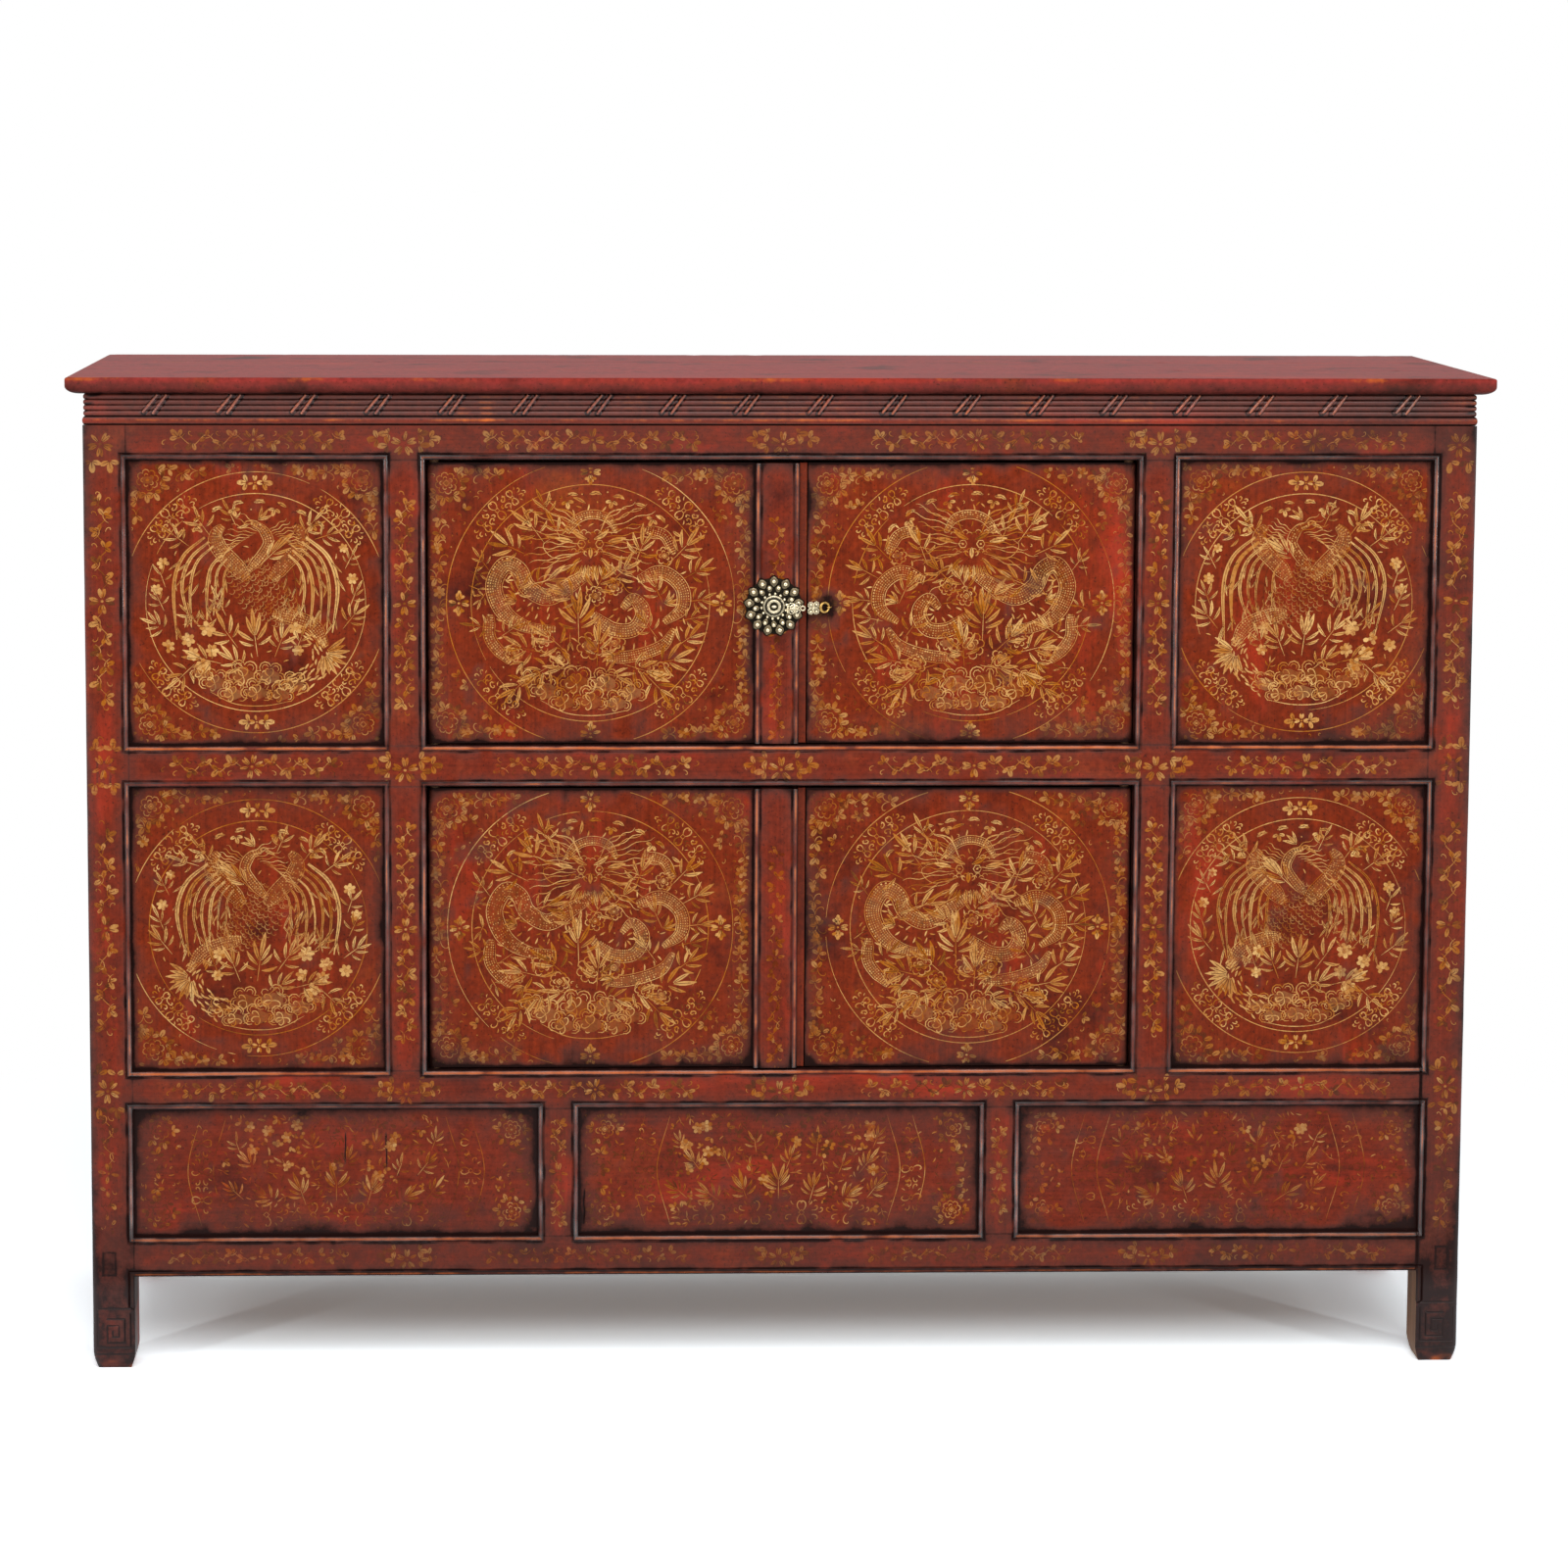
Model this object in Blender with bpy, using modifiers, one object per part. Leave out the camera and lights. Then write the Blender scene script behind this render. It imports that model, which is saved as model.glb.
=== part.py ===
"""A joined altar cabinet: framed panels, two pairs of pintle-hung doors, a lock rosette and hasp.

Metres, +Z up. The front faces -Y and the origin is on the floor under the middle of the top.
"""

import math

import bmesh
import bpy
from mathutils import Matrix, Vector

# Carcase
BODY_WIDTH = 1.410
BODY_DEPTH = 0.386
POST_WIDTH = 0.043
POST_DEPTH = 0.045
RAIL_THICKNESS = 0.032
STILE_THICKNESS = 0.028
STILE_WIDTH = 0.043
BASE_STILE_WIDTH = 0.042
FOOT_TAPER = 0.0045
FOOT_TAPER_HEIGHT = 0.018

# Heights of the front's members, from the floor up
LEG_HEIGHT = 0.096
BOTTOM_RAIL_HEIGHT = 0.0415
BASE_PANEL_HEIGHT = 0.1335
LOWER_RAIL_HEIGHT = 0.040
LOWER_ROW_HEIGHT = 0.294
MIDDLE_RAIL_HEIGHT = 0.042
UPPER_ROW_HEIGHT = 0.291
TOP_RAIL_HEIGHT = 0.035
FRIEZE_HEIGHT = 0.0314
TOP_THICKNESS = 0.017

# Widths of the front's openings
SIDE_PANEL_WIDTH = 0.258
BASE_SIDE_PANEL_WIDTH = 0.414

# Panels and the boards inside
PANEL_RECESS = 0.009
PANEL_THICKNESS = 0.014
GROOVE_DEPTH = 0.006
BOARD_THICKNESS = 0.015
BOARD_GROOVE_DEPTH = 0.008
BOARD_TOP_DROP = 0.006

# Joints between the frame's members
FIT_GAP = 0.0003
TENON_LENGTH = 0.016
TENON_THICKNESS = 0.012
TENON_SHOULDER = 0.008
STILE_TENON_LENGTH = 0.012
THROUGH_TENON_THICKNESS = 0.013
THROUGH_TENON_INSET = 0.011
THROUGH_TENON_HEIGHT = 0.024
THROUGH_TENON_RISE = 0.002
BLIND_TENON_LENGTH = 0.026

# Bead worked round each front opening
BEAD_RADIUS = 0.003
BEAD_SINK = 0.0003
QUIRK_DEPTH = 0.002
QUIRK_WIDTH = 0.0016
BEAD_STEPS = 6

# Frieze and top
FRIEZE_THICKNESS = 0.018
STRIP_RADIUS = 0.0045
STRIP_BULGE = 0.003
REED_COUNT = 4
REED_BULGE = 0.002
REED_STEPS = 4
TOP_OVERHANG = 0.0155
OVOLO_HEIGHT = 0.0085
TOP_ARRIS = 0.0015
TOP_PLANKS = ("front", "middle", "rear")

# Doors
DOOR_SIDE_GAP = 0.001
DOOR_TOP_GAP = 0.003
DOOR_BOTTOM_GAP = 0.0015
PINTLE_RADIUS = 0.005
PINTLE_ENGAGEMENT = 0.008
ROUND_STEPS = 16
MEETING_STILE_WIDTH = 0.045
MEETING_STILE_CENTRE = -0.0049
MEETING_LIP = 0.0075
DOOR_TONGUE = 0.008

# Lock rosette and hasp, on the upper doors
LOCK_X = -0.0085
LOCK_Z = 0.790
ROSETTE_RADIUS = 0.0315
ROSETTE_PETALS = 13
ROSETTE_SCALLOP = 0.004
ROSETTE_THICKNESS = 0.002
PETAL_STEPS = 6
BOSS_RADIUS = 0.012
BOSS_HEIGHT = 0.005
HASP_DROP = 0.002
KNUCKLE_RADIUS = 0.0016
KNUCKLE_LENGTH = 0.009
LINK_THICKNESS = 0.0022
STRAP_LINK_RADIUS = 0.0068
HASP_LINK_RADIUS = 0.0078
LINK_LOBES = 4
LINK_LOBE_DEPTH = 0.22
LINK_STEPS = 40
LINK_OVERLAP = 0.0005
LINK_GAP = 0.0006
SMALL_RING_RADIUS = 0.0022
SMALL_RING_WIRE = 0.0009
END_RING_RADIUS = 0.0048
END_RING_WIRE = 0.0011
STAPLE_WIRE = 0.0008
STAPLE_CLEARANCE = 0.0005
STAPLE_DEPTH = 0.006
STAPLE_STANDOFF = 0.0026

# Finishes: colour, roughness, metallic
FINISHES = {
    "red_lacquer": ((0.25, 0.035, 0.016, 1.0), 0.42, 0.0),
    "painted_panel": ((0.30, 0.050, 0.015, 1.0), 0.38, 0.0),
    "bare_wood": ((0.23, 0.12, 0.06, 1.0), 0.75, 0.0),
    "old_brass": ((0.62, 0.50, 0.30, 1.0), 0.35, 1.0),
}

# Places worked out from the sizes above
FRONT = -BODY_DEPTH / 2
HALF_WIDTH = BODY_WIDTH / 2
INNER_X = HALF_WIDTH - POST_WIDTH
INNER_Y = BODY_DEPTH / 2 - POST_DEPTH
BOTTOM_RAIL_TOP = LEG_HEIGHT + BOTTOM_RAIL_HEIGHT
LOWER_RAIL_Z = BOTTOM_RAIL_TOP + BASE_PANEL_HEIGHT
LOWER_ROW_Z = LOWER_RAIL_Z + LOWER_RAIL_HEIGHT
MIDDLE_RAIL_Z = LOWER_ROW_Z + LOWER_ROW_HEIGHT
UPPER_ROW_Z = MIDDLE_RAIL_Z + MIDDLE_RAIL_HEIGHT
TOP_RAIL_Z = UPPER_ROW_Z + UPPER_ROW_HEIGHT
TOP_RAIL_TOP = TOP_RAIL_Z + TOP_RAIL_HEIGHT
FRIEZE_TOP = TOP_RAIL_TOP + FIT_GAP + FRIEZE_HEIGHT
TOP_Z = FRIEZE_TOP + FIT_GAP
HEIGHT = TOP_Z + TOP_THICKNESS
SIDE_STILE_OUTER = INNER_X - SIDE_PANEL_WIDTH
DOORWAY_X = SIDE_STILE_OUTER - STILE_WIDTH
BASE_STILE_OUTER = INNER_X - BASE_SIDE_PANEL_WIDTH
BASE_STILE_INNER = BASE_STILE_OUTER - BASE_STILE_WIDTH
PANEL_MID = PANEL_RECESS + PANEL_THICKNESS / 2
PIVOT_X = DOORWAY_X - DOOR_SIDE_GAP - PANEL_THICKNESS / 2
PIVOT_Y = FRONT + PANEL_MID
MEETING_LEFT = MEETING_STILE_CENTRE - MEETING_STILE_WIDTH / 2
MEETING_RIGHT = MEETING_STILE_CENTRE + MEETING_STILE_WIDTH / 2
SEAM_X = MEETING_RIGHT + MEETING_LIP
RAIL_ROWS = {
    "bottom": (LEG_HEIGHT, BOTTOM_RAIL_TOP),
    "lower": (LOWER_RAIL_Z, LOWER_ROW_Z),
    "middle": (MIDDLE_RAIL_Z, UPPER_ROW_Z),
    "top": (TOP_RAIL_Z, TOP_RAIL_TOP),
}
PANEL_ROWS = {
    "base": (BOTTOM_RAIL_TOP, LOWER_RAIL_Z),
    "lower": (LOWER_ROW_Z, MIDDLE_RAIL_Z),
    "upper": (UPPER_ROW_Z, TOP_RAIL_Z),
}
SIDES = {"left": -1, "right": 1}
LIE_FLAT_TO_FRONT = (math.pi / 2, 0.0, 0.0)

# What has been made so far: frame members that can be cut, and the housings cut into them
MEMBERS = {}
HOUSINGS = []


def empty_scene():
    for old in list(bpy.data.objects):
        bpy.data.objects.remove(old, do_unlink=True)


def new_collection(name):
    made = bpy.data.collections.new(name)
    bpy.context.scene.collection.children.link(made)
    return made


empty_scene()
PARTS = new_collection("altar_cabinet")
CUTTERS = new_collection("altar_cabinet_cutters")


def finish_object(thing, finish):
    """Give a part its own Principled material."""
    colour, roughness, metallic = FINISHES[finish]
    material = bpy.data.materials.new(f"{thing.name}_{finish}")
    material.use_nodes = True
    shader = material.node_tree.nodes["Principled BSDF"]
    shader.inputs["Base Color"].default_value = colour
    shader.inputs["Roughness"].default_value = roughness
    shader.inputs["Metallic"].default_value = metallic
    material.diffuse_color = colour
    thing.data.materials.clear()
    thing.data.materials.append(material)


def add_object(name, mesh, home, location=(0, 0, 0), rotation=(0, 0, 0)):
    thing = bpy.data.objects.new(name, mesh)
    thing.location = location
    thing.rotation_euler = rotation
    home.objects.link(thing)
    if home is CUTTERS:
        thing.hide_render = True
        thing.display_type = "WIRE"
    return thing


def mesh_from(bm, name):
    bmesh.ops.recalc_face_normals(bm, faces=bm.faces)
    mesh = bpy.data.meshes.new(name)
    bm.to_mesh(mesh)
    bm.free()
    return mesh


def block(name, low, high, home):
    """A box between two corners, with its origin at its middle."""
    low = Vector(low)
    high = Vector(high)
    bm = bmesh.new()
    bmesh.ops.create_cube(bm, size=1.0, matrix=Matrix.Diagonal((*(high - low), 1.0)))
    return add_object(name, mesh_from(bm, name), home, (low + high) / 2)


def drum(name, radius, length, centre, home, rotation=(0, 0, 0)):
    """A cylinder along its own Z."""
    bm = bmesh.new()
    bmesh.ops.create_cone(
        bm, cap_ends=True, segments=ROUND_STEPS, radius1=radius, radius2=radius, depth=length
    )
    return add_object(name, mesh_from(bm, name), home, centre, rotation)


def outline_plate(name, points, thickness, home, location, rotation=(0, 0, 0)):
    """A flat outline in its own XY plane, given a thickness along its own Z."""
    curve = bpy.data.curves.new(name, "CURVE")
    curve.dimensions = "2D"
    curve.fill_mode = "BOTH"
    curve.extrude = thickness / 2
    spline = curve.splines.new("POLY")
    spline.points.add(len(points) - 1)
    for point, (x, y) in zip(spline.points, points):
        point.co = (x, y, 0, 1)
    spline.use_cyclic_u = True
    return curve_to_object(name, curve, home, location, rotation)


def curve_to_object(name, curve, home, location, rotation=(0, 0, 0)):
    """Turn a curve into a welded mesh object."""
    sketch = bpy.data.objects.new(f"{name}_sketch", curve)
    CUTTERS.objects.link(sketch)
    graph = bpy.context.evaluated_depsgraph_get()
    mesh = bpy.data.meshes.new_from_object(sketch.evaluated_get(graph))
    bpy.data.objects.remove(sketch)
    mesh.name = name
    bm = bmesh.new()
    bm.from_mesh(mesh)
    bmesh.ops.remove_doubles(bm, verts=bm.verts, dist=0.00001)
    bmesh.ops.recalc_face_normals(bm, faces=bm.faces)
    bm.to_mesh(mesh)
    bm.free()
    return add_object(name, mesh, home, location, rotation)


def loft(name, sections, home, joined_ends):
    """Skin a list of matching closed sections; the ends join up or get caps."""
    bm = bmesh.new()
    rings = [[bm.verts.new(point) for point in section] for section in sections]
    pairs = list(zip(rings, rings[1:]))
    if joined_ends:
        pairs.append((rings[-1], rings[0]))
    else:
        bm.faces.new(rings[0])
        bm.faces.new(rings[-1])
    for ring, following in pairs:
        for i in range(len(ring)):
            j = (i + 1) % len(ring)
            bm.faces.new((ring[i], ring[j], following[j], following[i]))
    return add_object(name, mesh_from(bm, name), home)


def boolean(thing, tool, operation):
    modifier = thing.modifiers.new(tool.name, "BOOLEAN")
    modifier.operation = operation
    modifier.object = tool
    modifier.solver = "EXACT"


def smooth(thing):
    thing.data.shade_smooth()
    thing.data.set_sharp_from_angle(angle=math.radians(35))


def span(first, second):
    return min(first, second), max(first, second)


def corners(x_span, y_span, z_span):
    """Low and high corner of a box given by its three spans."""
    return tuple(zip(x_span, y_span, z_span))


def grown(low, high, amount):
    return tuple(v - amount for v in low), tuple(v + amount for v in high)


def boxes_meet(low, high, other_low, other_high):
    shallow = 0.00001
    return all(
        min(high[i], other_high[i]) - max(low[i], other_low[i]) > shallow for i in range(3)
    )


def house(owner, low, high):
    """Ask for room for a piece, a fit gap larger all round, in the members that it meets."""
    low, high = grown(low, high, FIT_GAP)
    cutter = block(f"{owner}_housing", low, high, CUTTERS)
    HOUSINGS.append((cutter, low, high, owner))


def member(name, low, high, finish):
    thing = block(name, low, high, PARTS)
    finish_object(thing, finish)
    MEMBERS[name] = (thing, low, high)
    return thing


def bar(name, low, high, tenon_low, tenon_high, finish):
    """A rail or stile: a box with a core through it that stands out as its tenons."""
    thing = member(name, low, high, finish)
    core = block(f"{name}_tenons", tenon_low, tenon_high, CUTTERS)
    boolean(thing, core, "UNION")
    house(name, tenon_low, tenon_high)


def front_depth(side, near, far):
    """A span of Y between two depths behind the front face, or the back face."""
    face = FRONT * side
    return span(face + near * side, face + far * side)


def make_posts():
    """Corner posts, drawn in at the foot, full height so that the frieze is let into them."""
    for depth_name, front in (("front", 1), ("rear", -1)):
        for side_name, side in SIDES.items():
            name = f"post_{depth_name}_{side_name}"
            x0, x1 = span(side * INNER_X, side * HALF_WIDTH)
            y0, y1 = front_depth(front, 0, POST_DEPTH)
            top = TOP_Z - FIT_GAP
            sections = []
            for z, inset in (
                (0, FOOT_TAPER),
                (FOOT_TAPER_HEIGHT / 3, FOOT_TAPER / 2),
                (FOOT_TAPER_HEIGHT, 0),
                (top, 0),
            ):
                sections.append(
                    (
                        (x0 + inset, y0 + inset, z),
                        (x1 - inset, y0 + inset, z),
                        (x1 - inset, y1 - inset, z),
                        (x0 + inset, y1 - inset, z),
                    )
                )
            post = loft(name, sections, PARTS, joined_ends=False)
            finish_object(post, "red_lacquer")
            MEMBERS[name] = (post, (x0, y0, 0), (x1, y1, top))


def make_long_rails():
    """Front and back rails, with blind tenons into the posts."""
    for face_name, front, finish in (("front", 1, "red_lacquer"), ("back", -1, "bare_wood")):
        for row, (z0, z1) in RAIL_ROWS.items():
            middle = RAIL_THICKNESS / 2
            half = TENON_THICKNESS / 2
            reach = INNER_X - FIT_GAP
            low, high = corners((-reach, reach), front_depth(front, 0, RAIL_THICKNESS), (z0, z1))
            tip = INNER_X + TENON_LENGTH
            tenon = corners(
                (-tip, tip),
                front_depth(front, middle - half, middle + half),
                (z0 + TENON_SHOULDER, z1 - TENON_SHOULDER),
            )
            bar(f"rail_{face_name}_{row}", low, high, *tenon, finish)


def make_side_rails():
    """Side rails, whose lower two tenons run right through the posts."""
    for side_name, side in SIDES.items():
        for row in ("bottom", "middle", "top"):
            z0, z1 = RAIL_ROWS[row]
            reach = INNER_Y - FIT_GAP
            x_span = span(side * (HALF_WIDTH - RAIL_THICKNESS), side * HALF_WIDTH)
            low, high = corners(x_span, (-reach, reach), (z0, z1))
            outer = HALF_WIDTH - THROUGH_TENON_INSET
            tip = INNER_Y + BLIND_TENON_LENGTH if row == "top" else BODY_DEPTH / 2
            tenon_z = z0 + THROUGH_TENON_RISE
            tenon = corners(
                span(side * (outer - THROUGH_TENON_THICKNESS), side * outer),
                (-tip, tip),
                (tenon_z, tenon_z + THROUGH_TENON_HEIGHT),
            )
            bar(f"rail_{side_name}_{row}", low, high, *tenon, "red_lacquer")


def make_stile(name, x_span, z_span):
    """A front stile, stub tenoned into the rails above and below."""
    half = TENON_THICKNESS / 2
    middle = RAIL_THICKNESS / 2
    low, high = corners(
        x_span,
        front_depth(1, 0, STILE_THICKNESS),
        (z_span[0] + FIT_GAP, z_span[1] - FIT_GAP),
    )
    tenon = corners(
        (x_span[0] + TENON_SHOULDER, x_span[1] - TENON_SHOULDER),
        front_depth(1, middle - half, middle + half),
        (z_span[0] - STILE_TENON_LENGTH, z_span[1] + STILE_TENON_LENGTH),
    )
    bar(name, low, high, *tenon, "red_lacquer")


def make_stiles():
    for side_name, side in SIDES.items():
        row_span = span(side * DOORWAY_X, side * SIDE_STILE_OUTER)
        make_stile(f"stile_upper_{side_name}", row_span, PANEL_ROWS["upper"])
        make_stile(f"stile_lower_{side_name}", row_span, PANEL_ROWS["lower"])
        base_span = span(side * BASE_STILE_INNER, side * BASE_STILE_OUTER)
        make_stile(f"stile_base_{side_name}", base_span, PANEL_ROWS["base"])


def make_board(name, low, high, finish):
    """A loose board held in grooves all round."""
    board = block(name, low, high, PARTS)
    finish_object(board, finish)
    house(name, low, high)


def panel_spans(first, second, z_span):
    """An opening's width and height, widened into its grooves."""
    into = GROOVE_DEPTH - FIT_GAP
    width = span(first, second)
    return (width[0] - into, width[1] + into), (z_span[0] - into, z_span[1] + into)


def make_panels():
    """Fixed panels of the front, sides and back, all recessed alike."""
    near = PANEL_RECESS
    far = PANEL_RECESS + PANEL_THICKNESS
    front_y = front_depth(1, near, far)
    for side_name, side in SIDES.items():
        for row in ("upper", "lower"):
            x_span, z_span = panel_spans(side * SIDE_STILE_OUTER, side * INNER_X, PANEL_ROWS[row])
            make_board(f"panel_{row}_{side_name}", *corners(x_span, front_y, z_span), "painted_panel")
        x_span, z_span = panel_spans(side * BASE_STILE_OUTER, side * INNER_X, PANEL_ROWS["base"])
        make_board(f"panel_base_{side_name}", *corners(x_span, front_y, z_span), "painted_panel")
        panel_x = span(side * (HALF_WIDTH - near), side * (HALF_WIDTH - far))
        for row, z_span in (
            ("upper", (UPPER_ROW_Z, TOP_RAIL_Z)),
            ("lower", (BOTTOM_RAIL_TOP, MIDDLE_RAIL_Z)),
        ):
            y_span, z_span = panel_spans(-INNER_Y, INNER_Y, z_span)
            make_board(
                f"side_panel_{side_name}_{row}", *corners(panel_x, y_span, z_span), "red_lacquer"
            )
    x_span, z_span = panel_spans(-BASE_STILE_INNER, BASE_STILE_INNER, PANEL_ROWS["base"])
    make_board("panel_base_middle", *corners(x_span, front_y, z_span), "painted_panel")
    for row, z_span in PANEL_ROWS.items():
        x_span, z_span = panel_spans(-INNER_X, INNER_X, z_span)
        make_board(
            f"back_panel_{row}", *corners(x_span, front_depth(-1, near, far), z_span), "bare_wood"
        )


def make_inner_boards():
    """Boards across the inside, grooved into the front and back rails and notched at the posts."""
    end = HALF_WIDTH - RAIL_THICKNESS - FIT_GAP
    waist = INNER_X - FIT_GAP
    narrow = INNER_Y - FIT_GAP
    wide = BODY_DEPTH / 2 - RAIL_THICKNESS + BOARD_GROOVE_DEPTH
    for name, row in (("shelf", "middle"), ("floor", "lower"), ("bottom", "bottom")):
        top = RAIL_ROWS[row][1] - BOARD_TOP_DROP
        points = (
            (-end, -narrow),
            (-waist, -narrow),
            (-waist, -wide),
            (waist, -wide),
            (waist, -narrow),
            (end, -narrow),
            (end, narrow),
            (waist, narrow),
            (waist, wide),
            (-waist, wide),
            (-waist, narrow),
            (-end, narrow),
        )
        middle = top - BOARD_THICKNESS / 2
        board = outline_plate(f"{name}_board", points, BOARD_THICKNESS, PARTS, (0, 0, middle))
        finish_object(board, "bare_wood")
        house(f"{name}_board", (-waist, -wide, top - BOARD_THICKNESS), (waist, wide, top))


def bead_profile():
    """Section of the waste cut away to leave a bead and quirk: out from the edge, and depth."""
    clear = BEAD_RADIUS
    last = math.pi - math.asin((BEAD_RADIUS - QUIRK_DEPTH) / BEAD_RADIUS)
    profile = [(-clear, -clear), (-clear, BEAD_RADIUS + BEAD_SINK)]
    for step in range(BEAD_STEPS + 1):
        turn = last * step / BEAD_STEPS
        out = BEAD_RADIUS - BEAD_RADIUS * math.cos(turn)
        depth = BEAD_SINK + BEAD_RADIUS - BEAD_RADIUS * math.sin(turn)
        profile.append((out, depth))
    quirk = profile[-1][0] + QUIRK_WIDTH
    profile.append((quirk, 0))
    profile.append((quirk + QUIRK_WIDTH * clear / QUIRK_DEPTH, -clear))
    return profile


def bead_round_opening(name, x_span, z_span):
    """Work the bead round one opening, mitred at its corners, into every member about it."""
    sections = []
    for x, out_x, z, out_z in (
        (x_span[0], -1, z_span[0], -1),
        (x_span[1], 1, z_span[0], -1),
        (x_span[1], 1, z_span[1], 1),
        (x_span[0], -1, z_span[1], 1),
    ):
        sections.append(
            [(x + out_x * out, FRONT + depth, z + out_z * out) for out, depth in bead_profile()]
        )
    cutter = loft(f"{name}_bead_cut", sections, CUTTERS, joined_ends=True)
    reach = 2 * BEAD_RADIUS + QUIRK_WIDTH
    low = (x_span[0] - reach, FRONT, z_span[0] - reach)
    high = (x_span[1] + reach, FRONT + BEAD_RADIUS, z_span[1] + reach)
    HOUSINGS.append((cutter, low, high, name))


def work_beads():
    for row in ("upper", "lower"):
        bead_round_opening(f"{row}_doorway", (-DOORWAY_X, DOORWAY_X), PANEL_ROWS[row])
        for side_name, side in SIDES.items():
            x_span = span(side * SIDE_STILE_OUTER, side * INNER_X)
            bead_round_opening(f"{row}_{side_name}", x_span, PANEL_ROWS[row])
    middle_span = (-BASE_STILE_INNER, BASE_STILE_INNER)
    bead_round_opening("base_middle", middle_span, PANEL_ROWS["base"])
    for side_name, side in SIDES.items():
        x_span = span(side * BASE_STILE_OUTER, side * INNER_X)
        bead_round_opening(f"base_{side_name}", x_span, PANEL_ROWS["base"])


def work_apron_bead():
    """The bead along the lower edge of the bottom rail."""
    sections = []
    for x in (-HALF_WIDTH, HALF_WIDTH):
        sections.append(
            [(x, FRONT + depth, LEG_HEIGHT + out) for out, depth in bead_profile()]
        )
    cutter = loft("apron_bead_cut", sections, CUTTERS, joined_ends=False)
    boolean(MEMBERS["rail_front_bottom"][0], cutter, "DIFFERENCE")


def make_doors():
    """Doors that turn on pintles of their own, with the hinge edge rounded about the pivot."""
    half = PANEL_THICKNESS / 2
    for row in ("upper", "lower"):
        z0 = PANEL_ROWS[row][0] + DOOR_BOTTOM_GAP
        z1 = PANEL_ROWS[row][1] - DOOR_TOP_GAP
        middle = (z0 + z1) / 2
        pintle_low = PANEL_ROWS[row][0] - PINTLE_ENGAGEMENT
        pintle_high = PANEL_ROWS[row][1] + PINTLE_ENGAGEMENT
        pintle_middle = (pintle_low + pintle_high) / 2
        pintle_length = pintle_high - pintle_low
        free_edges = {
            "left": MEETING_LEFT + DOOR_TONGUE - FIT_GAP,
            "right": SEAM_X + DOOR_SIDE_GAP,
        }
        for side_name, side in SIDES.items():
            name = f"door_{row}_{side_name}"
            pivot = (side * PIVOT_X, PIVOT_Y, middle)
            free = free_edges[side_name] - side * PIVOT_X
            points = []
            for step in range(ROUND_STEPS // 2 + 1):
                turn = math.pi * step / (ROUND_STEPS // 2)
                points.append((side * half * math.sin(turn), half * math.cos(turn)))
            points += [(free, -half), (free, half)]
            door = outline_plate(name, points, z1 - z0, PARTS, (0, 0, 0))
            finish_object(door, "painted_panel")
            hang(door, f"hinge_{row}_{side_name}", pivot)
            centre = (pivot[0], pivot[1], pintle_middle)
            pintle = drum(f"{name}_pintles", PINTLE_RADIUS, pintle_length, centre, CUTTERS)
            boolean(door, pintle, "UNION")
            bore = PINTLE_RADIUS + FIT_GAP
            for end in (pintle_low, pintle_high):
                inward = PINTLE_ENGAGEMENT if end == pintle_low else -PINTLE_ENGAGEMENT
                z_span = span(end - math.copysign(FIT_GAP, inward), end + 1.5 * inward)
                place = (pivot[0], pivot[1], sum(z_span) / 2)
                socket = drum(f"{name}_socket", bore, z_span[1] - z_span[0], place, CUTTERS)
                low = (pivot[0] - bore, pivot[1] - bore, z_span[0])
                high = (pivot[0] + bore, pivot[1] + bore, z_span[1])
                HOUSINGS.append((socket, low, high, name))
        make_meeting_stile(row, z0, z1)


def hang(thing, hinge_name, pivot):
    """Put a moving piece on an empty that stands on its joint's axis."""
    hinge = bpy.data.objects.get(hinge_name)
    if hinge is None:
        hinge = bpy.data.objects.new(hinge_name, None)
        hinge.location = pivot
        PARTS.objects.link(hinge)
    thing.parent = hinge


def make_meeting_stile(row, z0, z1):
    """The beaded stile on the left door's free edge, with a lip that meets the right door."""
    last = math.pi - math.asin((BEAD_RADIUS - QUIRK_DEPTH) / BEAD_RADIUS)
    bead = []
    for step in range(BEAD_STEPS + 1):
        turn = last * step / BEAD_STEPS
        out = BEAD_RADIUS - BEAD_RADIUS * math.cos(turn)
        bead.append((out, BEAD_SINK + BEAD_RADIUS - BEAD_RADIUS * math.sin(turn)))
    bead.append((bead[-1][0] + QUIRK_WIDTH, 0))
    lip_near = PANEL_RECESS
    lip_far = PANEL_RECESS + PANEL_THICKNESS
    groove_near = PANEL_RECESS - FIT_GAP
    groove_far = lip_far + FIT_GAP
    plan = [(MEETING_LEFT + out, depth) for out, depth in bead]
    plan += [(MEETING_RIGHT - out, depth) for out, depth in reversed(bead)]
    plan += [
        (MEETING_RIGHT, lip_near),
        (SEAM_X, lip_near),
        (SEAM_X, lip_far),
        (MEETING_RIGHT, lip_far),
        (MEETING_RIGHT, STILE_THICKNESS),
        (MEETING_LEFT, STILE_THICKNESS),
        (MEETING_LEFT, groove_far),
        (MEETING_LEFT + DOOR_TONGUE, groove_far),
        (MEETING_LEFT + DOOR_TONGUE, groove_near),
        (MEETING_LEFT, groove_near),
    ]
    pivot = Vector((-PIVOT_X, PIVOT_Y, (z0 + z1) / 2))
    points = [(x - pivot.x, FRONT + depth - pivot.y) for x, depth in plan]
    name = f"meeting_stile_{row}"
    stile = outline_plate(name, points, z1 - z0, PARTS, (0, 0, 0))
    finish_object(stile, "red_lacquer")
    hang(stile, f"hinge_{row}_left", pivot)


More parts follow.
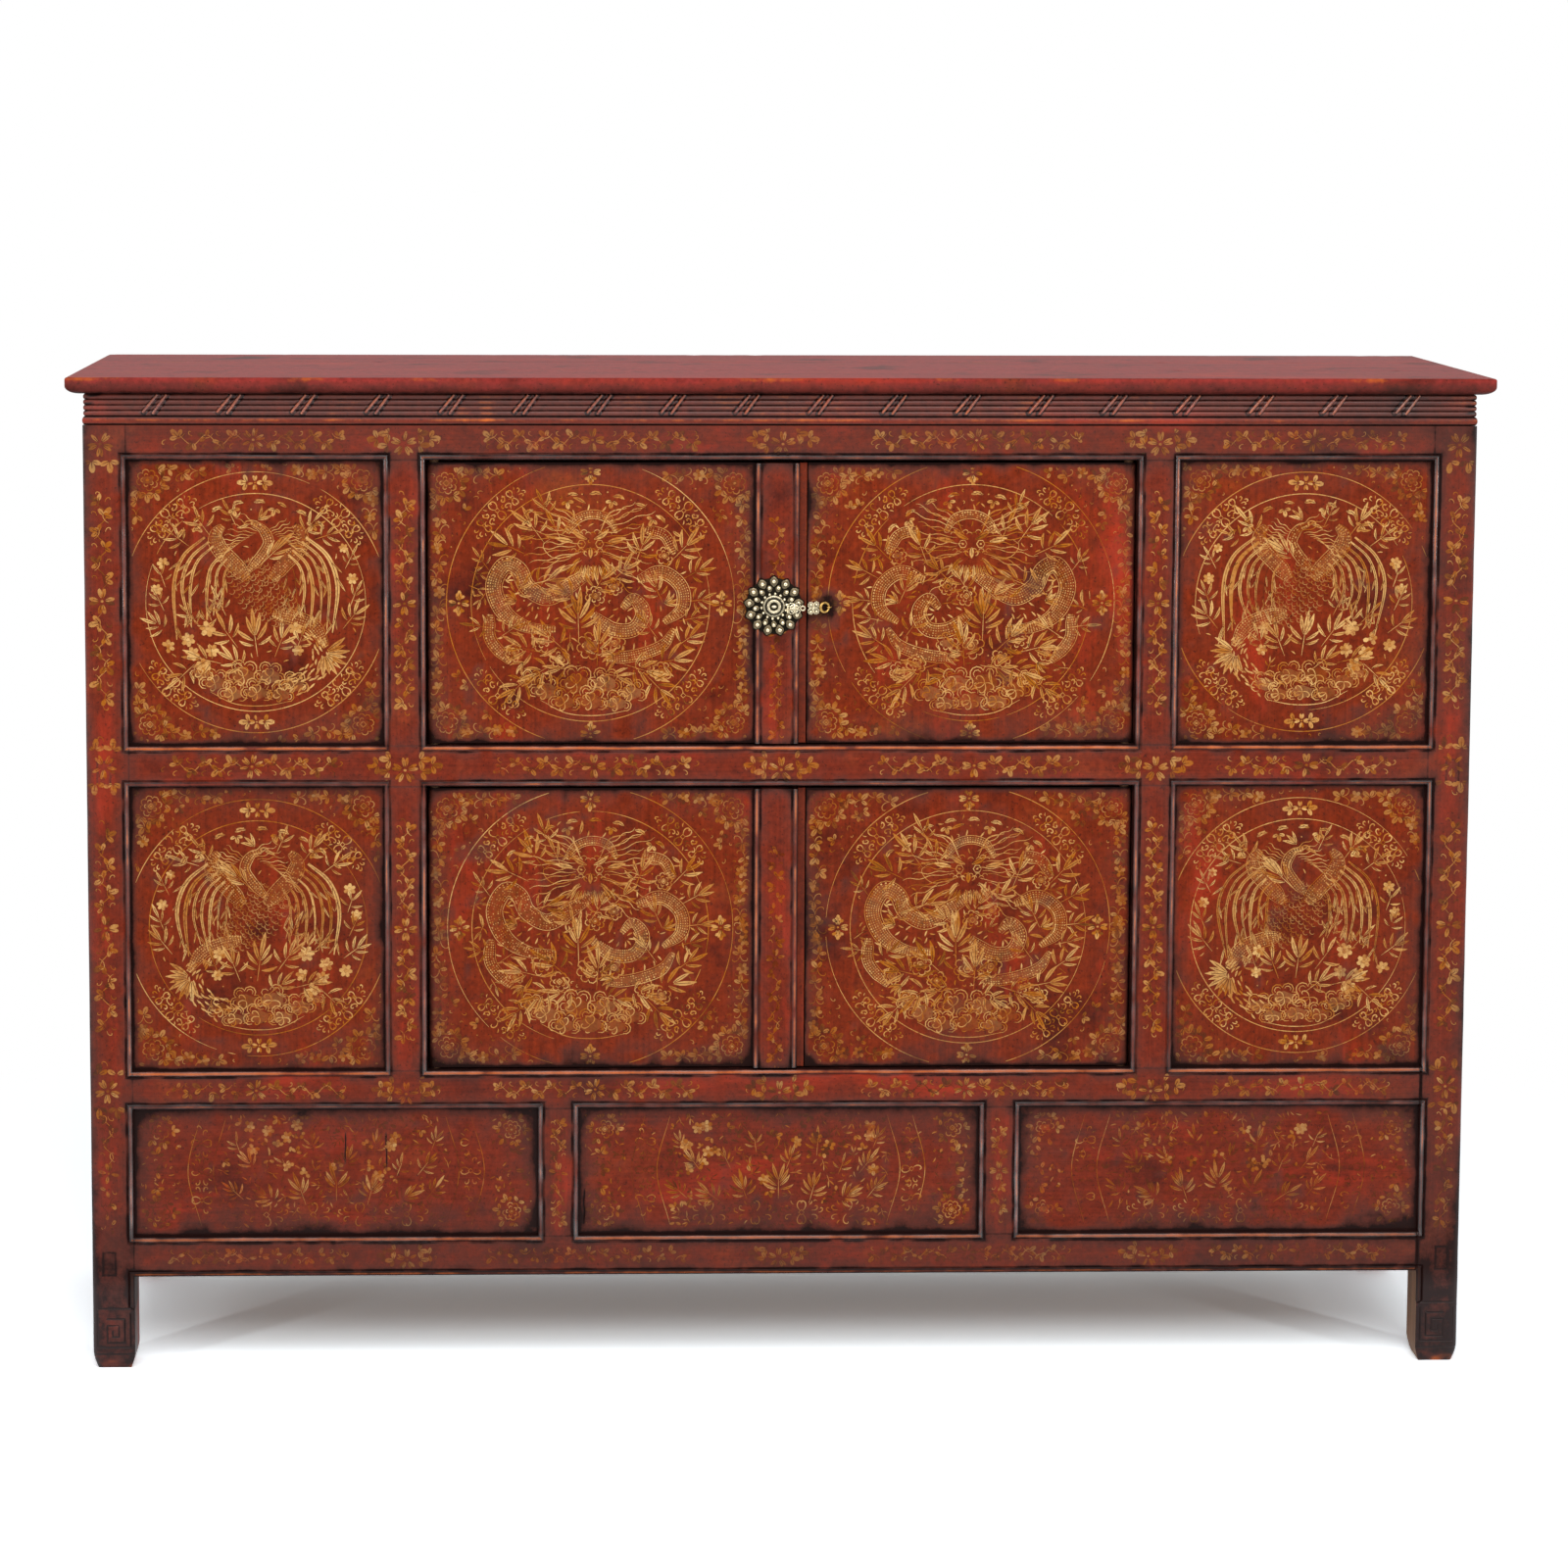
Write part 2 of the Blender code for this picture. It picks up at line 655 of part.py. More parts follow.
def make_frieze():
    """Reeded frieze over a half-round strip, mitred at the corners and let into the posts."""
    base = TOP_RAIL_TOP + FIT_GAP
    reed_z = base + 2 * STRIP_RADIUS
    profile = [(FRIEZE_THICKNESS, base)]
    for step in range(2 * REED_STEPS + 1):
        turn = math.pi * step / (2 * REED_STEPS)
        rise = STRIP_RADIUS - STRIP_RADIUS * math.cos(turn)
        profile.append((STRIP_BULGE - STRIP_BULGE * math.sin(turn), base + rise))
    reed = (FRIEZE_TOP - reed_z) / REED_COUNT
    for index in range(REED_COUNT):
        for step in range(1, REED_STEPS + 1):
            turn = math.pi * step / REED_STEPS
            rise = reed * (index + 0.5 - 0.5 * math.cos(turn))
            profile.append((STRIP_BULGE - REED_BULGE * math.sin(turn), reed_z + rise))
    profile.append((FRIEZE_THICKNESS, FRIEZE_TOP))
    half_depth = BODY_DEPTH / 2
    for name, half, place in (
        ("front", HALF_WIDTH, lambda along, depth, z: (along, FRONT + depth, z)),
        ("back", HALF_WIDTH, lambda along, depth, z: (along, -FRONT - depth, z)),
        ("left", half_depth, lambda along, depth, z: (depth - HALF_WIDTH, along, z)),
        ("right", half_depth, lambda along, depth, z: (HALF_WIDTH - depth, along, z)),
    ):
        sections = []
        for end in (-1, 1):
            section = []
            for depth, z in profile:
                section.append(place(end * (half - depth - FIT_GAP / 2), depth, z))
            sections.append(section)
        strip = loft(f"frieze_{name}", sections, PARTS, joined_ends=False)
        finish_object(strip, "red_lacquer")
        ends = (place(-half, 0, base), place(half, FRIEZE_THICKNESS, FRIEZE_TOP))
        house(f"frieze_{name}", *corners(*(span(*pair) for pair in zip(*ends))))


def make_top():
    """A planked top with an ovolo under its edge; each plank is cut from the whole top."""
    levels = []
    for step in range(5):
        turn = math.pi / 2 * step / 4
        rise = OVOLO_HEIGHT * (1 - math.cos(turn))
        levels.append((TOP_Z + rise, TOP_OVERHANG * math.sin(turn)))
    levels.append((HEIGHT - TOP_ARRIS, TOP_OVERHANG))
    levels.append((HEIGHT, TOP_OVERHANG - TOP_ARRIS))
    sections = []
    for z, out in levels:
        x = HALF_WIDTH + out
        y = BODY_DEPTH / 2 + out
        sections.append(((-x, -y, z), (x, -y, z), (x, y, z), (-x, y, z)))
    length = HALF_WIDTH + 2 * TOP_OVERHANG
    depth = BODY_DEPTH + 2 * TOP_OVERHANG
    share = depth / len(TOP_PLANKS)
    for index, plank_name in enumerate(TOP_PLANKS):
        plank = loft(f"top_plank_{plank_name}", sections, PARTS, joined_ends=False)
        finish_object(plank, "red_lacquer")
        near = -depth / 2 + index * share + (FIT_GAP / 2 if index else -TOP_OVERHANG)
        last = index == len(TOP_PLANKS) - 1
        far = -depth / 2 + (index + 1) * share + (TOP_OVERHANG if last else -FIT_GAP / 2)
        low, high = corners((-length, length), (near, far), (TOP_Z / 2, 2 * HEIGHT))
        boolean(plank, block(f"plank_{plank_name}_bounds", low, high, CUTTERS), "INTERSECT")


def lobed_outline(radius, lobes, depth, steps):
    """A closed outline with rounded lobes, inside the given radius."""
    points = []
    for step in range(steps):
        turn = 2 * math.pi * step / steps
        reach = radius * (1 - depth * (0.5 - 0.5 * math.cos(lobes * turn)))
        points.append((reach * math.cos(turn), reach * math.sin(turn)))
    return points


def ring_tool(name, radius, wire, centre, rotation):
    bpy.ops.mesh.primitive_torus_add(
        major_radius=radius,
        minor_radius=wire,
        major_segments=20,
        minor_segments=8,
        location=centre,
        rotation=rotation,
    )
    ring = bpy.context.active_object
    ring.name = name
    for home in list(ring.users_collection):
        home.objects.unlink(ring)
    CUTTERS.objects.link(ring)
    ring.hide_render = True
    ring.display_type = "WIRE"
    return ring


def make_lock():
    """A scalloped rosette on the meeting stile, its boss, and the hasp in two lengths."""
    plate_face = FRONT - FIT_GAP - ROSETTE_THICKNESS
    points = []
    count = ROSETTE_PETALS * PETAL_STEPS
    for step in range(count):
        turn = 2 * math.pi * step / count
        dip = 1 - abs(math.cos(ROSETTE_PETALS * turn / 2))
        reach = ROSETTE_RADIUS - ROSETTE_SCALLOP * dip
        points.append((reach * math.cos(turn), reach * math.sin(turn)))
    plate_y = plate_face + ROSETTE_THICKNESS / 2
    plate = outline_plate(
        "lock_plate", points, ROSETTE_THICKNESS, PARTS, (LOCK_X, plate_y, LOCK_Z), LIE_FLAT_TO_FRONT
    )
    finish_object(plate, "old_brass")
    ride_on(plate, "hinge_upper_left")
    boss = make_boss((LOCK_X, plate_face - FIT_GAP, LOCK_Z))
    finish_object(boss, "old_brass")
    ride_on(boss, "hinge_upper_left")
    make_hasp(plate_face)


def ride_on(thing, hinge_name):
    """Parent a piece to a hinge without moving it."""
    hinge = bpy.data.objects[hinge_name]
    thing.parent = hinge
    thing.matrix_parent_inverse = Matrix.Translation(-hinge.location)


def make_boss(place):
    """A turned dome with a rolled rim."""
    crown = ((0, 0.6), (0.3, 0.62), (0.42, 0.9), (0.62, 1), (0.8, 0.8))
    rim = ((0.88, 0.45), (1, 0.4), (1, 0), (0, 0))
    outline = crown + rim
    mesh = bpy.data.meshes.new("lock_boss")
    points = [(BOSS_RADIUS * x, 0, BOSS_HEIGHT * z) for x, z in outline]
    mesh.from_pydata(points, [(i, i + 1) for i in range(len(points) - 1)], [])
    boss = add_object("lock_boss", mesh, PARTS, place, LIE_FLAT_TO_FRONT)
    turning = boss.modifiers.new("turning", "SCREW")
    turning.steps = 2 * ROUND_STEPS
    turning.render_steps = 2 * ROUND_STEPS
    turning.use_merge_vertices = True
    turning.merge_threshold = 0.00001
    return boss


def make_hasp(plate_face):
    """The strap on the rosette and the link on the right door's staple, end to end."""
    level = LOCK_Z - HASP_DROP
    knuckle = Vector((LOCK_X + BOSS_RADIUS + FIT_GAP + KNUCKLE_RADIUS, 0, level))
    knuckle.y = plate_face - FIT_GAP - KNUCKLE_RADIUS
    strap = drum("hasp_strap", KNUCKLE_RADIUS, KNUCKLE_LENGTH, (0, 0, 0), PARTS)
    finish_object(strap, "old_brass")
    hang(strap, "hinge_hasp_strap", knuckle)
    lobe_x = knuckle.x + STRAP_LINK_RADIUS
    ring_x = lobe_x + STRAP_LINK_RADIUS - LINK_OVERLAP + SMALL_RING_RADIUS
    lobes = outline_plate(
        "strap_lobes",
        lobed_outline(STRAP_LINK_RADIUS, LINK_LOBES, LINK_LOBE_DEPTH, LINK_STEPS),
        LINK_THICKNESS,
        CUTTERS,
        (lobe_x, knuckle.y, level),
        LIE_FLAT_TO_FRONT,
    )
    boolean(strap, lobes, "UNION")
    ring_place = (ring_x, knuckle.y, level)
    small_ring = ring_tool("strap_ring", SMALL_RING_RADIUS, SMALL_RING_WIRE, ring_place, LIE_FLAT_TO_FRONT)
    boolean(strap, small_ring, "UNION")
    strap_tip = ring_x + SMALL_RING_RADIUS + SMALL_RING_WIRE

    door_face = FRONT + PANEL_RECESS
    staple_y = door_face - STAPLE_STANDOFF
    lobe_reach = 2 * END_RING_RADIUS + END_RING_WIRE - LINK_OVERLAP + HASP_LINK_RADIUS
    reach = lobe_reach + HASP_LINK_RADIUS
    tilt = math.asin((staple_y - knuckle.y) / reach)
    staple = Vector((strap_tip + LINK_GAP + reach * math.cos(tilt), staple_y, level))
    along = Vector((-math.cos(tilt), -math.sin(tilt), 0))
    facing = (math.pi / 2, 0, tilt)
    link = outline_plate(
        "hasp_link",
        lobed_outline(HASP_LINK_RADIUS, LINK_LOBES, LINK_LOBE_DEPTH, LINK_STEPS),
        LINK_THICKNESS,
        PARTS,
        along * lobe_reach,
        facing,
    )
    finish_object(link, "old_brass")
    hang(link, "hinge_hasp_link", staple)
    ring_place = staple + along * END_RING_RADIUS
    end_ring = ring_tool("link_ring", END_RING_RADIUS, END_RING_WIRE, ring_place, facing)
    boolean(link, end_ring, "UNION")
    make_staple(staple, door_face)


def make_staple(place, door_face):
    """A wire staple through the right door, looped round the end ring's rim."""
    bend = END_RING_WIRE + STAPLE_CLEARANCE + STAPLE_WIRE
    foot = door_face + STAPLE_DEPTH - place.y
    bend_steps = 8
    path = [(-bend, foot, 0)]
    for step in range(bend_steps + 1):
        turn = math.pi * step / bend_steps
        path.append((-bend * math.cos(turn), -bend * math.sin(turn), 0))
    path.append((bend, foot, 0))
    curve = bpy.data.curves.new("door_staple", "CURVE")
    curve.dimensions = "3D"
    curve.bevel_depth = STAPLE_WIRE
    curve.bevel_resolution = 2
    curve.use_fill_caps = True
    spline = curve.splines.new("POLY")
    spline.points.add(len(path) - 1)
    for point, spot in zip(spline.points, path):
        point.co = (*spot, 1)
    staple = curve_to_object("door_staple", curve, PARTS, place)
    finish_object(staple, "old_brass")
    ride_on(staple, "hinge_upper_right")
    hole_depth = STAPLE_DEPTH + FIT_GAP
    for side in (-1, 1):
        centre = (place.x + side * bend, door_face + hole_depth / 2 - FIT_GAP, place.z)
        length = hole_depth + 2 * FIT_GAP
        bore = STAPLE_WIRE + FIT_GAP
        hole = drum("staple_hole", bore, length, centre, CUTTERS, LIE_FLAT_TO_FRONT)
        boolean(bpy.data.objects["door_upper_right"], hole, "DIFFERENCE")


def cut_housings():
    """Cut every mortise, groove, socket and bead out of the members that it reaches."""
    for cutter, low, high, owner in HOUSINGS:
        for name, (thing, member_low, member_high) in MEMBERS.items():
            if name != owner and boxes_meet(low, high, member_low, member_high):
                boolean(thing, cutter, "DIFFERENCE")


def main():
    make_posts()
    make_long_rails()
    make_side_rails()
    make_stiles()
    make_panels()
    make_inner_boards()
    make_doors()
    make_frieze()
    make_top()
    work_beads()
    cut_housings()
    work_apron_bead()
    make_lock()
    for name in ("lock_plate", "lock_boss", "hasp_strap", "hasp_link", "door_staple"):
        smooth(bpy.data.objects[name])


main()
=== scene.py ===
"""Altar cabinet in worn red lacquer with gilt painting and a brass lock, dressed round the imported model.

Metres, +Z up, front towards -Y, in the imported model's frame. Painted ornament is drawn in mm.
"""

import math
import random

import bmesh
import bpy
import numpy as np
from bpy.props import FloatProperty, FloatVectorProperty, IntProperty, PointerProperty
from mathutils import Matrix, Vector


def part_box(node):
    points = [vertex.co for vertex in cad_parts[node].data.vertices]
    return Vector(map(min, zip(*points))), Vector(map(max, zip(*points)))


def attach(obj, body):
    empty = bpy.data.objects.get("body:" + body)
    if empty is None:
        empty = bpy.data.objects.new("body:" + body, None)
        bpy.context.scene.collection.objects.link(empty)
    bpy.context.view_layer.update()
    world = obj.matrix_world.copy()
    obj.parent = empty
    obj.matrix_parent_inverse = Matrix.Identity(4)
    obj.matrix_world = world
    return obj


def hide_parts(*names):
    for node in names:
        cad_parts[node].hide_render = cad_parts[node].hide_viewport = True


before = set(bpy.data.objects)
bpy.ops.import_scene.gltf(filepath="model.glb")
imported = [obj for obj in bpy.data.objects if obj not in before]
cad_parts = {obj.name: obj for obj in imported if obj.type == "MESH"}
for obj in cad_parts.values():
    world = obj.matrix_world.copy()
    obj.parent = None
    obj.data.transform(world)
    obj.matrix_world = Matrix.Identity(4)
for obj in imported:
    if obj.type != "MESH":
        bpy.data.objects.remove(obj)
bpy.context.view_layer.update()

bl_info = {
    "name": "Altar Cabinet",
    "version": (1, 0, 0),
    "blender": (4, 5, 0),
    "location": "View3D > Sidebar > Cabinet",
    "description": "Makes the lacquer, gilding and brasswork of an altar cabinet on its packed frame",
    "category": "Object",
}

MM = 0.001
TAU = 2 * math.pi

# Places of the front's members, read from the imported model
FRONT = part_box("rail_front_top")[0][1]
PANEL_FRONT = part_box("panel_upper_left")[0][1]
PANEL_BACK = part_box("panel_upper_left")[1][1]
POST_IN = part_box("post_front_right")[0][0]
POST_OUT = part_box("post_front_right")[1][0]
POST_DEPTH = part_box("post_front_right")[1][1] - FRONT
FRIEZE_Z = (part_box("frieze_front")[0][2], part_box("frieze_front")[1][2])
TOP_Z = (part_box("top_plank_front")[0][2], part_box("top_plank_front")[1][2])
TOP_OUT = -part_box("top_plank_front")[0][1]
RAIL_Z = {}
for rail_row in ("bottom", "lower", "middle", "top"):
    rail_low, rail_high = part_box(f"rail_front_{rail_row}")
    RAIL_Z[rail_row] = (rail_low[2], rail_high[2])
ROW_Z = {
    "base": (RAIL_Z["bottom"][1], RAIL_Z["lower"][0]),
    "lower": (RAIL_Z["lower"][1], RAIL_Z["middle"][0]),
    "upper": (RAIL_Z["middle"][1], RAIL_Z["top"][0]),
}
STILE_X = {}
OPENINGS = {}
for panel_row, (row_low, row_high) in ROW_Z.items():
    stile_low, stile_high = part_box(f"stile_{panel_row}_right")
    STILE_X[panel_row] = (stile_low[0], stile_high[0])
    OPENINGS[panel_row, "left"] = (-POST_IN, -stile_high[0], row_low, row_high)
    OPENINGS[panel_row, "middle"] = (-stile_low[0], stile_low[0], row_low, row_high)
    OPENINGS[panel_row, "right"] = (stile_high[0], POST_IN, row_low, row_high)
LEG_OPENING = (-POST_IN, POST_IN, -1.0, RAIL_Z["bottom"][0])
MEETING_X = (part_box("meeting_stile_upper")[0][0], 0.0176)
SEAM_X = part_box("meeting_stile_upper")[1][0]

# Mm out from an opening's edge at which a bead, its quirk and the face beside it are drawn
BEAD_LINES = (0.12, 0.45, 0.95, 1.6, 2.3, 3.0, 3.7, 4.4, 5.0, 5.45, 5.7, 6.2, 6.8, 7.3, 8, 9.5, 12, 16, 22)
# How rubbed, smoky and polished a surface is, with painted highlight in the first and painted shade in the second, kept
# at each of its points
MARKS = ("wear", "grime", "polish")
# Each turn of ribbon on the frieze: mm across and share of the reeds' height, at its foot and its head
RIBBON_TURNS = (((-11.5, 0.16), (3.5, 0.97)), ((-1.5, 0.10), (12.5, 0.97)))
# Quarter turns that stand a board on the left, right or back
TURNS = {-1: ((0, -1), (1, 0)), 1: ((0, 1), (-1, 0)), 2: ((-1, 0), (0, -1))}
# Fields of wear in the lacquer: size in m, detail and roughness
FIELDS = {
    "cloud": (0.085, 5.0, 0.62),
    "rubbed": (0.060, 7.0, 0.68),
    "smudge": (0.022, 6.0, 0.66),
    "fine": (0.0026, 2.0, 0.5),
    "chips": (0.011, 6.0, 0.70),
    "patchy": (0.014, 6.0, 0.72),
    "mottle": (0.006, 4.0, 0.62),
}
ARRIS_LINES = (0.1, 0.3, 0.7, 1.2, 1.9, 2.8, 4.0, 6.0)


def linear(hex_colour):
    """An sRGB hex colour as the linear colour that a shader takes."""
    channels = []
    for start in (1, 3, 5):
        value = int(hex_colour[start:start + 2], 16) / 255
        channels.append(value / 12.92 if value <= 0.04045 else ((value + 0.055) / 1.055) ** 2.4)
    return tuple(channels)


def length_of(name, description, metres):
    return FloatProperty(name=name, description=description, default=metres, min=0.0, unit="LENGTH", precision=5)


def colour_of(name, description, hex_colour):
    return FloatVectorProperty(
        name=name, description=description, default=linear(hex_colour), min=0.0, max=1.0, subtype="COLOR"
    )


class CabinetWood(bpy.types.PropertyGroup):
    """Sizes of the worked wood."""

    bead_radius: length_of("Bead radius", "Half-round bead along every opening", 0.003)
    bead_sink: length_of("Bead sink", "How far the bead's crest lies below the face", 0.0003)
    quirk_depth: length_of("Quirk depth", "Depth of the groove beside the bead", 0.002)
    quirk_width: length_of("Quirk width", "Width of the groove beside the bead", 0.0016)
    arris: length_of("Arris", "Radius that wear has put on the outer edges", 0.0022)
    strip_height: length_of("Strip height", "Half-round strip under the reeds", 0.009)
    strip_bulge: length_of("Strip bulge", "How far the strip stands out", 0.003)
    reed_bulge: length_of("Reed bulge", "How far a reed stands out", 0.002)
    reeds: IntProperty(name="Reeds", description="Reeds in the frieze", default=4, min=1)
    ribbon_pitch: length_of("Ribbon pitch", "From one ribbon on the frieze to the next", 0.0745)
    ribbon_width: length_of("Ribbon width", "Width of a ribbon's turn", 0.0028)
    ovolo_height: length_of("Ovolo height", "Height of the moulding under the top's edge", 0.0085)


class CabinetFinish(bpy.types.PropertyGroup):
    """Colours of the lacquer, the gilding, the wood and the brass."""

    deep: colour_of("Deep lacquer", "Old lacquer where it is darkest", "#43130b")
    body: colour_of("Lacquer", "The frame's red lacquer", "#712410")
    bright: colour_of("Rubbed lacquer", "Lacquer rubbed back to a lighter red", "#873519")
    vermilion: colour_of("Vermilion", "First coat showing through", "#b0321a")
    panel: colour_of("Panel lacquer", "The panels' warmer lacquer", "#76270d")
    panel_bright: colour_of("Rubbed panel", "Panel lacquer rubbed lighter", "#8b3a13")
    top: colour_of("Top lacquer", "Faded lacquer on the top", "#8c2a25")
    # These two dark colours are laid by the dark marks, which also carry painted shade in grooves, corners and low down
    soot_and_shade: colour_of("Soot", "Smoke and grime in the corners", "#160a09")
    haze_and_shade: colour_of("Haze", "Thin smoke over the lacquer", "#6e4c45")
    # Also laid on crests that face up as painted highlight
    bare: colour_of("Worn edge", "Orange ground where edges are rubbed", "#d2661c")
    gold: colour_of("Gold", "Gold paint where it is warm", "#ad640f")
    pale_gold: colour_of("Pale gold", "Gold paint where it is bright", "#e8bc76")
    umber: colour_of("Tarnished gold", "Gold paint gone dark", "#4a2a10")
    wood: colour_of("Old wood", "Bare wood inside and behind", "#6d4a2f")
    wood_dark: colour_of("Old wood grain", "Dark grain in the bare wood", "#3d2718")
    brass: colour_of("Brass", "Dull brass of the lock's petals", "#83755c")
    polished: colour_of("Polished brass", "Knobs and lobes rubbed bright", "#ddcfae")
    brass_dark: colour_of("Brass patina", "Dark hollows on the lock", "#0f0c0a")
    gold_ring: colour_of("Yellow brass", "The hasp's end ring", "#d3aa62")


class CabinetGilding(bpy.types.PropertyGroup):
    """Sizes of the painted ornament."""

    paint: length_of("Paint", "Thickness of the gold paint", 0.00012)
    roundel: length_of("Panel roundel", "Inner ring on a side panel", 0.111)
    roundel_outer: length_of("Panel outer ring", "Outer ring on a side panel", 0.133)
    door_roundel: length_of("Door roundel", "Inner ring on a door", 0.121)
    door_outer: length_of("Door outer ring", "Outer ring on a door", 0.146)
    line: length_of("Line", "Width of a fine gold line", 0.0009)


class CabinetBrass(bpy.types.PropertyGroup):
    """Sizes of the lock and the hasp."""

    petals: IntProperty(name="Petals", description="Petals round the rosette", default=13, min=3)
    balls: IntProperty(name="Balls", description="Balls round the boss", default=14, min=3)
    ball: length_of("Ball", "Radius of a ball round the boss", 0.0016)
    knob: length_of("Knob", "Radius of a knob at a petal's foot", 0.0023)


class CabinetStage(bpy.types.PropertyGroup):
    """Light, floor and camera."""

    key: FloatProperty(name="Overhead light", description="Watts of the soft light overhead", default=38.0)
    fill: FloatProperty(name="Front light", description="Watts of the soft light in front", default=50.0)
    rim: FloatProperty(name="Strip lights", description="Watts of each strip light beside the camera", default=15.0)
    sky: FloatProperty(name="Room light", description="Strength of the white room", default=0.4)
    floor: colour_of("Floor", "Pale studio floor", "#e8e8e8")


def add_node(tree, kind, feeds=None, ramp=None, **settings):
    """A node with its settings; feeds gives each input a value or the socket that it is linked to."""
    node = tree.nodes.new(kind)
    for key, value in settings.items():
        setattr(node, key, value)
    for key, value in (feeds or {}).items():
        if isinstance(value, bpy.types.NodeSocket):
            tree.links.new(value, node.inputs[key])
        else:
            node.inputs[key].default_value = value
    if ramp:
        stops = node.color_ramp.elements
        while len(stops) < len(ramp):
            stops.new(0.5)
        for stop, (place, colour) in zip(stops, ramp):
            stop.position = place
            stop.color = (*colour, 1.0) if len(colour) == 3 else colour
    return node


def waver(a, b, size, seed):
    """Smooth noise from -1 to 1 over two coordinates, with lumps of the given size."""
    table = np.random.RandomState(seed).uniform(-1, 1, (64, 64))
    a = np.asarray(a) / size
    b = np.asarray(b) / size
    i = np.floor(a).astype(int)
    j = np.floor(b).astype(int)
    s = a - i
    t = b - j
    s = s * s * (3 - 2 * s)
    t = t * t * (3 - 2 * t)
    low = table[i % 64, j % 64] * (1 - s) + table[(i + 1) % 64, j % 64] * s
    high = table[i % 64, (j + 1) % 64] * (1 - s) + table[(i + 1) % 64, (j + 1) % 64] * s
    return low * (1 - t) + high * t


def grid_lines(low, high, step, fine=()):
    """Places from low to high, one every step, with the given fine ones between them."""
    places = list(np.linspace(low, high, max(2, int(round((high - low) / step)) + 1)))
    places += [place for place in fine if low < place < high]
    kept = [low]
    for place in sorted(places):
        if place - kept[-1] > 0.00004:
            kept.append(place)
    kept[-1] = high
    return np.array(kept)


def beside(edges, lines=BEAD_LINES):
    """Fine places on both sides of each edge, for grid_lines."""
    return [edge + side * line * MM for edge in edges for line in (0.0, *lines) for side in (-1, 1)]


def relief_shell(across, up, plane, thickness, face, turn=0, shape=None, back=1):
    """A closed board whose front is a relief over a grid.

    face gives depth in mm, the rubbed orange with its painted highlight and the dark marks with their painted shade at
    each place.
    turn stands the board on another side of the cabinet, in quarter turns about +Z. shape moves the points. back is the
    back's material.
    """
    x, z = np.meshgrid(across, up, indexing="ij")
    depth, *marks = face(x, z)
    columns, rows = x.shape
    number = np.arange(columns * rows).reshape(columns, rows)
    points = np.stack([x, plane + depth * MM, z], -1).reshape(-1, 3)
    rim = np.concatenate([number[:, 0], number[-1, 1:], number[-2::-1, -1], number[0, -2:0:-1]])
    behind = points[rim]
    behind[:, 1] = plane + thickness
    back_of = {int(front): len(points) + place for place, front in enumerate(rim)}
    faces = np.stack([number[:-1, :-1], number[1:, :-1], number[1:, 1:], number[:-1, 1:]], -1)
    faces = faces.reshape(-1, 4).tolist()
    slots = [0] * len(faces)
    for place, first in enumerate(rim):
        second = int(rim[(place + 1) % len(rim)])
        faces.append([int(first), back_of[int(first)], back_of[second], second])
    slots += [0] * len(rim)
    if rows >= columns:
        starts, ends, last = number[0], number[-1], rows - 2
        first_end, last_end = number[1:-1, 0][::-1], number[1:-1, -1]
    else:
        starts, ends, last = number[:, 0], number[:, -1], columns - 2
        first_end, last_end = number[0, 1:-1], number[-1, 1:-1][::-1]
    for place in range(last + 1):
        if rows >= columns:
            ring = [starts[place], starts[place + 1]]
            ring += list(last_end) if place == last else []
            ring += [ends[place + 1], ends[place]]
            ring += list(first_end) if place == 0 else []
        else:
            ring = [starts[place]]
            ring += list(first_end) if place == 0 else []
            ring += [ends[place], ends[place + 1]]
            ring += list(last_end) if place == last else []
            ring += [starts[place + 1]]
        faces.append([back_of[int(point)] for point in ring])
        slots.append(back)
    points = np.concatenate([points, behind])
    if shape:
        shape(points)
    if turn:
        points[:, :2] = points[:, :2] @ np.array(TURNS[turn])
    shell = {"points": points, "faces": faces, "slots": slots}
    for label, values in zip(MARKS, marks):
        shell[label] = np.concatenate([np.ravel(values), np.zeros(len(behind))])
    return shell


def build(name, shells, materials, sharp=40):
    """One object from closed shells, with their rubbed orange and painted highlight, their dark marks and painted
    shade, as attributes.
    """
    points, faces, slots = [], [], []
    marks = {label: [] for label in MARKS}
    for shell in shells:
        first = sum(len(group) for group in points)
        points.append(np.asarray(shell["points"], dtype=float))
        faces += [[first + corner for corner in face] for face in shell["faces"]]
        slots += list(shell.get("slots", [0] * len(shell["faces"])))
        for label, store in marks.items():
            store.append(np.broadcast_to(shell.get(label, 0.0), len(shell["points"])))
    mesh = bpy.data.meshes.new(name)
    mesh.from_pydata(np.concatenate(points).tolist(), [], faces)
    mesh.polygons.foreach_set("material_index", slots)
    for label, values in marks.items():
        layer = mesh.attributes.new(label, "FLOAT", "POINT")
        layer.data.foreach_set("value", np.concatenate(values).astype(np.float32))
    for material in materials:
        mesh.materials.append(material)
    mesh.shade_smooth()
    mesh.set_sharp_from_angle(angle=math.radians(sharp))
    thing = bpy.data.objects.new(name, mesh)
    bpy.context.scene.collection.objects.link(thing)
    return thing


def settle(thing, body, slot, *nodes):
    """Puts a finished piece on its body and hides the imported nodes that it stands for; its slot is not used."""
    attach(thing, body)
    if nodes:
        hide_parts(*nodes)
    return thing


def clamp(values):
    return np.clip(values, 0.0, 1.0)


def bead_depth(run):
    """Depth in mm of the bead, its quirk and the face, run mm out from the opening."""
    wood = bpy.context.scene.cabinet_wood
    radius = wood.bead_radius / MM
    sink = wood.bead_sink / MM
    quirk = wood.quirk_depth / MM
    width = wood.quirk_width / MM
    start = radius + math.sqrt(radius ** 2 - (radius + sink - quirk) ** 2)
    across = np.clip((run - radius) / radius, -1, 1)
    bead = sink + radius * (1 - np.sqrt(1 - across ** 2))
    groove = quirk * (1 - (run - start) / width)
    return np.where(run < start, bead, np.where(run < start + width, groove, 0.0))


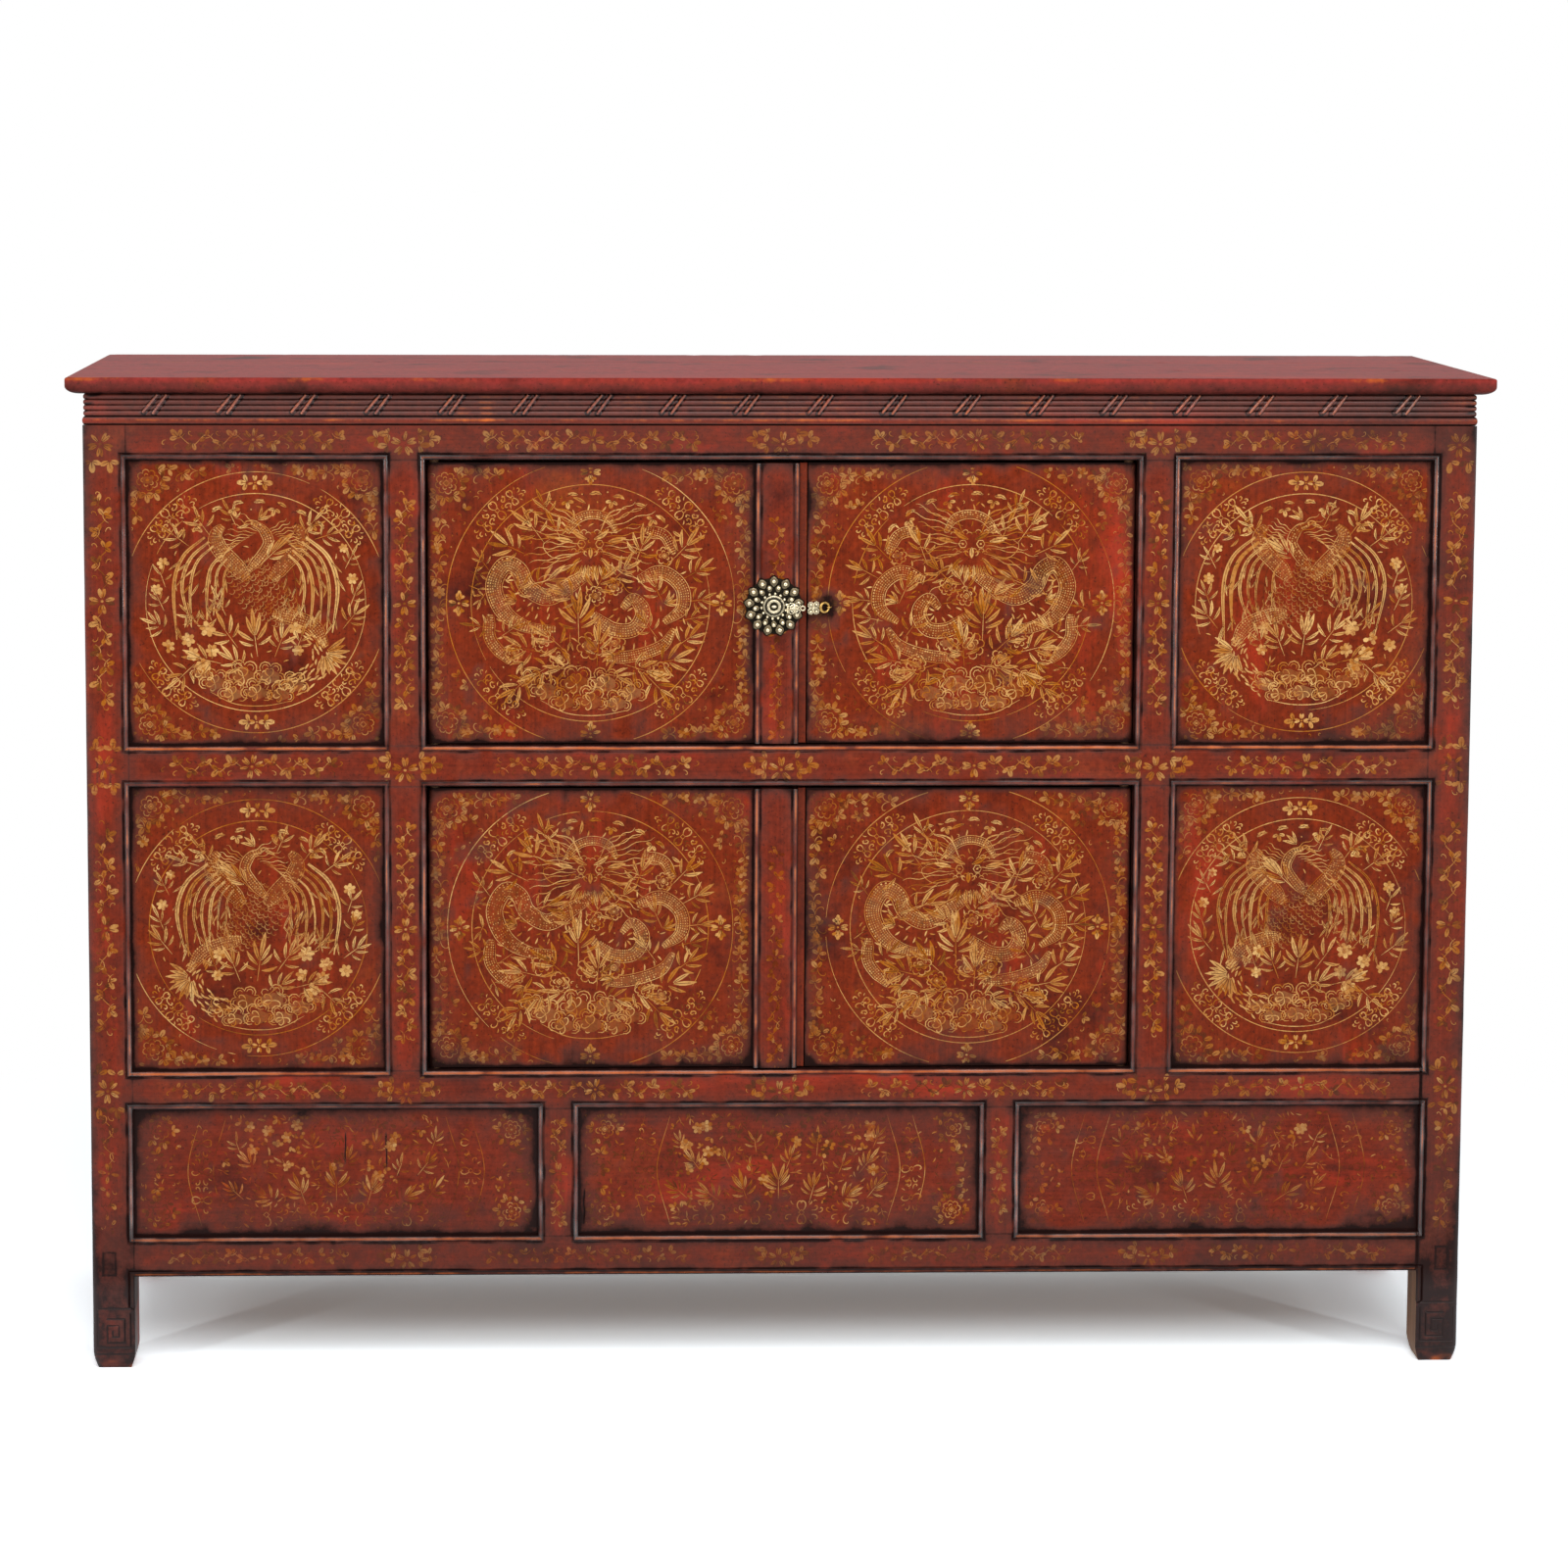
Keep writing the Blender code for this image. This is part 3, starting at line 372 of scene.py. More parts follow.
def bead_marks(run, x, z, facing=0.0):
    """Rubbed orange with painted highlight, dark marks with painted shade, and polish of a bead; facing is 1 where it
    faces up, -1 down, 0 across, -2 the floor.
    """
    patch = waver(x, z, 0.05, 31) * 0.5 + waver(x, z, 0.012, 32) * 0.6
    bead = np.exp(-(((run - 3.0) / 2.4) ** 4))
    crest = np.exp(-(((run - 2.6) / (1.2 + 0.6 * np.maximum(facing, 0))) ** 2))
    # Painted highlight: the crest is rubbed lighter orange the more the bead faces up
    lit = np.interp(facing, (-2, -1, 0, 1), (0.7, 0.14, 0.26, 1.05))
    wear = crest * clamp(lit + 0.9 * patch)
    # Painted shade in the quirk, at the opening's edge, on the bead's flanks and under beads that face down, with some
    # smoke, fading out onto the face beyond
    grime = np.exp(-(((run - 6.4) / 1.1) ** 2)) * clamp(0.5 + 0.8 * patch) + np.exp(-run / 0.7)
    grime += bead * (1 - crest) * 0.6 + 0.12 * bead + bead * np.where(facing < 0, 0.12, 0.0)
    grime += np.where(run > 6.4, 0.36 * np.exp(-(run - 6.4) / 6) * clamp(0.75 + 1.2 * patch), 0.0)
    return wear, grime, bead * np.interp(facing, (-2, -1, 0, 1), (0.0, 0.3, 1.0, 0.5)) * clamp(0.6 + patch)


def arris_round(edge, radius):
    """Depth in mm where an edge is rounded off, edge mm in from it."""
    inward = np.clip(radius - edge, 0.0, radius)
    return radius - np.sqrt(np.maximum(radius ** 2 - inward ** 2, 0.0))


def box_distance(x, z, box):
    """Square distance in mm outside a box, so that what follows it is mitred at the corners."""
    x0, x1, z0, z1 = box
    return np.maximum(np.maximum(x0 - x, x - x1), np.maximum(z0 - z, z - z1)) / MM


def line_distance(x, z, start, end):
    """Distance in mm from a straight scribed line."""
    along_x, along_z = end[0] - start[0], end[1] - start[1]
    span = max(along_x ** 2 + along_z ** 2, 1e-12)
    place = clamp(((x - start[0]) * along_x + (z - start[1]) * along_z) / span)
    return np.hypot(x - start[0] - place * along_x, z - start[1] - place * along_z) / MM


def frame_seams():
    """Lines where the front's members meet, and how far each joint has opened."""
    seams = []
    for z0, z1 in RAIL_Z.values():
        for x in (-POST_IN, POST_IN):
            seams.append(((x, z0), (x, z1), 1.0 if x > 0 and z1 < 0.34 else 0.0))
    for row, (near, far) in STILE_X.items():
        for z in ROW_Z[row]:
            for side in (-1, 1):
                seams.append(((side * near, z), (side * far, z), 0.0))
    return seams


def opening_run(x, z):
    """Mm out from the nearest opening, and which way the bead there faces."""
    run = np.full(x.shape, 1000.0)
    facing = np.zeros(x.shape)
    for box in (*OPENINGS.values(), LEG_OPENING):
        out = box_distance(x, z, box)
        if box is LEG_OPENING:
            out = out + np.where(z < 0.064, 8 * clamp((0.064 - z) / 0.003), 0.0)
            way = np.full(x.shape, -2.0)
        else:
            way = np.where(out <= (box[2] - z) / MM + 1e-6, 1.0, np.where(out <= (z - box[3]) / MM + 1e-6, -1.0, 0.0))
        facing = np.where(out < run, way, facing)
        run = np.minimum(run, out)
    return np.maximum(run, 0.0), facing


def frame_face(x, z):
    """Relief of the whole front frame: beads, seams, rounded outer edges and a hand-planed face."""
    wood = bpy.context.scene.cabinet_wood
    far, facing = opening_run(x, z)
    drift = 0.25 * waver(x, z, 0.04, 11) + 0.12 * waver(x, z, 0.009, 12)
    run = far + drift * clamp(far / 1.5)
    depth = bead_depth(run)
    wear, grime, polish = bead_marks(run, x, z, facing)
    plain = clamp((run - 7.5) / 6)
    depth += plain * (0.1 + 0.1 * waver(x, z, 0.07, 13) + 0.04 * waver(x, z, 0.013, 14))
    depth += 2.0 * clamp(waver(x, z, 0.006, 15) - 0.78) * plain
    for start, end, gap in frame_seams():
        edge = line_distance(x, z, start, end)
        depth += (0.15 + 1.5 * gap) * np.exp(-((edge / (0.4 + 0.7 * gap)) ** 2)) * np.maximum(clamp((run - 6) / 2), gap)
        grime += (0.25 + gap) * np.exp(-((edge / (0.9 + 0.5 * gap)) ** 2)) + 0.15 * np.exp(-((edge / 9) ** 2))
    edge = (POST_OUT - np.abs(x)) / MM
    radius = wood.arris / MM * (1 + 0.45 * waver(x, z, 0.03, 16))
    depth += arris_round(edge, radius)
    wear += 0.3 * np.exp(-edge / 1.6) * (1 + waver(x, z, 0.02, 17))
    # Darker along the posts' outer edges
    grime += 0.75 * np.exp(-edge / 6) * clamp(0.8 + waver(x, z, 0.09, 18) + 0.4 * waver(x, z, 0.02, 19))
    polish += 0.5 * np.exp(-edge / 2)
    # Darker towards the right end
    grime += 0.06 + 0.1 * clamp((x - 0.5) / 0.2)
    # Painted shade: darker towards the bottom of the front, and under the frieze at its top
    grime += 0.24 * clamp((0.36 - z) / 0.28) + 0.24 * clamp((z - 0.92) / 0.05)
    # The smoke and painted shade end at the corner, and the post's side starts clean
    kept = clamp(edge / 0.3)
    return depth, wear * kept, grime * kept, polish * kept


def foot_lines(side):
    """Scribed lines and the square fret on a front foot, as pairs of places."""
    middle = side * (POST_IN + POST_OUT) / 2
    paths = [
        [(-17, 63), (17, 63)],
        [(-17, 58), (-17, 22), (17, 22), (17, 58)],
        [(-7, 52), (11, 52), (11, 27), (-7, 27), (-7, 45), (5, 45), (5, 33), (-1.5, 33), (-1.5, 39)],
        [(-22, 15), (22, 15)],
    ]
    lines = []
    for path in paths:
        places = [(middle - side * x * MM, z * MM) for x, z in path]
        lines += list(zip(places[:-1], places[1:]))
    return lines


def post_face(side):
    """The front frame's relief with a post's through tenons and the carving on its foot."""
    lines = foot_lines(side)
    tenons = []
    for row in ("bottom", "middle"):
        low = RAIL_Z[row][0] + 0.002
        span = sorted((side * 0.681, side * 0.694))
        tenons.append((*span, low, low + 0.024))

    def face(x, z):
        depth, wear, grime, polish = frame_face(x, z)
        for box in tenons:
            edge = np.abs(box_distance(x, z, box))
            rough = 1 + 0.5 * waver(x, z, 0.004, 21)
            depth += 0.5 * np.exp(-((edge / 0.7) ** 2)) * rough
            inside = box_distance(x, z, box) < -0.7
            depth += np.where(inside, 0.35 * waver(x, z, 0.003, 22), 0.0)
            grime += 0.38 * np.exp(-((edge / 1.0) ** 2)) * rough + np.where(inside, 0.12, 0.0)
        low = z < 0.07
        if low.any():
            cut = np.zeros(x.shape)
            for start, end in lines:
                cut = np.maximum(cut, np.exp(-((line_distance(x, z, start, end) / 0.75) ** 2)))
            depth += 0.9 * cut
            # The cut lines are darkened as dirt and painted shade in the grooves
            grime += 0.55 * cut
        # Painted shade on the foot, darker towards the floor
        grime += 0.4 * clamp((0.17 - z) / 0.1)
        toe = clamp((0.012 - z) / 0.006) * clamp(0.5 + waver(x, z, 0.012, 23))
        return depth, wear + 0.7 * toe, grime * (1 - 0.5 * toe), polish + 0.12 * clamp((0.1 - z) / 0.02)

    return face


def draw_in_foot(low_x, high_x, low_y, high_y, taper=0.0045, height=0.018):
    """Moves a post's points in towards its middle below the given height."""
    middle_x, middle_y = (low_x + high_x) / 2, (low_y + high_y) / 2

    def shape(points):
        inset = taper * np.clip(1 - points[:, 2] / height, 0, 1) ** 1.6
        points[:, 0] -= np.clip((points[:, 0] - middle_x) / (high_x - middle_x), -1, 1) * inset
        points[:, 1] -= np.clip((points[:, 1] - middle_y) / (high_y - middle_y), -1, 1) * inset

    return shape


def soft_face(box, radius=1.2, reach=0.0, cloud=1):
    """A plain face with rubbed edges, and dirt with painted shade creeping in from them where reach is set."""

    def face(x, z):
        edge = np.maximum(-box_distance(x, z, box), 0.0)
        depth = arris_round(edge, radius * (1 + 0.3 * waver(x, z, 0.03, 40 + cloud)))
        depth += 0.08 * waver(x, z, 0.06, 41 + cloud)
        wear = 0.4 * np.exp(-edge / 1.3) * clamp(0.6 + waver(x, z, 0.03, 42 + cloud))
        grime = np.zeros(x.shape)
        if reach:
            patch = waver(x, z, 0.06, 43 + cloud) * 0.55 + waver(x, z, 0.014, 44 + cloud) * 0.35
            grime += clamp(1.15 * np.exp(-edge / (reach * (1 + 0.7 * patch))) + 0.1 * patch)
            wear *= 0.0
        return depth, wear, grime, np.zeros(x.shape)

    return face


def rounded_inset(x, z, box, radius):
    """Mm in from the edge of a box whose corners are rounded."""
    out_x = (np.abs(x - (box[0] + box[1]) / 2) - (box[1] - box[0]) / 2) / MM + radius
    out_z = (np.abs(z - (box[2] + box[3]) / 2) - (box[3] - box[2]) / 2) / MM + radius
    return radius - np.hypot(np.maximum(out_x, 0), np.maximum(out_z, 0)) - np.minimum(np.maximum(out_x, out_z), 0)


def panel_face(box, seed, cracks=(), stain=None, reach=3.0):
    """A painted panel: smoke and painted shade along its edges and round its corners, painted shade low down, splits
    along the grain and a rubbed stain.
    """

    def face(x, z):
        edge = np.maximum(-box_distance(x, z, box), 0.0)
        inset = rounded_inset(x, z, box, 14 + 2.5 * reach)
        patch = waver(x, z, 0.07, seed) * 0.5 + waver(x, z, 0.016, seed + 1) * 0.5
        depth = 0.03 * waver(x, z * 0.2, 0.03, seed + 2)
        # Painted shade: darker low down, and a narrow painted shadow of the bead along the edge
        grime = 0.03 + 0.05 * clamp((0.62 - z) / 0.35) + 0.9 * np.exp(-edge / 1.6)
        # Darker round the corners and along the bottom edge: smoke with painted shade
        grime += (0.28 + 0.015 * reach) * np.exp(-np.maximum(inset, 0) / (reach * (1.2 + patch)))
        grime += 0.34 * np.exp(-np.maximum(inset, 0) / 20) * clamp(0.6 + 1.5 * patch)
        grime += 0.22 * clamp((box[2] + 0.045 - z) / 0.045) * clamp(0.2 + 1.6 * patch)
        grime += 0.5 * clamp(waver(x, z, 0.011, seed + 3) + 0.5 * waver(x, z, 0.045, seed + 4) - 0.62)
        for place, bottom, top in cracks:
            line = line_distance(x + 0.0006 * waver(x, z, 0.01, 5), z, (place, bottom), (place, top))
            depth += 0.8 * np.exp(-((line / 0.55) ** 2))
            grime += np.exp(-((line / 0.7) ** 2))
        if stain:
            away = np.hypot(x - stain[0], z - stain[1]) / MM
            grime += 0.95 * np.exp(-((away / stain[2]) ** 3)) * clamp(0.9 + patch)
        return depth, np.zeros(x.shape), grime, np.zeros(x.shape)

    return face


PANEL_FACES = {}


def door_rect(row, name):
    """The part of a door's front that shows when it is shut."""
    low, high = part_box(f"meeting_stile_{row}")[0][2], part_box(f"meeting_stile_{row}")[1][2]
    far = STILE_X[row][0]
    return (-far, MEETING_X[0], low, high) if name == "left" else (SEAM_X, far, low, high)


def local_box(node, turn, trim_x=None):
    """A node's box as across, plane, thickness and up for a board on that side of the cabinet."""
    low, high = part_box(node)
    if turn == 0:
        across, plane, thickness = (low[0], high[0]), low[1], high[1] - low[1]
    elif turn == -1:
        across, plane, thickness = (-high[1], -low[1]), low[0], high[0] - low[0]
    elif turn == 1:
        across, plane, thickness = (low[1], high[1]), -high[0], high[0] - low[0]
    else:
        across, plane, thickness = (-high[0], -low[0]), -high[1], high[1] - low[1]
    if trim_x:
        across = (max(across[0], -trim_x), min(across[1], trim_x))
    return across, plane, thickness, (low[2], high[2])


def turned_shell(profile, centre, steps=40, grime=None):
    """A closed shell turned about an axis that faces the front; profile is radius and height in mm."""
    points, faces, marks = [], [], []
    rings = []
    for place, (radius, height) in enumerate(profile):
        mark = grime[place] if grime else 0.0
        if radius == 0:
            rings.append([len(points)])
            points.append((centre[0], centre[1] - height * MM, centre[2]))
            marks.append(mark)
            continue
        ring = []
        for step in range(steps):
            angle = TAU * step / steps
            ring.append(len(points))
            points.append(
                (
                    centre[0] + radius * MM * math.cos(angle),
                    centre[1] - height * MM,
                    centre[2] + radius * MM * math.sin(angle),
                )
            )
            marks.append(mark)
        rings.append(ring)
    for inner, outer in zip(rings[:-1], rings[1:]):
        for step in range(steps):
            after = (step + 1) % steps
            if len(inner) == 1:
                faces.append([inner[0], outer[step], outer[after]])
            elif len(outer) == 1:
                faces.append([inner[step], outer[0], inner[after]])
            else:
                faces.append([inner[step], outer[step], outer[after], inner[after]])
    if len(rings[-1]) > 1:
        faces.append(rings[-1][::-1])
    if len(rings[0]) > 1:
        faces.append(rings[0])
    return {"points": np.array(points), "faces": faces, "grime": np.array(marks)}


def ball_shell(centre, radius, squash=1.0, grime=0.0):
    """A cast ball, flattened towards the plate where squash is below one."""
    bm = bmesh.new()
    bmesh.ops.create_icosphere(bm, subdivisions=2, radius=radius)
    points = [
        (centre[0] + v.co.x, centre[1] + v.co.y * squash, centre[2] + v.co.z) for v in bm.verts
    ]
    faces = [[v.index for v in face.verts] for face in bm.faces]
    low = np.array([v.co.y / radius for v in bm.verts])
    bm.free()
    marks = np.clip(grime + 0.9 * clamp((low - 0.1) / 0.8), 0, 1)
    return {"points": np.array(points), "faces": faces, "grime": marks}


# Materials


def lacquer_nodes(tree, body, bright, grain, gloss, gilt):
    """Worn lacquer, clouded, streaked, rubbed, specked and sooty, with painted highlight on crests and painted shade in
    grooves, corners and low down, and rubbed gold on it where gilt is set.
    """
    finish = bpy.context.scene.cabinet_finish
    place = add_node(tree, "ShaderNodeTexCoord").outputs["Object"]
    field = {}
    for name, (size, detail, rough) in FIELDS.items():
        feeds = {"Vector": place, "Scale": 1 / size, "Detail": detail, "Roughness": rough, "W": 3.7 * len(field)}
        if name == "rubbed":
            longer = tuple(0.3 if step == min(grain) else 1.0 for step in grain)
            feeds["Vector"] = add_node(tree, "ShaderNodeMapping", {"Vector": place, "Scale": longer}).outputs["Vector"]
        field[name] = add_node(tree, "ShaderNodeTexNoise", feeds, noise_dimensions="4D").outputs["Fac"]
    mark = {}
    for name in (*MARKS, "pale", "cover"):
        mark[name] = add_node(tree, "ShaderNodeAttribute", attribute_name=name).outputs["Fac"]
    tint = add_node(
        tree,
        "ShaderNodeValToRGB",
        {"Fac": field["cloud"]},
        ramp=[(0.30, finish.deep), (0.45, body), (0.58, body), (0.74, bright)],
    ).outputs["Color"]
    # Brush marks and grain run along the board
    stretched = add_node(tree, "ShaderNodeMapping", {"Vector": place, "Scale": grain}).outputs["Vector"]
    streak = add_node(tree, "ShaderNodeTexNoise", {"Vector": stretched, "Scale": 1.0, "Detail": 3.0}).outputs["Fac"]
    for value, low, high in ((streak, 0.84, 1.14), (field["mottle"], 0.66, 1.28)):
        feeds = {"Value": value, "From Min": 0.3, "From Max": 0.7, "To Min": low, "To Max": high}
        tone = add_node(tree, "ShaderNodeMapRange", feeds).outputs["Result"]
        tint = add_node(
            tree, "ShaderNodeMix", {0: 1.0, 6: tint, 7: tone}, data_type="RGBA", blend_type="MULTIPLY"
        ).outputs[2]
    # Vermilion rubbed through, smoky smudges, pin-head specks
    for name, low, high, most, colour in (
        ("rubbed", 0.55, 0.70, 0.75, finish.vermilion),
        ("smudge", 0.56, 0.74, 0.6, finish.deep),
        ("fine", 0.60, 0.71, 0.6, finish.soot_and_shade),
    ):
        feeds = {"Value": field[name], "From Min": low, "From Max": high, "To Max": most}
        part = add_node(tree, "ShaderNodeMapRange", feeds).outputs["Result"]
        tint = add_node(tree, "ShaderNodeMix", {0: part, 6: tint, 7: (*colour, 1.0)}, data_type="RGBA").outputs[2]
    # Rubbed orange where edges are rubbed, and as painted highlight on crests that face up
    orange_share = add_node(tree, "ShaderNodeMath", {0: mark["wear"], 1: field["chips"]}, operation="ADD").outputs[0]
    orange_share = add_node(
        tree, "ShaderNodeMapRange", {"Value": orange_share, "From Min": 0.80, "From Max": 1.25, "To Max": 0.95}
    ).outputs["Result"]
    tint = add_node(tree, "ShaderNodeMix", {0: orange_share, 6: tint, 7: (*finish.bare, 1.0)}, data_type="RGBA").outputs[2]
    if gilt:
        shade = add_node(
            tree, "ShaderNodeMath", {0: field["patchy"], 1: 0.9, 2: mark["pale"]}, operation="MULTIPLY_ADD"
        ).outputs[0]
        shade = add_node(tree, "ShaderNodeMapRange", {"Value": shade, "From Max": 1.4}).outputs["Result"]
        gold = add_node(
            tree,
            "ShaderNodeValToRGB",
            {"Fac": shade},
            ramp=[(0.06, finish.umber), (0.28, finish.gold), (1.0, finish.pale_gold)],
        ).outputs["Color"]
        # Gold flaked away in crumbs 3 mm across, most of all in patches
        flakes = add_node(
            tree, "ShaderNodeTexNoise", {"Vector": place, "Scale": 1 / 0.0032, "Detail": 5.0, "Roughness": 0.7}
        ).outputs["Fac"]
        lost = add_node(
            tree, "ShaderNodeMath", {0: field["rubbed"], 1: 0.6, 2: flakes}, operation="MULTIPLY_ADD"
        ).outputs[0]
        kept = add_node(
            tree,
            "ShaderNodeMapRange",
            {"Value": lost, "From Min": 0.78, "From Max": 1.04, "To Min": 1.0, "To Max": 0.12},
        ).outputs["Result"]
        part = add_node(tree, "ShaderNodeMath", {0: kept, 1: mark["cover"]}, operation="MULTIPLY").outputs[0]
        tint = add_node(tree, "ShaderNodeMix", {0: part, 6: tint, 7: gold}, data_type="RGBA").outputs[2]
    # Smoke and painted shade from the dark marks: a thin brown veil first, then black
    patch = add_node(
        tree,
        "ShaderNodeMapRange",
        {"Value": field["patchy"], "From Min": 0.25, "From Max": 0.75, "To Min": 0.5, "To Max": 1.4},
    ).outputs["Result"]
    soot_and_shade = add_node(
        tree, "ShaderNodeMath", {0: mark["grime"], 1: patch}, operation="MULTIPLY", use_clamp=True
    ).outputs[0]
    for low, high, most, colour in ((0.0, 0.45, 0.42, finish.haze_and_shade), (0.15, 0.85, 0.96, finish.soot_and_shade)):
        feeds = {"Value": soot_and_shade, "From Min": low, "From Max": high, "To Max": most}
        part = add_node(tree, "ShaderNodeMapRange", feeds).outputs["Result"]
        tint = add_node(tree, "ShaderNodeMix", {0: part, 6: tint, 7: (*colour, 1.0)}, data_type="RGBA").outputs[2]
    rough = add_node(
        tree, "ShaderNodeMapRange", {"Value": mark["polish"], "To Min": 0.42, "To Max": 0.16}
    ).outputs["Result"]
    gloss = add_node(
        tree, "ShaderNodeMapRange", {"Value": mark["polish"], "To Min": gloss, "To Max": gloss + 0.85}
    ).outputs["Result"]
    height = add_node(tree, "ShaderNodeMath", {0: field["fine"], 1: 0.6, 2: streak}, operation="MULTIPLY_ADD").outputs[0]
    return {"Base Color": tint, "Roughness": rough, "Specular IOR Level": gloss}, height


def finish_material(material, feeds, height, lift):
    """Feeds a surface's values and sockets to its shader, with its height as bumps of the given lift."""
    tree = material.node_tree
    shader = tree.nodes["Principled BSDF"]
    bump = add_node(tree, "ShaderNodeBump", {"Height": height, "Strength": 0.5, "Distance": lift})
    for label, value in {**feeds, "Normal": bump.outputs["Normal"]}.items():
        if isinstance(value, bpy.types.NodeSocket):
            tree.links.new(value, shader.inputs[label])
        else:
            shader.inputs[label].default_value = value


def new_material(name):
    material = bpy.data.materials.new(name)
    material.use_nodes = True
    return material


def make_materials():
    """Every finish on the cabinet, kept by name."""
    finish = bpy.context.scene.cabinet_finish
    made = {}
    level, upright = (1 / 0.11, 1 / 0.0025, 1 / 0.0025), (1 / 0.0025, 1 / 0.0025, 1 / 0.11)
    # Oil lacquer over pine: a brown-red film with a low gloss, rubbed orange on edges with painted highlight on crests
    # that face up, sooty and painted shade in corners and grooves
    for name, body, bright, grain, gloss in (
        ("red_lacquer_level", finish.body, finish.bright, level, 0.08),
        ("red_lacquer_upright", finish.body, finish.bright, upright, 0.08),
        ("painted_panel_lacquer", finish.panel, finish.panel_bright, upright, 0.05),
        ("base_panel_lacquer", finish.body, finish.bright, level, 0.08),
        ("faded_top_lacquer", finish.top, finish.bright, (1 / 0.5, 1 / 0.02, 1 / 0.006), 0.02),
        # Gold powder in lacquer: warm ochre with pale strokes, broken where the red shows through
        ("worn_gold_paint", finish.panel, finish.panel_bright, upright, 0.05),
    ):
        made[name] = new_material(name)
        nodes = lacquer_nodes(made[name].node_tree, body, bright, grain, gloss, name == "worn_gold_paint")
        finish_material(made[name], *nodes, 0.00025)
    # Aged softwood, unpainted: brown with dark grain lines 4 mm apart along the board
    for name, grain in (
        ("old_bare_wood", (1 / 0.25, 1 / 0.004, 1 / 0.004)),
        ("old_bare_upright", (1 / 0.004, 1 / 0.004, 1 / 0.25)),
    ):
        made[name] = new_material(name)
        tree = made[name].node_tree
        place = add_node(tree, "ShaderNodeTexCoord").outputs["Object"]
        stretched = add_node(tree, "ShaderNodeMapping", {"Vector": place, "Scale": grain}).outputs["Vector"]
        lines = add_node(
            tree, "ShaderNodeTexNoise", {"Vector": stretched, "Scale": 1.0, "Detail": 4.0, "Distortion": 0.6}
        ).outputs["Fac"]
        blotch = add_node(tree, "ShaderNodeTexNoise", {"Vector": place, "Scale": 1 / 0.12, "Detail": 4.0}).outputs["Fac"]
        both = add_node(tree, "ShaderNodeMath", {0: blotch, 1: 0.5, 2: lines}, operation="MULTIPLY_ADD").outputs[0]
        light = tuple(channel * 1.25 for channel in finish.wood)
        tint = add_node(
            tree, "ShaderNodeValToRGB", {"Fac": both}, ramp=[(0.5, finish.wood_dark), (0.72, finish.wood), (0.95, light)]
        ).outputs["Color"]
        rough = add_node(tree, "ShaderNodeMapRange", {"Value": lines, "To Min": 0.85, "To Max": 0.6}).outputs["Result"]
        finish_material(made[name], {"Base Color": tint, "Roughness": rough}, lines, 0.0006)
    # Cast brass, handled for years: silvery gold on the high places, nearly black in the hollows
    for name, colour in (
        ("old_brass", finish.brass),
        ("polished_brass", finish.polished),
        ("yellow_brass", finish.gold_ring),
    ):
        made[name] = new_material(name)
        tree = made[name].node_tree
        place = add_node(tree, "ShaderNodeTexCoord").outputs["Object"]
        grime = add_node(tree, "ShaderNodeAttribute", attribute_name="grime").outputs["Fac"]
        pits = add_node(tree, "ShaderNodeTexNoise", {"Vector": place, "Scale": 1 / 0.0016, "Detail": 4.0}).outputs["Fac"]
        dark = add_node(tree, "ShaderNodeMath", {0: pits, 1: 0.7, 2: grime}, operation="MULTIPLY_ADD").outputs[0]
        dark = add_node(
            tree, "ShaderNodeMapRange", {"Value": dark, "From Min": 0.32, "From Max": 0.85, "To Max": 0.97}
        ).outputs["Result"]
        tint = add_node(
            tree, "ShaderNodeMix", {0: dark, 6: (*colour, 1.0), 7: (*finish.brass_dark, 1.0)}, data_type="RGBA"
        ).outputs[2]
        rough = add_node(tree, "ShaderNodeMapRange", {"Value": dark, "To Min": 0.22, "To Max": 0.6}).outputs["Result"]
        finish_material(made[name], {"Base Color": tint, "Roughness": rough, "Metallic": 1.0}, pits, 0.0002)
    return made


MATERIALS = {}


# Geometry Nodes trees


def new_tree(name, sockets):
    """An empty tree with a geometry input and output and named inputs."""
    tree = bpy.data.node_groups.new(name, "GeometryNodeTree")
    tree.interface.new_socket("Geometry", in_out="INPUT", socket_type="NodeSocketGeometry")
    for label, kind in sockets:
        tree.interface.new_socket(label, in_out="INPUT", socket_type=kind)
    tree.interface.new_socket("Geometry", in_out="OUTPUT", socket_type="NodeSocketGeometry")
    return tree, add_node(tree, "NodeGroupInput").outputs


def end_tree(tree, geometry, material):
    real = add_node(tree, "GeometryNodeRealizeInstances", {"Geometry": geometry}).outputs[0]
    coated = add_node(tree, "GeometryNodeSetMaterial", {"Geometry": real, "Material": material}).outputs[0]
    add_node(tree, "NodeGroupOutput", {"Geometry": coated})
    return tree


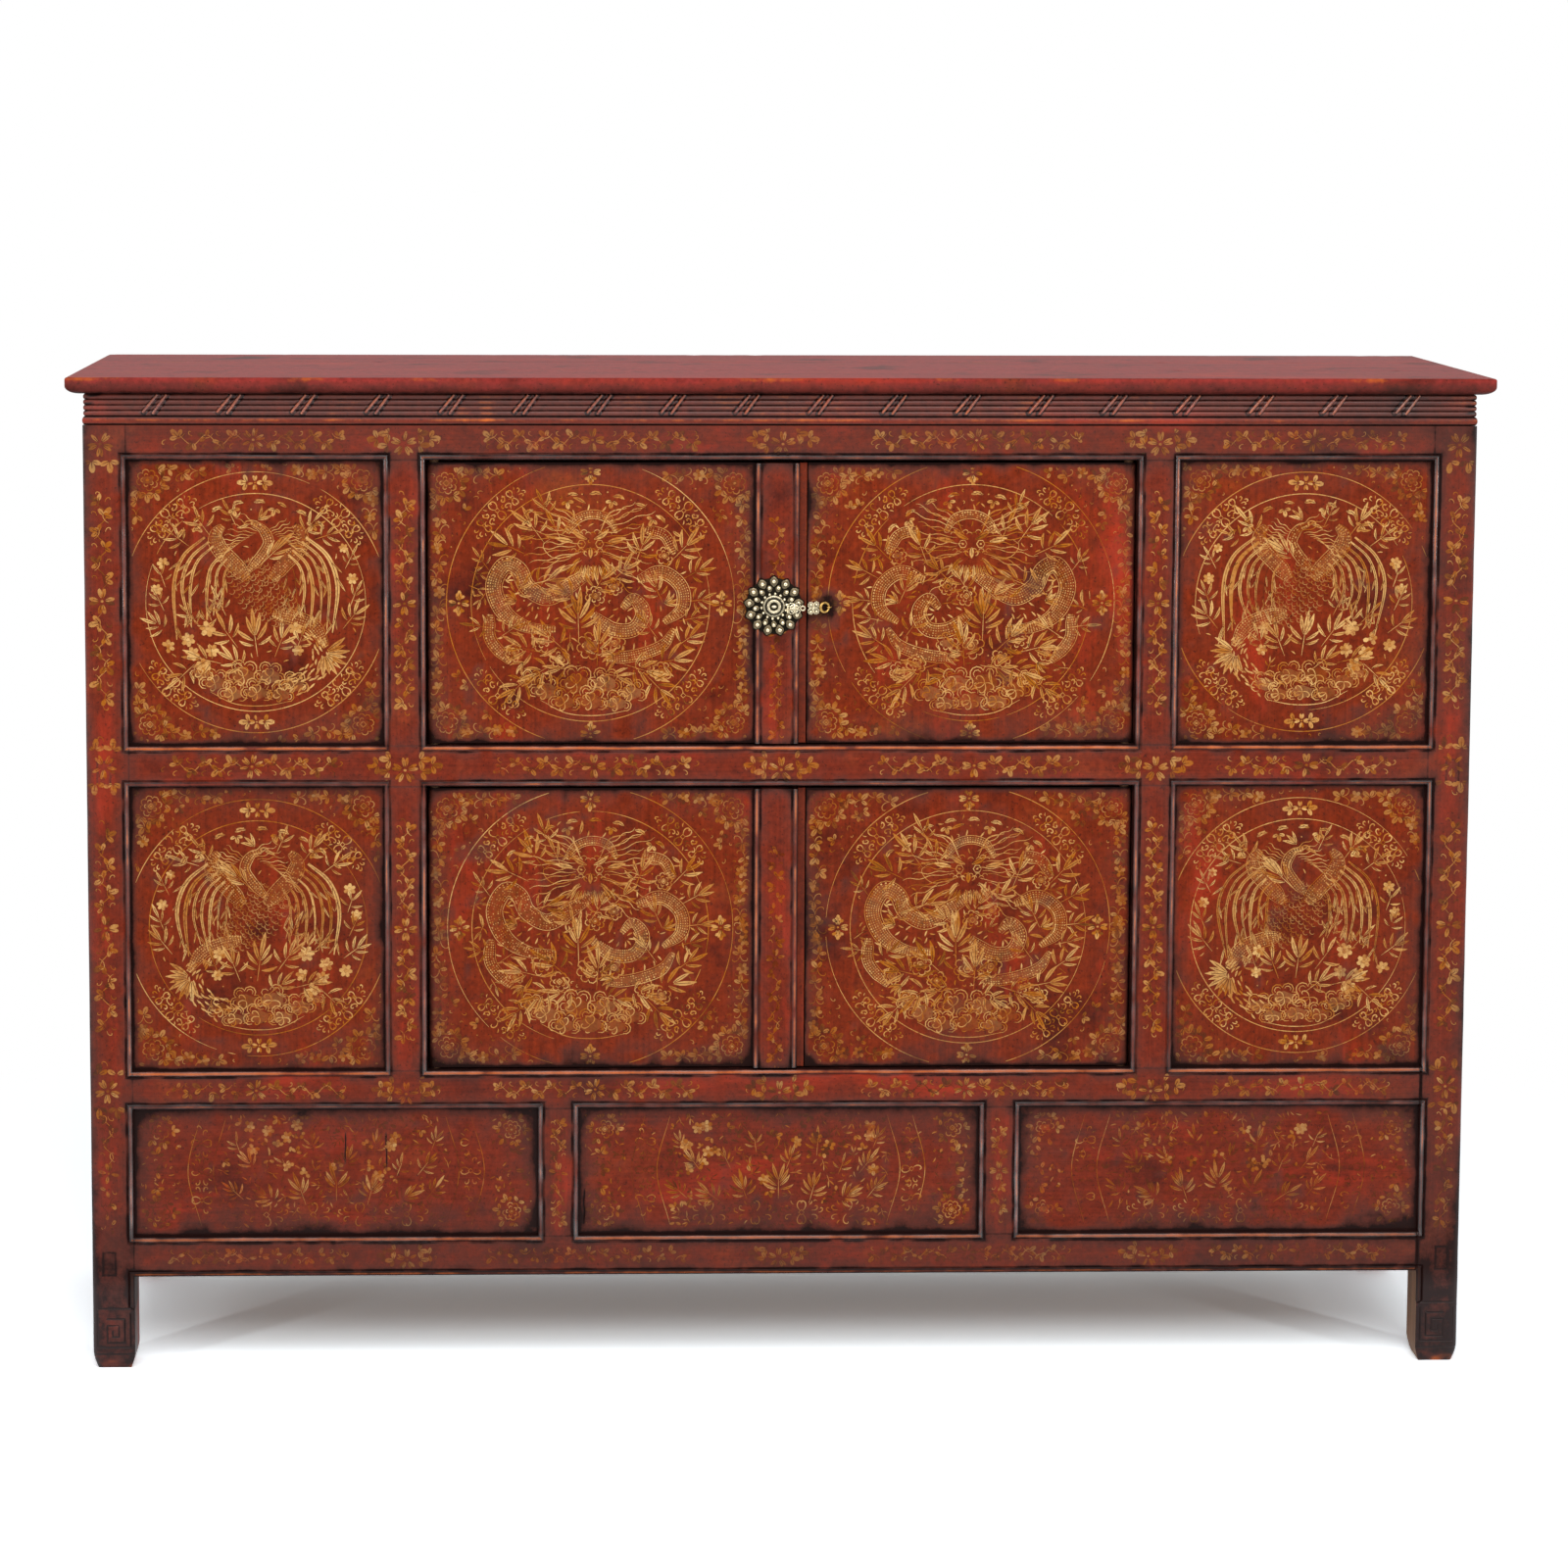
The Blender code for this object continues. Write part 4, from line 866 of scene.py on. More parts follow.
def brushwork_tree():
    """Sweeps painted lines into flat closed strokes on a plane that faces the front."""
    tree, inputs = new_tree("brushwork", (("Plane", "NodeSocketFloat"), ("Material", "NodeSocketMaterial")))
    lines = add_node(tree, "GeometryNodeMeshToCurve", {"Mesh": inputs["Geometry"]}).outputs[0]
    facing = add_node(
        tree, "GeometryNodeSetCurveNormal", {"Curve": lines, "Normal": (0.0, 1.0, 0.0)}, mode="FREE"
    ).outputs[0]
    width = add_node(tree, "GeometryNodeInputNamedAttribute", {"Name": "half_width"}, data_type="FLOAT").outputs[0]
    # Three-sided section: two edges on the face and one behind it
    section = add_node(
        tree, "GeometryNodeCurvePrimitiveCircle", {"Resolution": 3, "Radius": 2 / math.sqrt(3)}
    ).outputs[0]
    swept = add_node(
        tree,
        "GeometryNodeCurveToMesh",
        {"Curve": facing, "Profile Curve": section, "Scale": width, "Fill Caps": True},
    ).outputs[0]
    place = add_node(
        tree, "ShaderNodeSeparateXYZ", {0: add_node(tree, "GeometryNodeInputPosition").outputs[0]}
    ).outputs
    lift = add_node(tree, "GeometryNodeInputNamedAttribute", {"Name": "lift"}, data_type="FLOAT").outputs[0]
    proud = add_node(tree, "ShaderNodeMath", {0: inputs["Plane"], 1: lift}, operation="SUBTRACT").outputs[0]
    sunk = add_node(tree, "ShaderNodeMath", {0: inputs["Plane"], 1: lift}, operation="ADD").outputs[0]
    ahead = add_node(tree, "ShaderNodeMath", {0: place["Y"], 1: inputs["Plane"]}, operation="LESS_THAN").outputs[0]
    level = add_node(tree, "ShaderNodeMix", {0: ahead, 2: sunk, 3: proud}).outputs[0]
    flat = add_node(tree, "ShaderNodeCombineXYZ", {"X": place["X"], "Y": level, "Z": place["Z"]}).outputs[0]
    laid = add_node(tree, "GeometryNodeSetPosition", {"Geometry": swept, "Position": flat}).outputs[0]
    laid = add_node(tree, "GeometryNodeSetShadeSmooth", {"Geometry": laid, "Shade Smooth": False}).outputs[0]
    return end_tree(tree, laid, inputs["Material"])


def wirework_tree():
    """Sweeps lines into round closed wire."""
    tree, inputs = new_tree("wirework", (("Material", "NodeSocketMaterial"),))
    lines = add_node(tree, "GeometryNodeMeshToCurve", {"Mesh": inputs["Geometry"]}).outputs[0]
    width = add_node(tree, "GeometryNodeInputNamedAttribute", {"Name": "half_width"}, data_type="FLOAT").outputs[0]
    section = add_node(tree, "GeometryNodeCurvePrimitiveCircle", {"Resolution": 12, "Radius": 1.0}).outputs[0]
    swept = add_node(
        tree,
        "GeometryNodeCurveToMesh",
        {"Curve": lines, "Profile Curve": section, "Scale": width, "Fill Caps": True},
    ).outputs[0]
    return end_tree(tree, swept, inputs["Material"])


def row_tree():
    """Repeats a piece along a straight row."""
    tree, inputs = new_tree(
        "row",
        (
            ("Count", "NodeSocketInt"),
            ("Start", "NodeSocketVector"),
            ("Step", "NodeSocketVector"),
            ("Material", "NodeSocketMaterial"),
        ),
    )
    line = add_node(
        tree,
        "GeometryNodeMeshLine",
        {"Count": inputs["Count"], "Start Location": inputs["Start"], "Offset": inputs["Step"]},
    ).outputs[0]
    placed = add_node(
        tree, "GeometryNodeInstanceOnPoints", {"Points": line, "Instance": inputs["Geometry"]}
    ).outputs[0]
    return end_tree(tree, placed, inputs["Material"])


def ring_tree():
    """Repeats a piece round an axis that faces the front."""
    tree, inputs = new_tree(
        "ring",
        (
            ("Count", "NodeSocketInt"),
            ("First", "NodeSocketFloat"),
            ("Centre", "NodeSocketVector"),
            ("Material", "NodeSocketMaterial"),
        ),
    )
    spots = add_node(
        tree, "GeometryNodePoints", {"Count": inputs["Count"], "Position": inputs["Centre"]}
    ).outputs[0]
    index = add_node(tree, "GeometryNodeInputIndex").outputs[0]
    share = add_node(tree, "ShaderNodeMath", {0: TAU, 1: inputs["Count"]}, operation="DIVIDE").outputs[0]
    angle = add_node(
        tree, "ShaderNodeMath", {0: index, 1: share, 2: inputs["First"]}, operation="MULTIPLY_ADD"
    ).outputs[0]
    turn = add_node(tree, "ShaderNodeCombineXYZ", {"Y": angle}).outputs[0]
    turn = add_node(tree, "FunctionNodeEulerToRotation", {"Euler": turn}).outputs[0]
    placed = add_node(
        tree,
        "GeometryNodeInstanceOnPoints",
        {"Points": spots, "Instance": inputs["Geometry"], "Rotation": turn},
    ).outputs[0]
    return end_tree(tree, placed, inputs["Material"])


TREES = {}


def grow(thing, tree_name, **inputs):
    """Runs a tree on an object once and keeps what it makes as the object's plain mesh."""
    tree = TREES[tree_name]
    modifier = thing.modifiers.new(tree_name, "NODES")
    modifier.node_group = tree
    for item in tree.interface.items_tree:
        if item.in_out == "INPUT" and item.name in inputs:
            modifier[item.identifier] = inputs[item.name]
    depsgraph = bpy.context.evaluated_depsgraph_get()
    made = bpy.data.meshes.new_from_object(
        thing.evaluated_get(depsgraph), preserve_all_data_layers=True, depsgraph=depsgraph
    )
    thing.modifiers.remove(modifier)
    plain = thing.data
    thing.data = made
    made.name = thing.name
    bpy.data.meshes.remove(plain)
    return thing


def line_object(name, runs):
    """An object of loose lines; each run is its places, its marks by name and whether it closes."""
    points, edges = [], []
    marks = {label: [] for label in runs[0][1]}
    for places, values, closed in runs:
        first = len(points)
        points += places
        for label, store in marks.items():
            value = values[label]
            store += value if isinstance(value, list) else [value] * len(places)
        edges += [(first + i, first + i + 1) for i in range(len(places) - 1)]
        if closed:
            edges.append((first + len(places) - 1, first))
    mesh = bpy.data.meshes.new(name)
    mesh.from_pydata(points, edges, [])
    for label, values in marks.items():
        layer = mesh.attributes.new(label, "FLOAT", "POINT")
        layer.data.foreach_set("value", values)
    thing = bpy.data.objects.new(name, mesh)
    bpy.context.scene.collection.objects.link(thing)
    return thing


# Gilt painting


def smooth_path(path, step):
    """Evenly spaced places on a smooth curve through the given ones."""
    path = np.array(path, dtype=float)
    padded = np.concatenate([[2 * path[0] - path[1]], path, [2 * path[-1] - path[-2]]])
    dense = []
    for p0, p1, p2, p3 in zip(padded[:-3], padded[1:-2], padded[2:-1], padded[3:]):
        for t in np.linspace(0, 1, 20, endpoint=False):
            square = (2 * p0 - 5 * p1 + 4 * p2 - p3) * t ** 2
            cube = (3 * p1 - p0 - 3 * p2 + p3) * t ** 3
            dense.append(0.5 * (2 * p1 + (p2 - p0) * t + square + cube))
    dense = np.array(dense + [path[-1]])
    travelled = np.concatenate([[0], np.cumsum(np.hypot(*np.diff(dense, axis=0).T))])
    marks = np.linspace(0, travelled[-1], max(2, int(travelled[-1] / step) + 1))
    across = np.interp(marks, travelled, dense[:, 0])
    up = np.interp(marks, travelled, dense[:, 1])
    return [(float(u), float(v)) for u, v in zip(across, up)]


def step_from(u, v, angle, reach):
    return u + math.cos(angle) * reach, v + math.sin(angle) * reach


def heading_at(places, index):
    """Direction of a path at one of its places."""
    before, after = places[max(index - 1, 0)], places[min(index + 1, len(places) - 1)]
    return math.atan2(after[1] - before[1], after[0] - before[0])


class Brush:
    """Gathers the gilt strokes of one surface, in mm across and up the cabinet's front."""

    def __init__(self, seed, rect, margin=5.0, loss=0.03, pale=0.35, cover=1.0, tarnish=0.3):
        self.dice = random.Random(seed)
        self.bounds = (rect[0] / MM + margin, rect[1] / MM - margin, rect[2] / MM + margin, rect[3] / MM - margin)
        self.middle = ((rect[0] + rect[1]) / 2 / MM, (rect[2] + rect[3]) / 2 / MM)
        self.loss = loss
        self.pale = pale
        self.cover = cover
        self.tarnish = tarnish
        self.strokes = []

    def keep(self, run, share, layer, dark):
        if len(run) > 1 and self.dice.random() > self.loss:
            pale = self.pale - dark + self.dice.uniform(-0.36, 0.36)
            lift = layer + self.dice.uniform(0.0, 0.6)
            self.strokes.append((run, pale, self.cover * share, lift))

    def stroke(self, points, widths, share=1.0, layer=0.6, dark=0.0):
        """Keeps the parts of a stroke that lie on the surface; layer is its height in coats of paint."""
        low_u, high_u, low_v, high_v = self.bounds
        run = []
        for (u, v), width in zip(points, widths):
            if low_u < u < high_u and low_v < v < high_v:
                run.append((u, v, max(width, 0.3) / 2))
            else:
                self.keep(run, share, layer, dark)
                run = []
        self.keep(run, share, layer, dark)

    def line(self, points, width=0.9):
        last = max(len(points) - 1, 1)
        self.stroke(points, [width * min(1.0, 0.4 + 2.4 * min(i, last - i) / last) for i in range(last + 1)])

    def wash(self, path, width, share=0.4):
        """A thin broad veil of gold under the drawing."""
        places = smooth_path(path, 7.0)
        last = max(len(places) - 1, 1)
        widths = [width * min(1.0, 0.45 + 2.2 * min(i, last - i) / last) for i in range(last + 1)]
        self.stroke(places, widths, share, 0.3)

    def sweep(self, u, v, angle, length, width, shares, bend=0.0):
        """One loaded stroke whose width swells and tapers by shares."""
        points = []
        steps = len(shares) - 1
        for i in range(steps + 1):
            points.append((u, v))
            u, v = step_from(u, v, angle + bend * (i / steps - 0.3), length / steps)
        self.stroke(points, [width * share for share in shares])

    def leaf(self, u, v, angle, length, fat=0.3, bend=0.0):
        """A slim leaf; a larger one has a dark vein."""
        self.sweep(u, v, angle, length, length * fat, (0.2, 0.8, 1.0, 0.75, 0.15), bend)
        if length > 7.5:
            heading = angle - bend * 0.12
            ends = [step_from(u, v, heading, length * 0.05), step_from(u, v, heading, length * 0.72)]
            self.stroke(ends, [0.7, 0.5], 0.9, 1.6, self.pale + 0.5)

    def petal(self, u, v, angle, length, fat=0.6):
        """A round petal; a larger one has a dark vein."""
        self.sweep(u, v, angle, length, length * fat, (0.25, 0.8, 1.05, 0.95, 0.45))
        if length > 5.5:
            ends = [(u, v), step_from(u, v, angle, length * 0.6)]
            self.stroke(ends, [0.9, 0.5], 0.9, 1.6, self.pale + 0.5)

    def dot(self, u, v, size, angle=0.0):
        half_u, half_v = math.cos(angle) * size * 0.46, math.sin(angle) * size * 0.46
        self.stroke([(u - half_u, v - half_v), (u, v), (u + half_u, v + half_v)], [size * 0.55, size, size * 0.55])

    def curl(self, u, v, angle, size, turn=5.0, width=0.9):
        """A tendril that winds up on itself; a negative turn winds it the other way."""
        points = [(u, v)]
        for i in range(11):
            t = i / 11
            angle += turn * (0.35 + 1.2 * t) / 11
            u, v = step_from(u, v, angle, size * 2.1 * (1 - 0.78 * t) / 11)
            points.append((u, v))
        self.line(points, width)

    def arc(self, u, v, radius, start, end, width=0.9, gaps=0.0):
        """Part of a ring, broken here and there where the line has rubbed away."""
        count = max(4, int(abs(end - start) * radius / 4.0))
        run, skip = [], 0
        for i in range(count + 1):
            if skip:
                skip -= 1
                continue
            run.append(step_from(u, v, start + (end - start) * i / count, radius))
            if self.dice.random() < gaps:
                self.line(run, width)
                run, skip = [], self.dice.randint(1, 4)
        if len(run) > 1:
            self.line(run, width)

    def fan(self, u, v, angle, length, count=5, spread=2.3, fat=0.24):
        """A spray of slim leaflets along a short stem."""
        tip = step_from(u, v, angle, length * 0.5)
        self.line([step_from(u, v, angle, -length * 0.35), (u, v), tip], 0.9)
        for i in range(count):
            side = 2 * i / max(count - 1, 1) - 1
            reach = length * (0.74 - 0.2 * abs(side)) * self.dice.uniform(0.85, 1.15)
            heading = angle + side * spread / 2 + self.dice.uniform(-0.12, 0.12)
            foot = step_from(u, v, angle, length * 0.42 * (1 - abs(side)))
            self.leaf(*step_from(*foot, heading, length * 0.1), heading, reach, fat, -side * 0.7)

    def trefoil(self, u, v, angle, size):
        """A round-lobed leaf of three parts."""
        for lean, share in ((0.0, 1.0), (-1.2, 0.8), (1.2, 0.8)):
            heading = angle + lean + self.dice.uniform(-0.15, 0.15)
            self.petal(*step_from(u, v, heading, size * 0.1), heading, size * share * 0.9, 0.66)

    def blossom(self, u, v, radius, petals=4, turn=0.0):
        """An open flower of notched petals round a dot."""
        for i in range(petals):
            for side in (-1, 1):
                heading = turn + TAU * i / petals + side * 0.88 / petals
                self.petal(*step_from(u, v, heading, radius * 0.26), heading, radius * 0.72, 2.0 / petals)
        self.dot(u, v, radius * 0.24)

    def posy(self, u, v, radius, petals=6):
        """A small full flower."""
        turn = self.dice.uniform(0, TAU)
        for i in range(petals):
            angle = turn + TAU * i / petals
            self.dot(*step_from(u, v, angle, radius * 0.62), radius * 0.74, angle)
        self.dot(u, v, radius * 0.6)

    def peony(self, u, v, radius):
        """A full flower seen from above: scalloped rows round a ring, over a thin wash."""
        self.wash([(u - radius * 0.5, v), (u, v), (u + radius * 0.5, v)], radius * 1.7, 0.2)
        for share, count in ((1.0, 8), (0.6, 5)):
            for i in range(count):
                angle = TAU * i / count + share
                spot = step_from(u, v, angle, radius * share * 0.74)
                self.arc(*spot, radius * share * 0.32, angle - 1.7, angle + 1.7, 1.3)
        self.arc(u, v, radius * 0.3, 0, TAU, 1.2)
        self.dot(u, v, radius * 0.3)

    def knot(self, u, v, angle, size):
        """A cloud knot lying along angle: paired open scrolls either side of a heart."""
        cosine, sine = math.cos(angle), math.sin(angle)

        def at(along, across):
            return u + size * (along * cosine - across * sine), v + size * (along * sine + across * cosine)

        for side in (-1, 1):
            outward = angle if side > 0 else angle + math.pi
            for lean in (-1, 1):
                spin = lean * side
                self.curl(*at(side * 0.06, lean * 0.08), outward + spin * 0.7, size * 0.5, spin * 5.0, 1.35)
                self.curl(*at(side * 0.44, lean * 0.10), outward - spin * 0.3, size * 0.36, spin * 5.6, 1.3)
                self.leaf(*at(side * 0.34, lean * 0.34), outward + spin * 0.9, size * 0.22, 0.3, spin)
            self.curl(*at(side * 0.74, 0.0), outward, size * 0.3, side * 5.6, 1.3)
        self.arc(u, v, size * 0.12, 0, TAU, 1.1)

    def scales(self, path, width, gap=2.5):
        """A scaled body along a path: rows of dots edged with larger ones, over a thin wash."""
        self.wash(path, width, 0.16)
        places = smooth_path(path, gap)
        last = len(places) - 1
        rows = max(3, round(width / gap))
        edges = ([], [])
        for i, (u, v) in enumerate(places):
            heading = heading_at(places, i)
            half = width / 2 * min(1.0, 0.5 + 3 * i / last, 0.35 + 2.4 * (last - i) / last)
            for row in range(rows):
                offset = half * (2 * (row + 0.5) / rows - 1)
                spot = step_from(u, v, heading + math.pi / 2, offset)
                self.dot(*spot, 2.0 if row == 0 else 1.35, heading)
            for edge, side in zip(edges, (-1, 1)):
                edge.append(step_from(u, v, heading + math.pi / 2, side * (half + 0.9)))
        for edge in edges:
            self.line(edge, 0.8)
        return places

    def wavy(self, u, v, angle, length, swing, width=0.9, waves=2.0):
        points = []
        for i in range(12):
            t = i / 11
            spot = step_from(u, v, angle, length * t)
            points.append(step_from(*spot, angle + math.pi / 2, swing * math.sin(t * waves * TAU) * (0.3 + 0.7 * t)))
        self.line(points, width)

    def fill(self, inside, grid, clear, size, kinds="ltc"):
        """Leaves, trefoils, curls and dots wherever there is still bare lacquer."""
        taken = [(u, v) for run, pale, share, lift in self.strokes if lift > 0.55 for u, v, half in run]
        taken = np.array(taken or [(1e6, 1e6)])
        low_u, high_u, low_v, high_v = self.bounds
        spots = [(u, v) for u in np.arange(low_u, high_u, grid) for v in np.arange(low_v, high_v, grid)]
        self.dice.shuffle(spots)
        for u, v in spots:
            u += self.dice.uniform(-0.5, 0.5) * grid
            v += self.dice.uniform(-0.5, 0.5) * grid
            if not inside(u, v) or np.hypot(taken[:, 0] - u, taken[:, 1] - v).min() < clear:
                continue
            angle = self.dice.uniform(0, TAU)
            kind = self.dice.choice(kinds)
            foot = step_from(u, v, angle, -size * 0.45)
            if kind == "f":
                self.fan(*foot, angle, size, 4, 2.0, 0.25)
            elif kind == "l":
                self.leaf(*foot, angle, size, 0.28, 0.5)
            elif kind == "t":
                self.trefoil(*foot, angle, size * 0.8)
            elif kind == "d":
                self.dot(u, v, size * 0.3, angle)
            else:
                self.curl(u, v, angle, size * 0.6, self.dice.choice((-5.0, 5.0)), 1.0)
            taken = np.append(taken, [(u, v), step_from(u, v, angle, size * 0.4), foot], axis=0)


def paint_rings(brush, inner, outer, line):
    u, v = brush.middle
    brush.pale = 0.3
    for radius in (inner / MM, outer / MM):
        brush.arc(u, v, radius, 0.3, TAU + 0.3, line / MM * 1.15, 0.012)


def paint_band(brush, inner, outer, compass):
    """Blossoms on the band's compass points and cloud knots on its diagonals."""
    u, v = brush.middle
    middle = (inner + outer) / 2 / MM
    width = (outer - inner) / MM
    for i in range(4):
        angle = i * TAU / 4
        if compass or i % 2:
            spot = step_from(u, v, angle, middle)
            brush.blossom(*spot, width * (0.42 if compass else 0.34), 4, 0.0)
            for side in (-1, 1):
                if compass:
                    brush.trefoil(spot[0], spot[1] + side * width * 0.22, side * math.pi / 2, width * 0.3)
                else:
                    brush.trefoil(spot[0] + side * width * 0.36, spot[1], 0 if side > 0 else math.pi, width * 0.46)
        diagonal = angle + TAU / 8
        for share, size in ((-0.15, 16), (0.0, 21), (0.15, 16)):
            brush.knot(*step_from(u, v, diagonal + share, middle), diagonal + share + math.pi / 2, size)


def paint_corners(brush, outer):
    """Peonies, trefoils and tendrils between the outer ring and the panel's corners."""
    u, v = brush.middle
    reach = outer / MM
    low_u, high_u, low_v, high_v = brush.bounds
    for side_u, edge_u in ((-1, low_u), (1, high_u)):
        for side_v, edge_v in ((-1, low_v), (1, high_v)):
            inward = math.atan2(-side_v, -side_u)
            spot = edge_u - side_u * 17, edge_v - side_v * 17
            brush.peony(*spot, 10.5)
            for i in range(6):
                heading = inward + (i - 2.5) * 0.62
                brush.trefoil(*step_from(*spot, heading, 14), heading + brush.dice.uniform(-0.5, 0.5), 9.5)
            for along in range(8):
                run = 38 + along * 15
                for spot_u, spot_v, heading in (
                    (edge_u - side_u * run, edge_v - side_v * brush.dice.uniform(5, 11), 0 if side_u < 0 else math.pi),
                    (edge_u - side_u * brush.dice.uniform(5, 11), edge_v - side_v * run, -side_v * math.pi / 2),
                ):
                    if math.hypot(spot_u - u, spot_v - v) < reach + 7:
                        continue
                    if brush.dice.random() < 0.7:
                        brush.trefoil(spot_u, spot_v, heading + brush.dice.uniform(-0.8, 0.8), 9.5)
                    else:
                        brush.posy(spot_u, spot_v, 6.5)
                    for turn in (-4.0, 4.5):
                        brush.curl(spot_u, spot_v, heading + math.pi, brush.dice.uniform(9, 13), turn, 1.1)

    def outside(place_u, place_v):
        return math.hypot(place_u - u, place_v - v) > reach + 5

    brush.fill(outside, 8.0, 7.5, 10, "ttcc")
    brush.fill(outside, 6.0, 5.6, 6, "cccd")


def placer(brush, radius, flip):
    """How a figure's own places and directions lie on a roundel, turned about when flip is -1."""
    middle_u, middle_v = brush.middle
    size = radius / MM

    def at(u, v):
        return middle_u + flip * u * size, middle_v + v * size

    def way(angle):
        return angle if flip > 0 else math.pi - angle

    return size, at, way


def paint_phoenix(brush, radius, flip):
    """A phoenix over rocks and flowers, its wings let down to both sides."""
    size, at, way = placer(brush, radius, flip)
    middle_u, middle_v = brush.middle
    dice = brush.dice
    for side in (-1, 1):
        brush.pale, brush.cover = 0.5, 0.88
        for i in range(7):
            t = i / 6
            path = [
                at(side * (0.46 - 0.24 * t), 0.60 - 0.24 * t),
                at(side * (0.66 - 0.38 * t), 0.42 - 0.15 * t),
                at(side * (0.745 - 0.45 * t), 0.14 - 0.05 * t),
                at(side * (0.69 - 0.40 * t + dice.uniform(-0.04, 0.04)), -0.28 + 0.24 * t + dice.uniform(-0.08, 0.08)),
            ]
            places = smooth_path(path, 5)
            last = len(places) - 1
            broad = size * (0.042 - 0.014 * t) * dice.uniform(0.6, 1.15)
            widths = [broad * (0.25 + 0.8 * math.sin(math.pi * (0.15 + 0.85 * k / last))) for k in range(last + 1)]
            brush.stroke(places, widths)
            brush.stroke(places[1:-2], [0.6] * (last - 2), 0.8, 1.6, 0.9)
            for k in (last // 3, last // 2, last - 3, last - 2):
                lean = dice.choice((-0.45, 0.35))
                brush.leaf(*places[k], heading_at(places, k) + lean, size * dice.uniform(0.08, 0.16), 0.15)
        # Netted shoulders
        brush.pale, brush.cover = 0.35, 0.85
        reach = 0.0 if side < 0 else 0.06
        shoulder = [(0.08 + reach, 0.22), (0.20 + reach, 0.36), (0.33 + reach, 0.50), (0.36 + reach, 0.62), (0.30 + reach, 0.70)]
        brush.scales([at(side * u, v) for u, v in shoulder], size * 0.13)
    # Body in a net of scales, slanting down to the tail
    brush.pale, brush.cover = 0.3, 0.55
    spine = smooth_path([at(-0.14, 0.36), at(-0.02, 0.16), at(0.14, 0.0), at(0.30, -0.12)], size * 0.042)
    for k, place in enumerate(spine):
        heading = heading_at(spine, k)
        broad = 0.20 * math.sin(math.pi * (0.25 + 0.6 * k / len(spine)))
        for i in range(-5, 6):
            spot = step_from(*place, heading + math.pi / 2, size * broad * (i + 0.5 * (k % 2)) / 5)
            spot = spot[0] + dice.uniform(-1.5, 1.5), spot[1] + dice.uniform(-1.5, 1.5)
            brush.arc(*spot, size * dice.uniform(0.022, 0.030), heading - 1.5, heading + 1.6, 0.9)
    # Head, beak and crest, with loose plumes about them
    brush.pale, brush.cover = 0.5, 0.9
    neck = [at(-0.06, 0.30), at(0.06, 0.44), at(0.12, 0.56), at(0.06, 0.68), at(-0.03, 0.72)]
    brush.scales(neck, size * 0.075)
    brush.curl(*at(-0.02, 0.74), way(2.6), size * 0.09, flip * 4.5, 1.6)
    brush.dot(*at(-0.03, 0.73), 2.6)
    brush.leaf(*at(-0.06, 0.72), way(3.5), size * 0.11, 0.3, -0.5)
    for angle in (0.3, 0.8, 1.3):
        brush.leaf(*at(0.03, 0.76), way(angle), size * 0.13, 0.26, 0.4)
    for i in range(11):
        brush.wavy(*at(0.10 - 0.03 * i, 0.69 - 0.017 * i), way(math.pi - 0.5 + 0.13 * i), size * 0.26, 1.5, 0.9)
        brush.wavy(*at(0.12 + 0.02 * i, 0.66 - 0.014 * i), way(0.6 - 0.11 * i), size * 0.2, 1.4, 0.9)
    brush.fan(*at(0.10, 0.40), way(0.75), size * 0.3, 6, 1.0, 0.22)
    # Tail: a netted root, plumes swept under the bird and fronds spread at the end
    brush.scales([at(0.16, -0.10), at(0.34, -0.14), at(0.52, -0.22), at(0.64, -0.40)], size * 0.12)
    for i in range(10):
        angle = way(-1.9 + 0.28 * i)
        brush.leaf(*step_from(*at(0.62, -0.46), angle, 4), angle, size * (0.17 + 0.03 * (i % 2)), 0.24, 0.2)
    for i in range(6):
        t = i / 5
        path = [
            at(0.40 + 0.22 * t, -0.26 - 0.06 * t),
            at(0.52 + 0.20 * t, -0.44 - 0.04 * t),
            at(0.44 + 0.20 * t, -0.60 - 0.05 * t),
            at(0.18 + 0.20 * t, -0.74 - 0.12 * t),
        ]
        places = smooth_path(path, 5.2)
        for k, place in enumerate(places[:-1]):
            if (k + i) % 3:
                brush.leaf(*place, heading_at(places, k) + 0.3 * math.sin(k * 1.3 + i), 6.8, 0.34, 0.3)
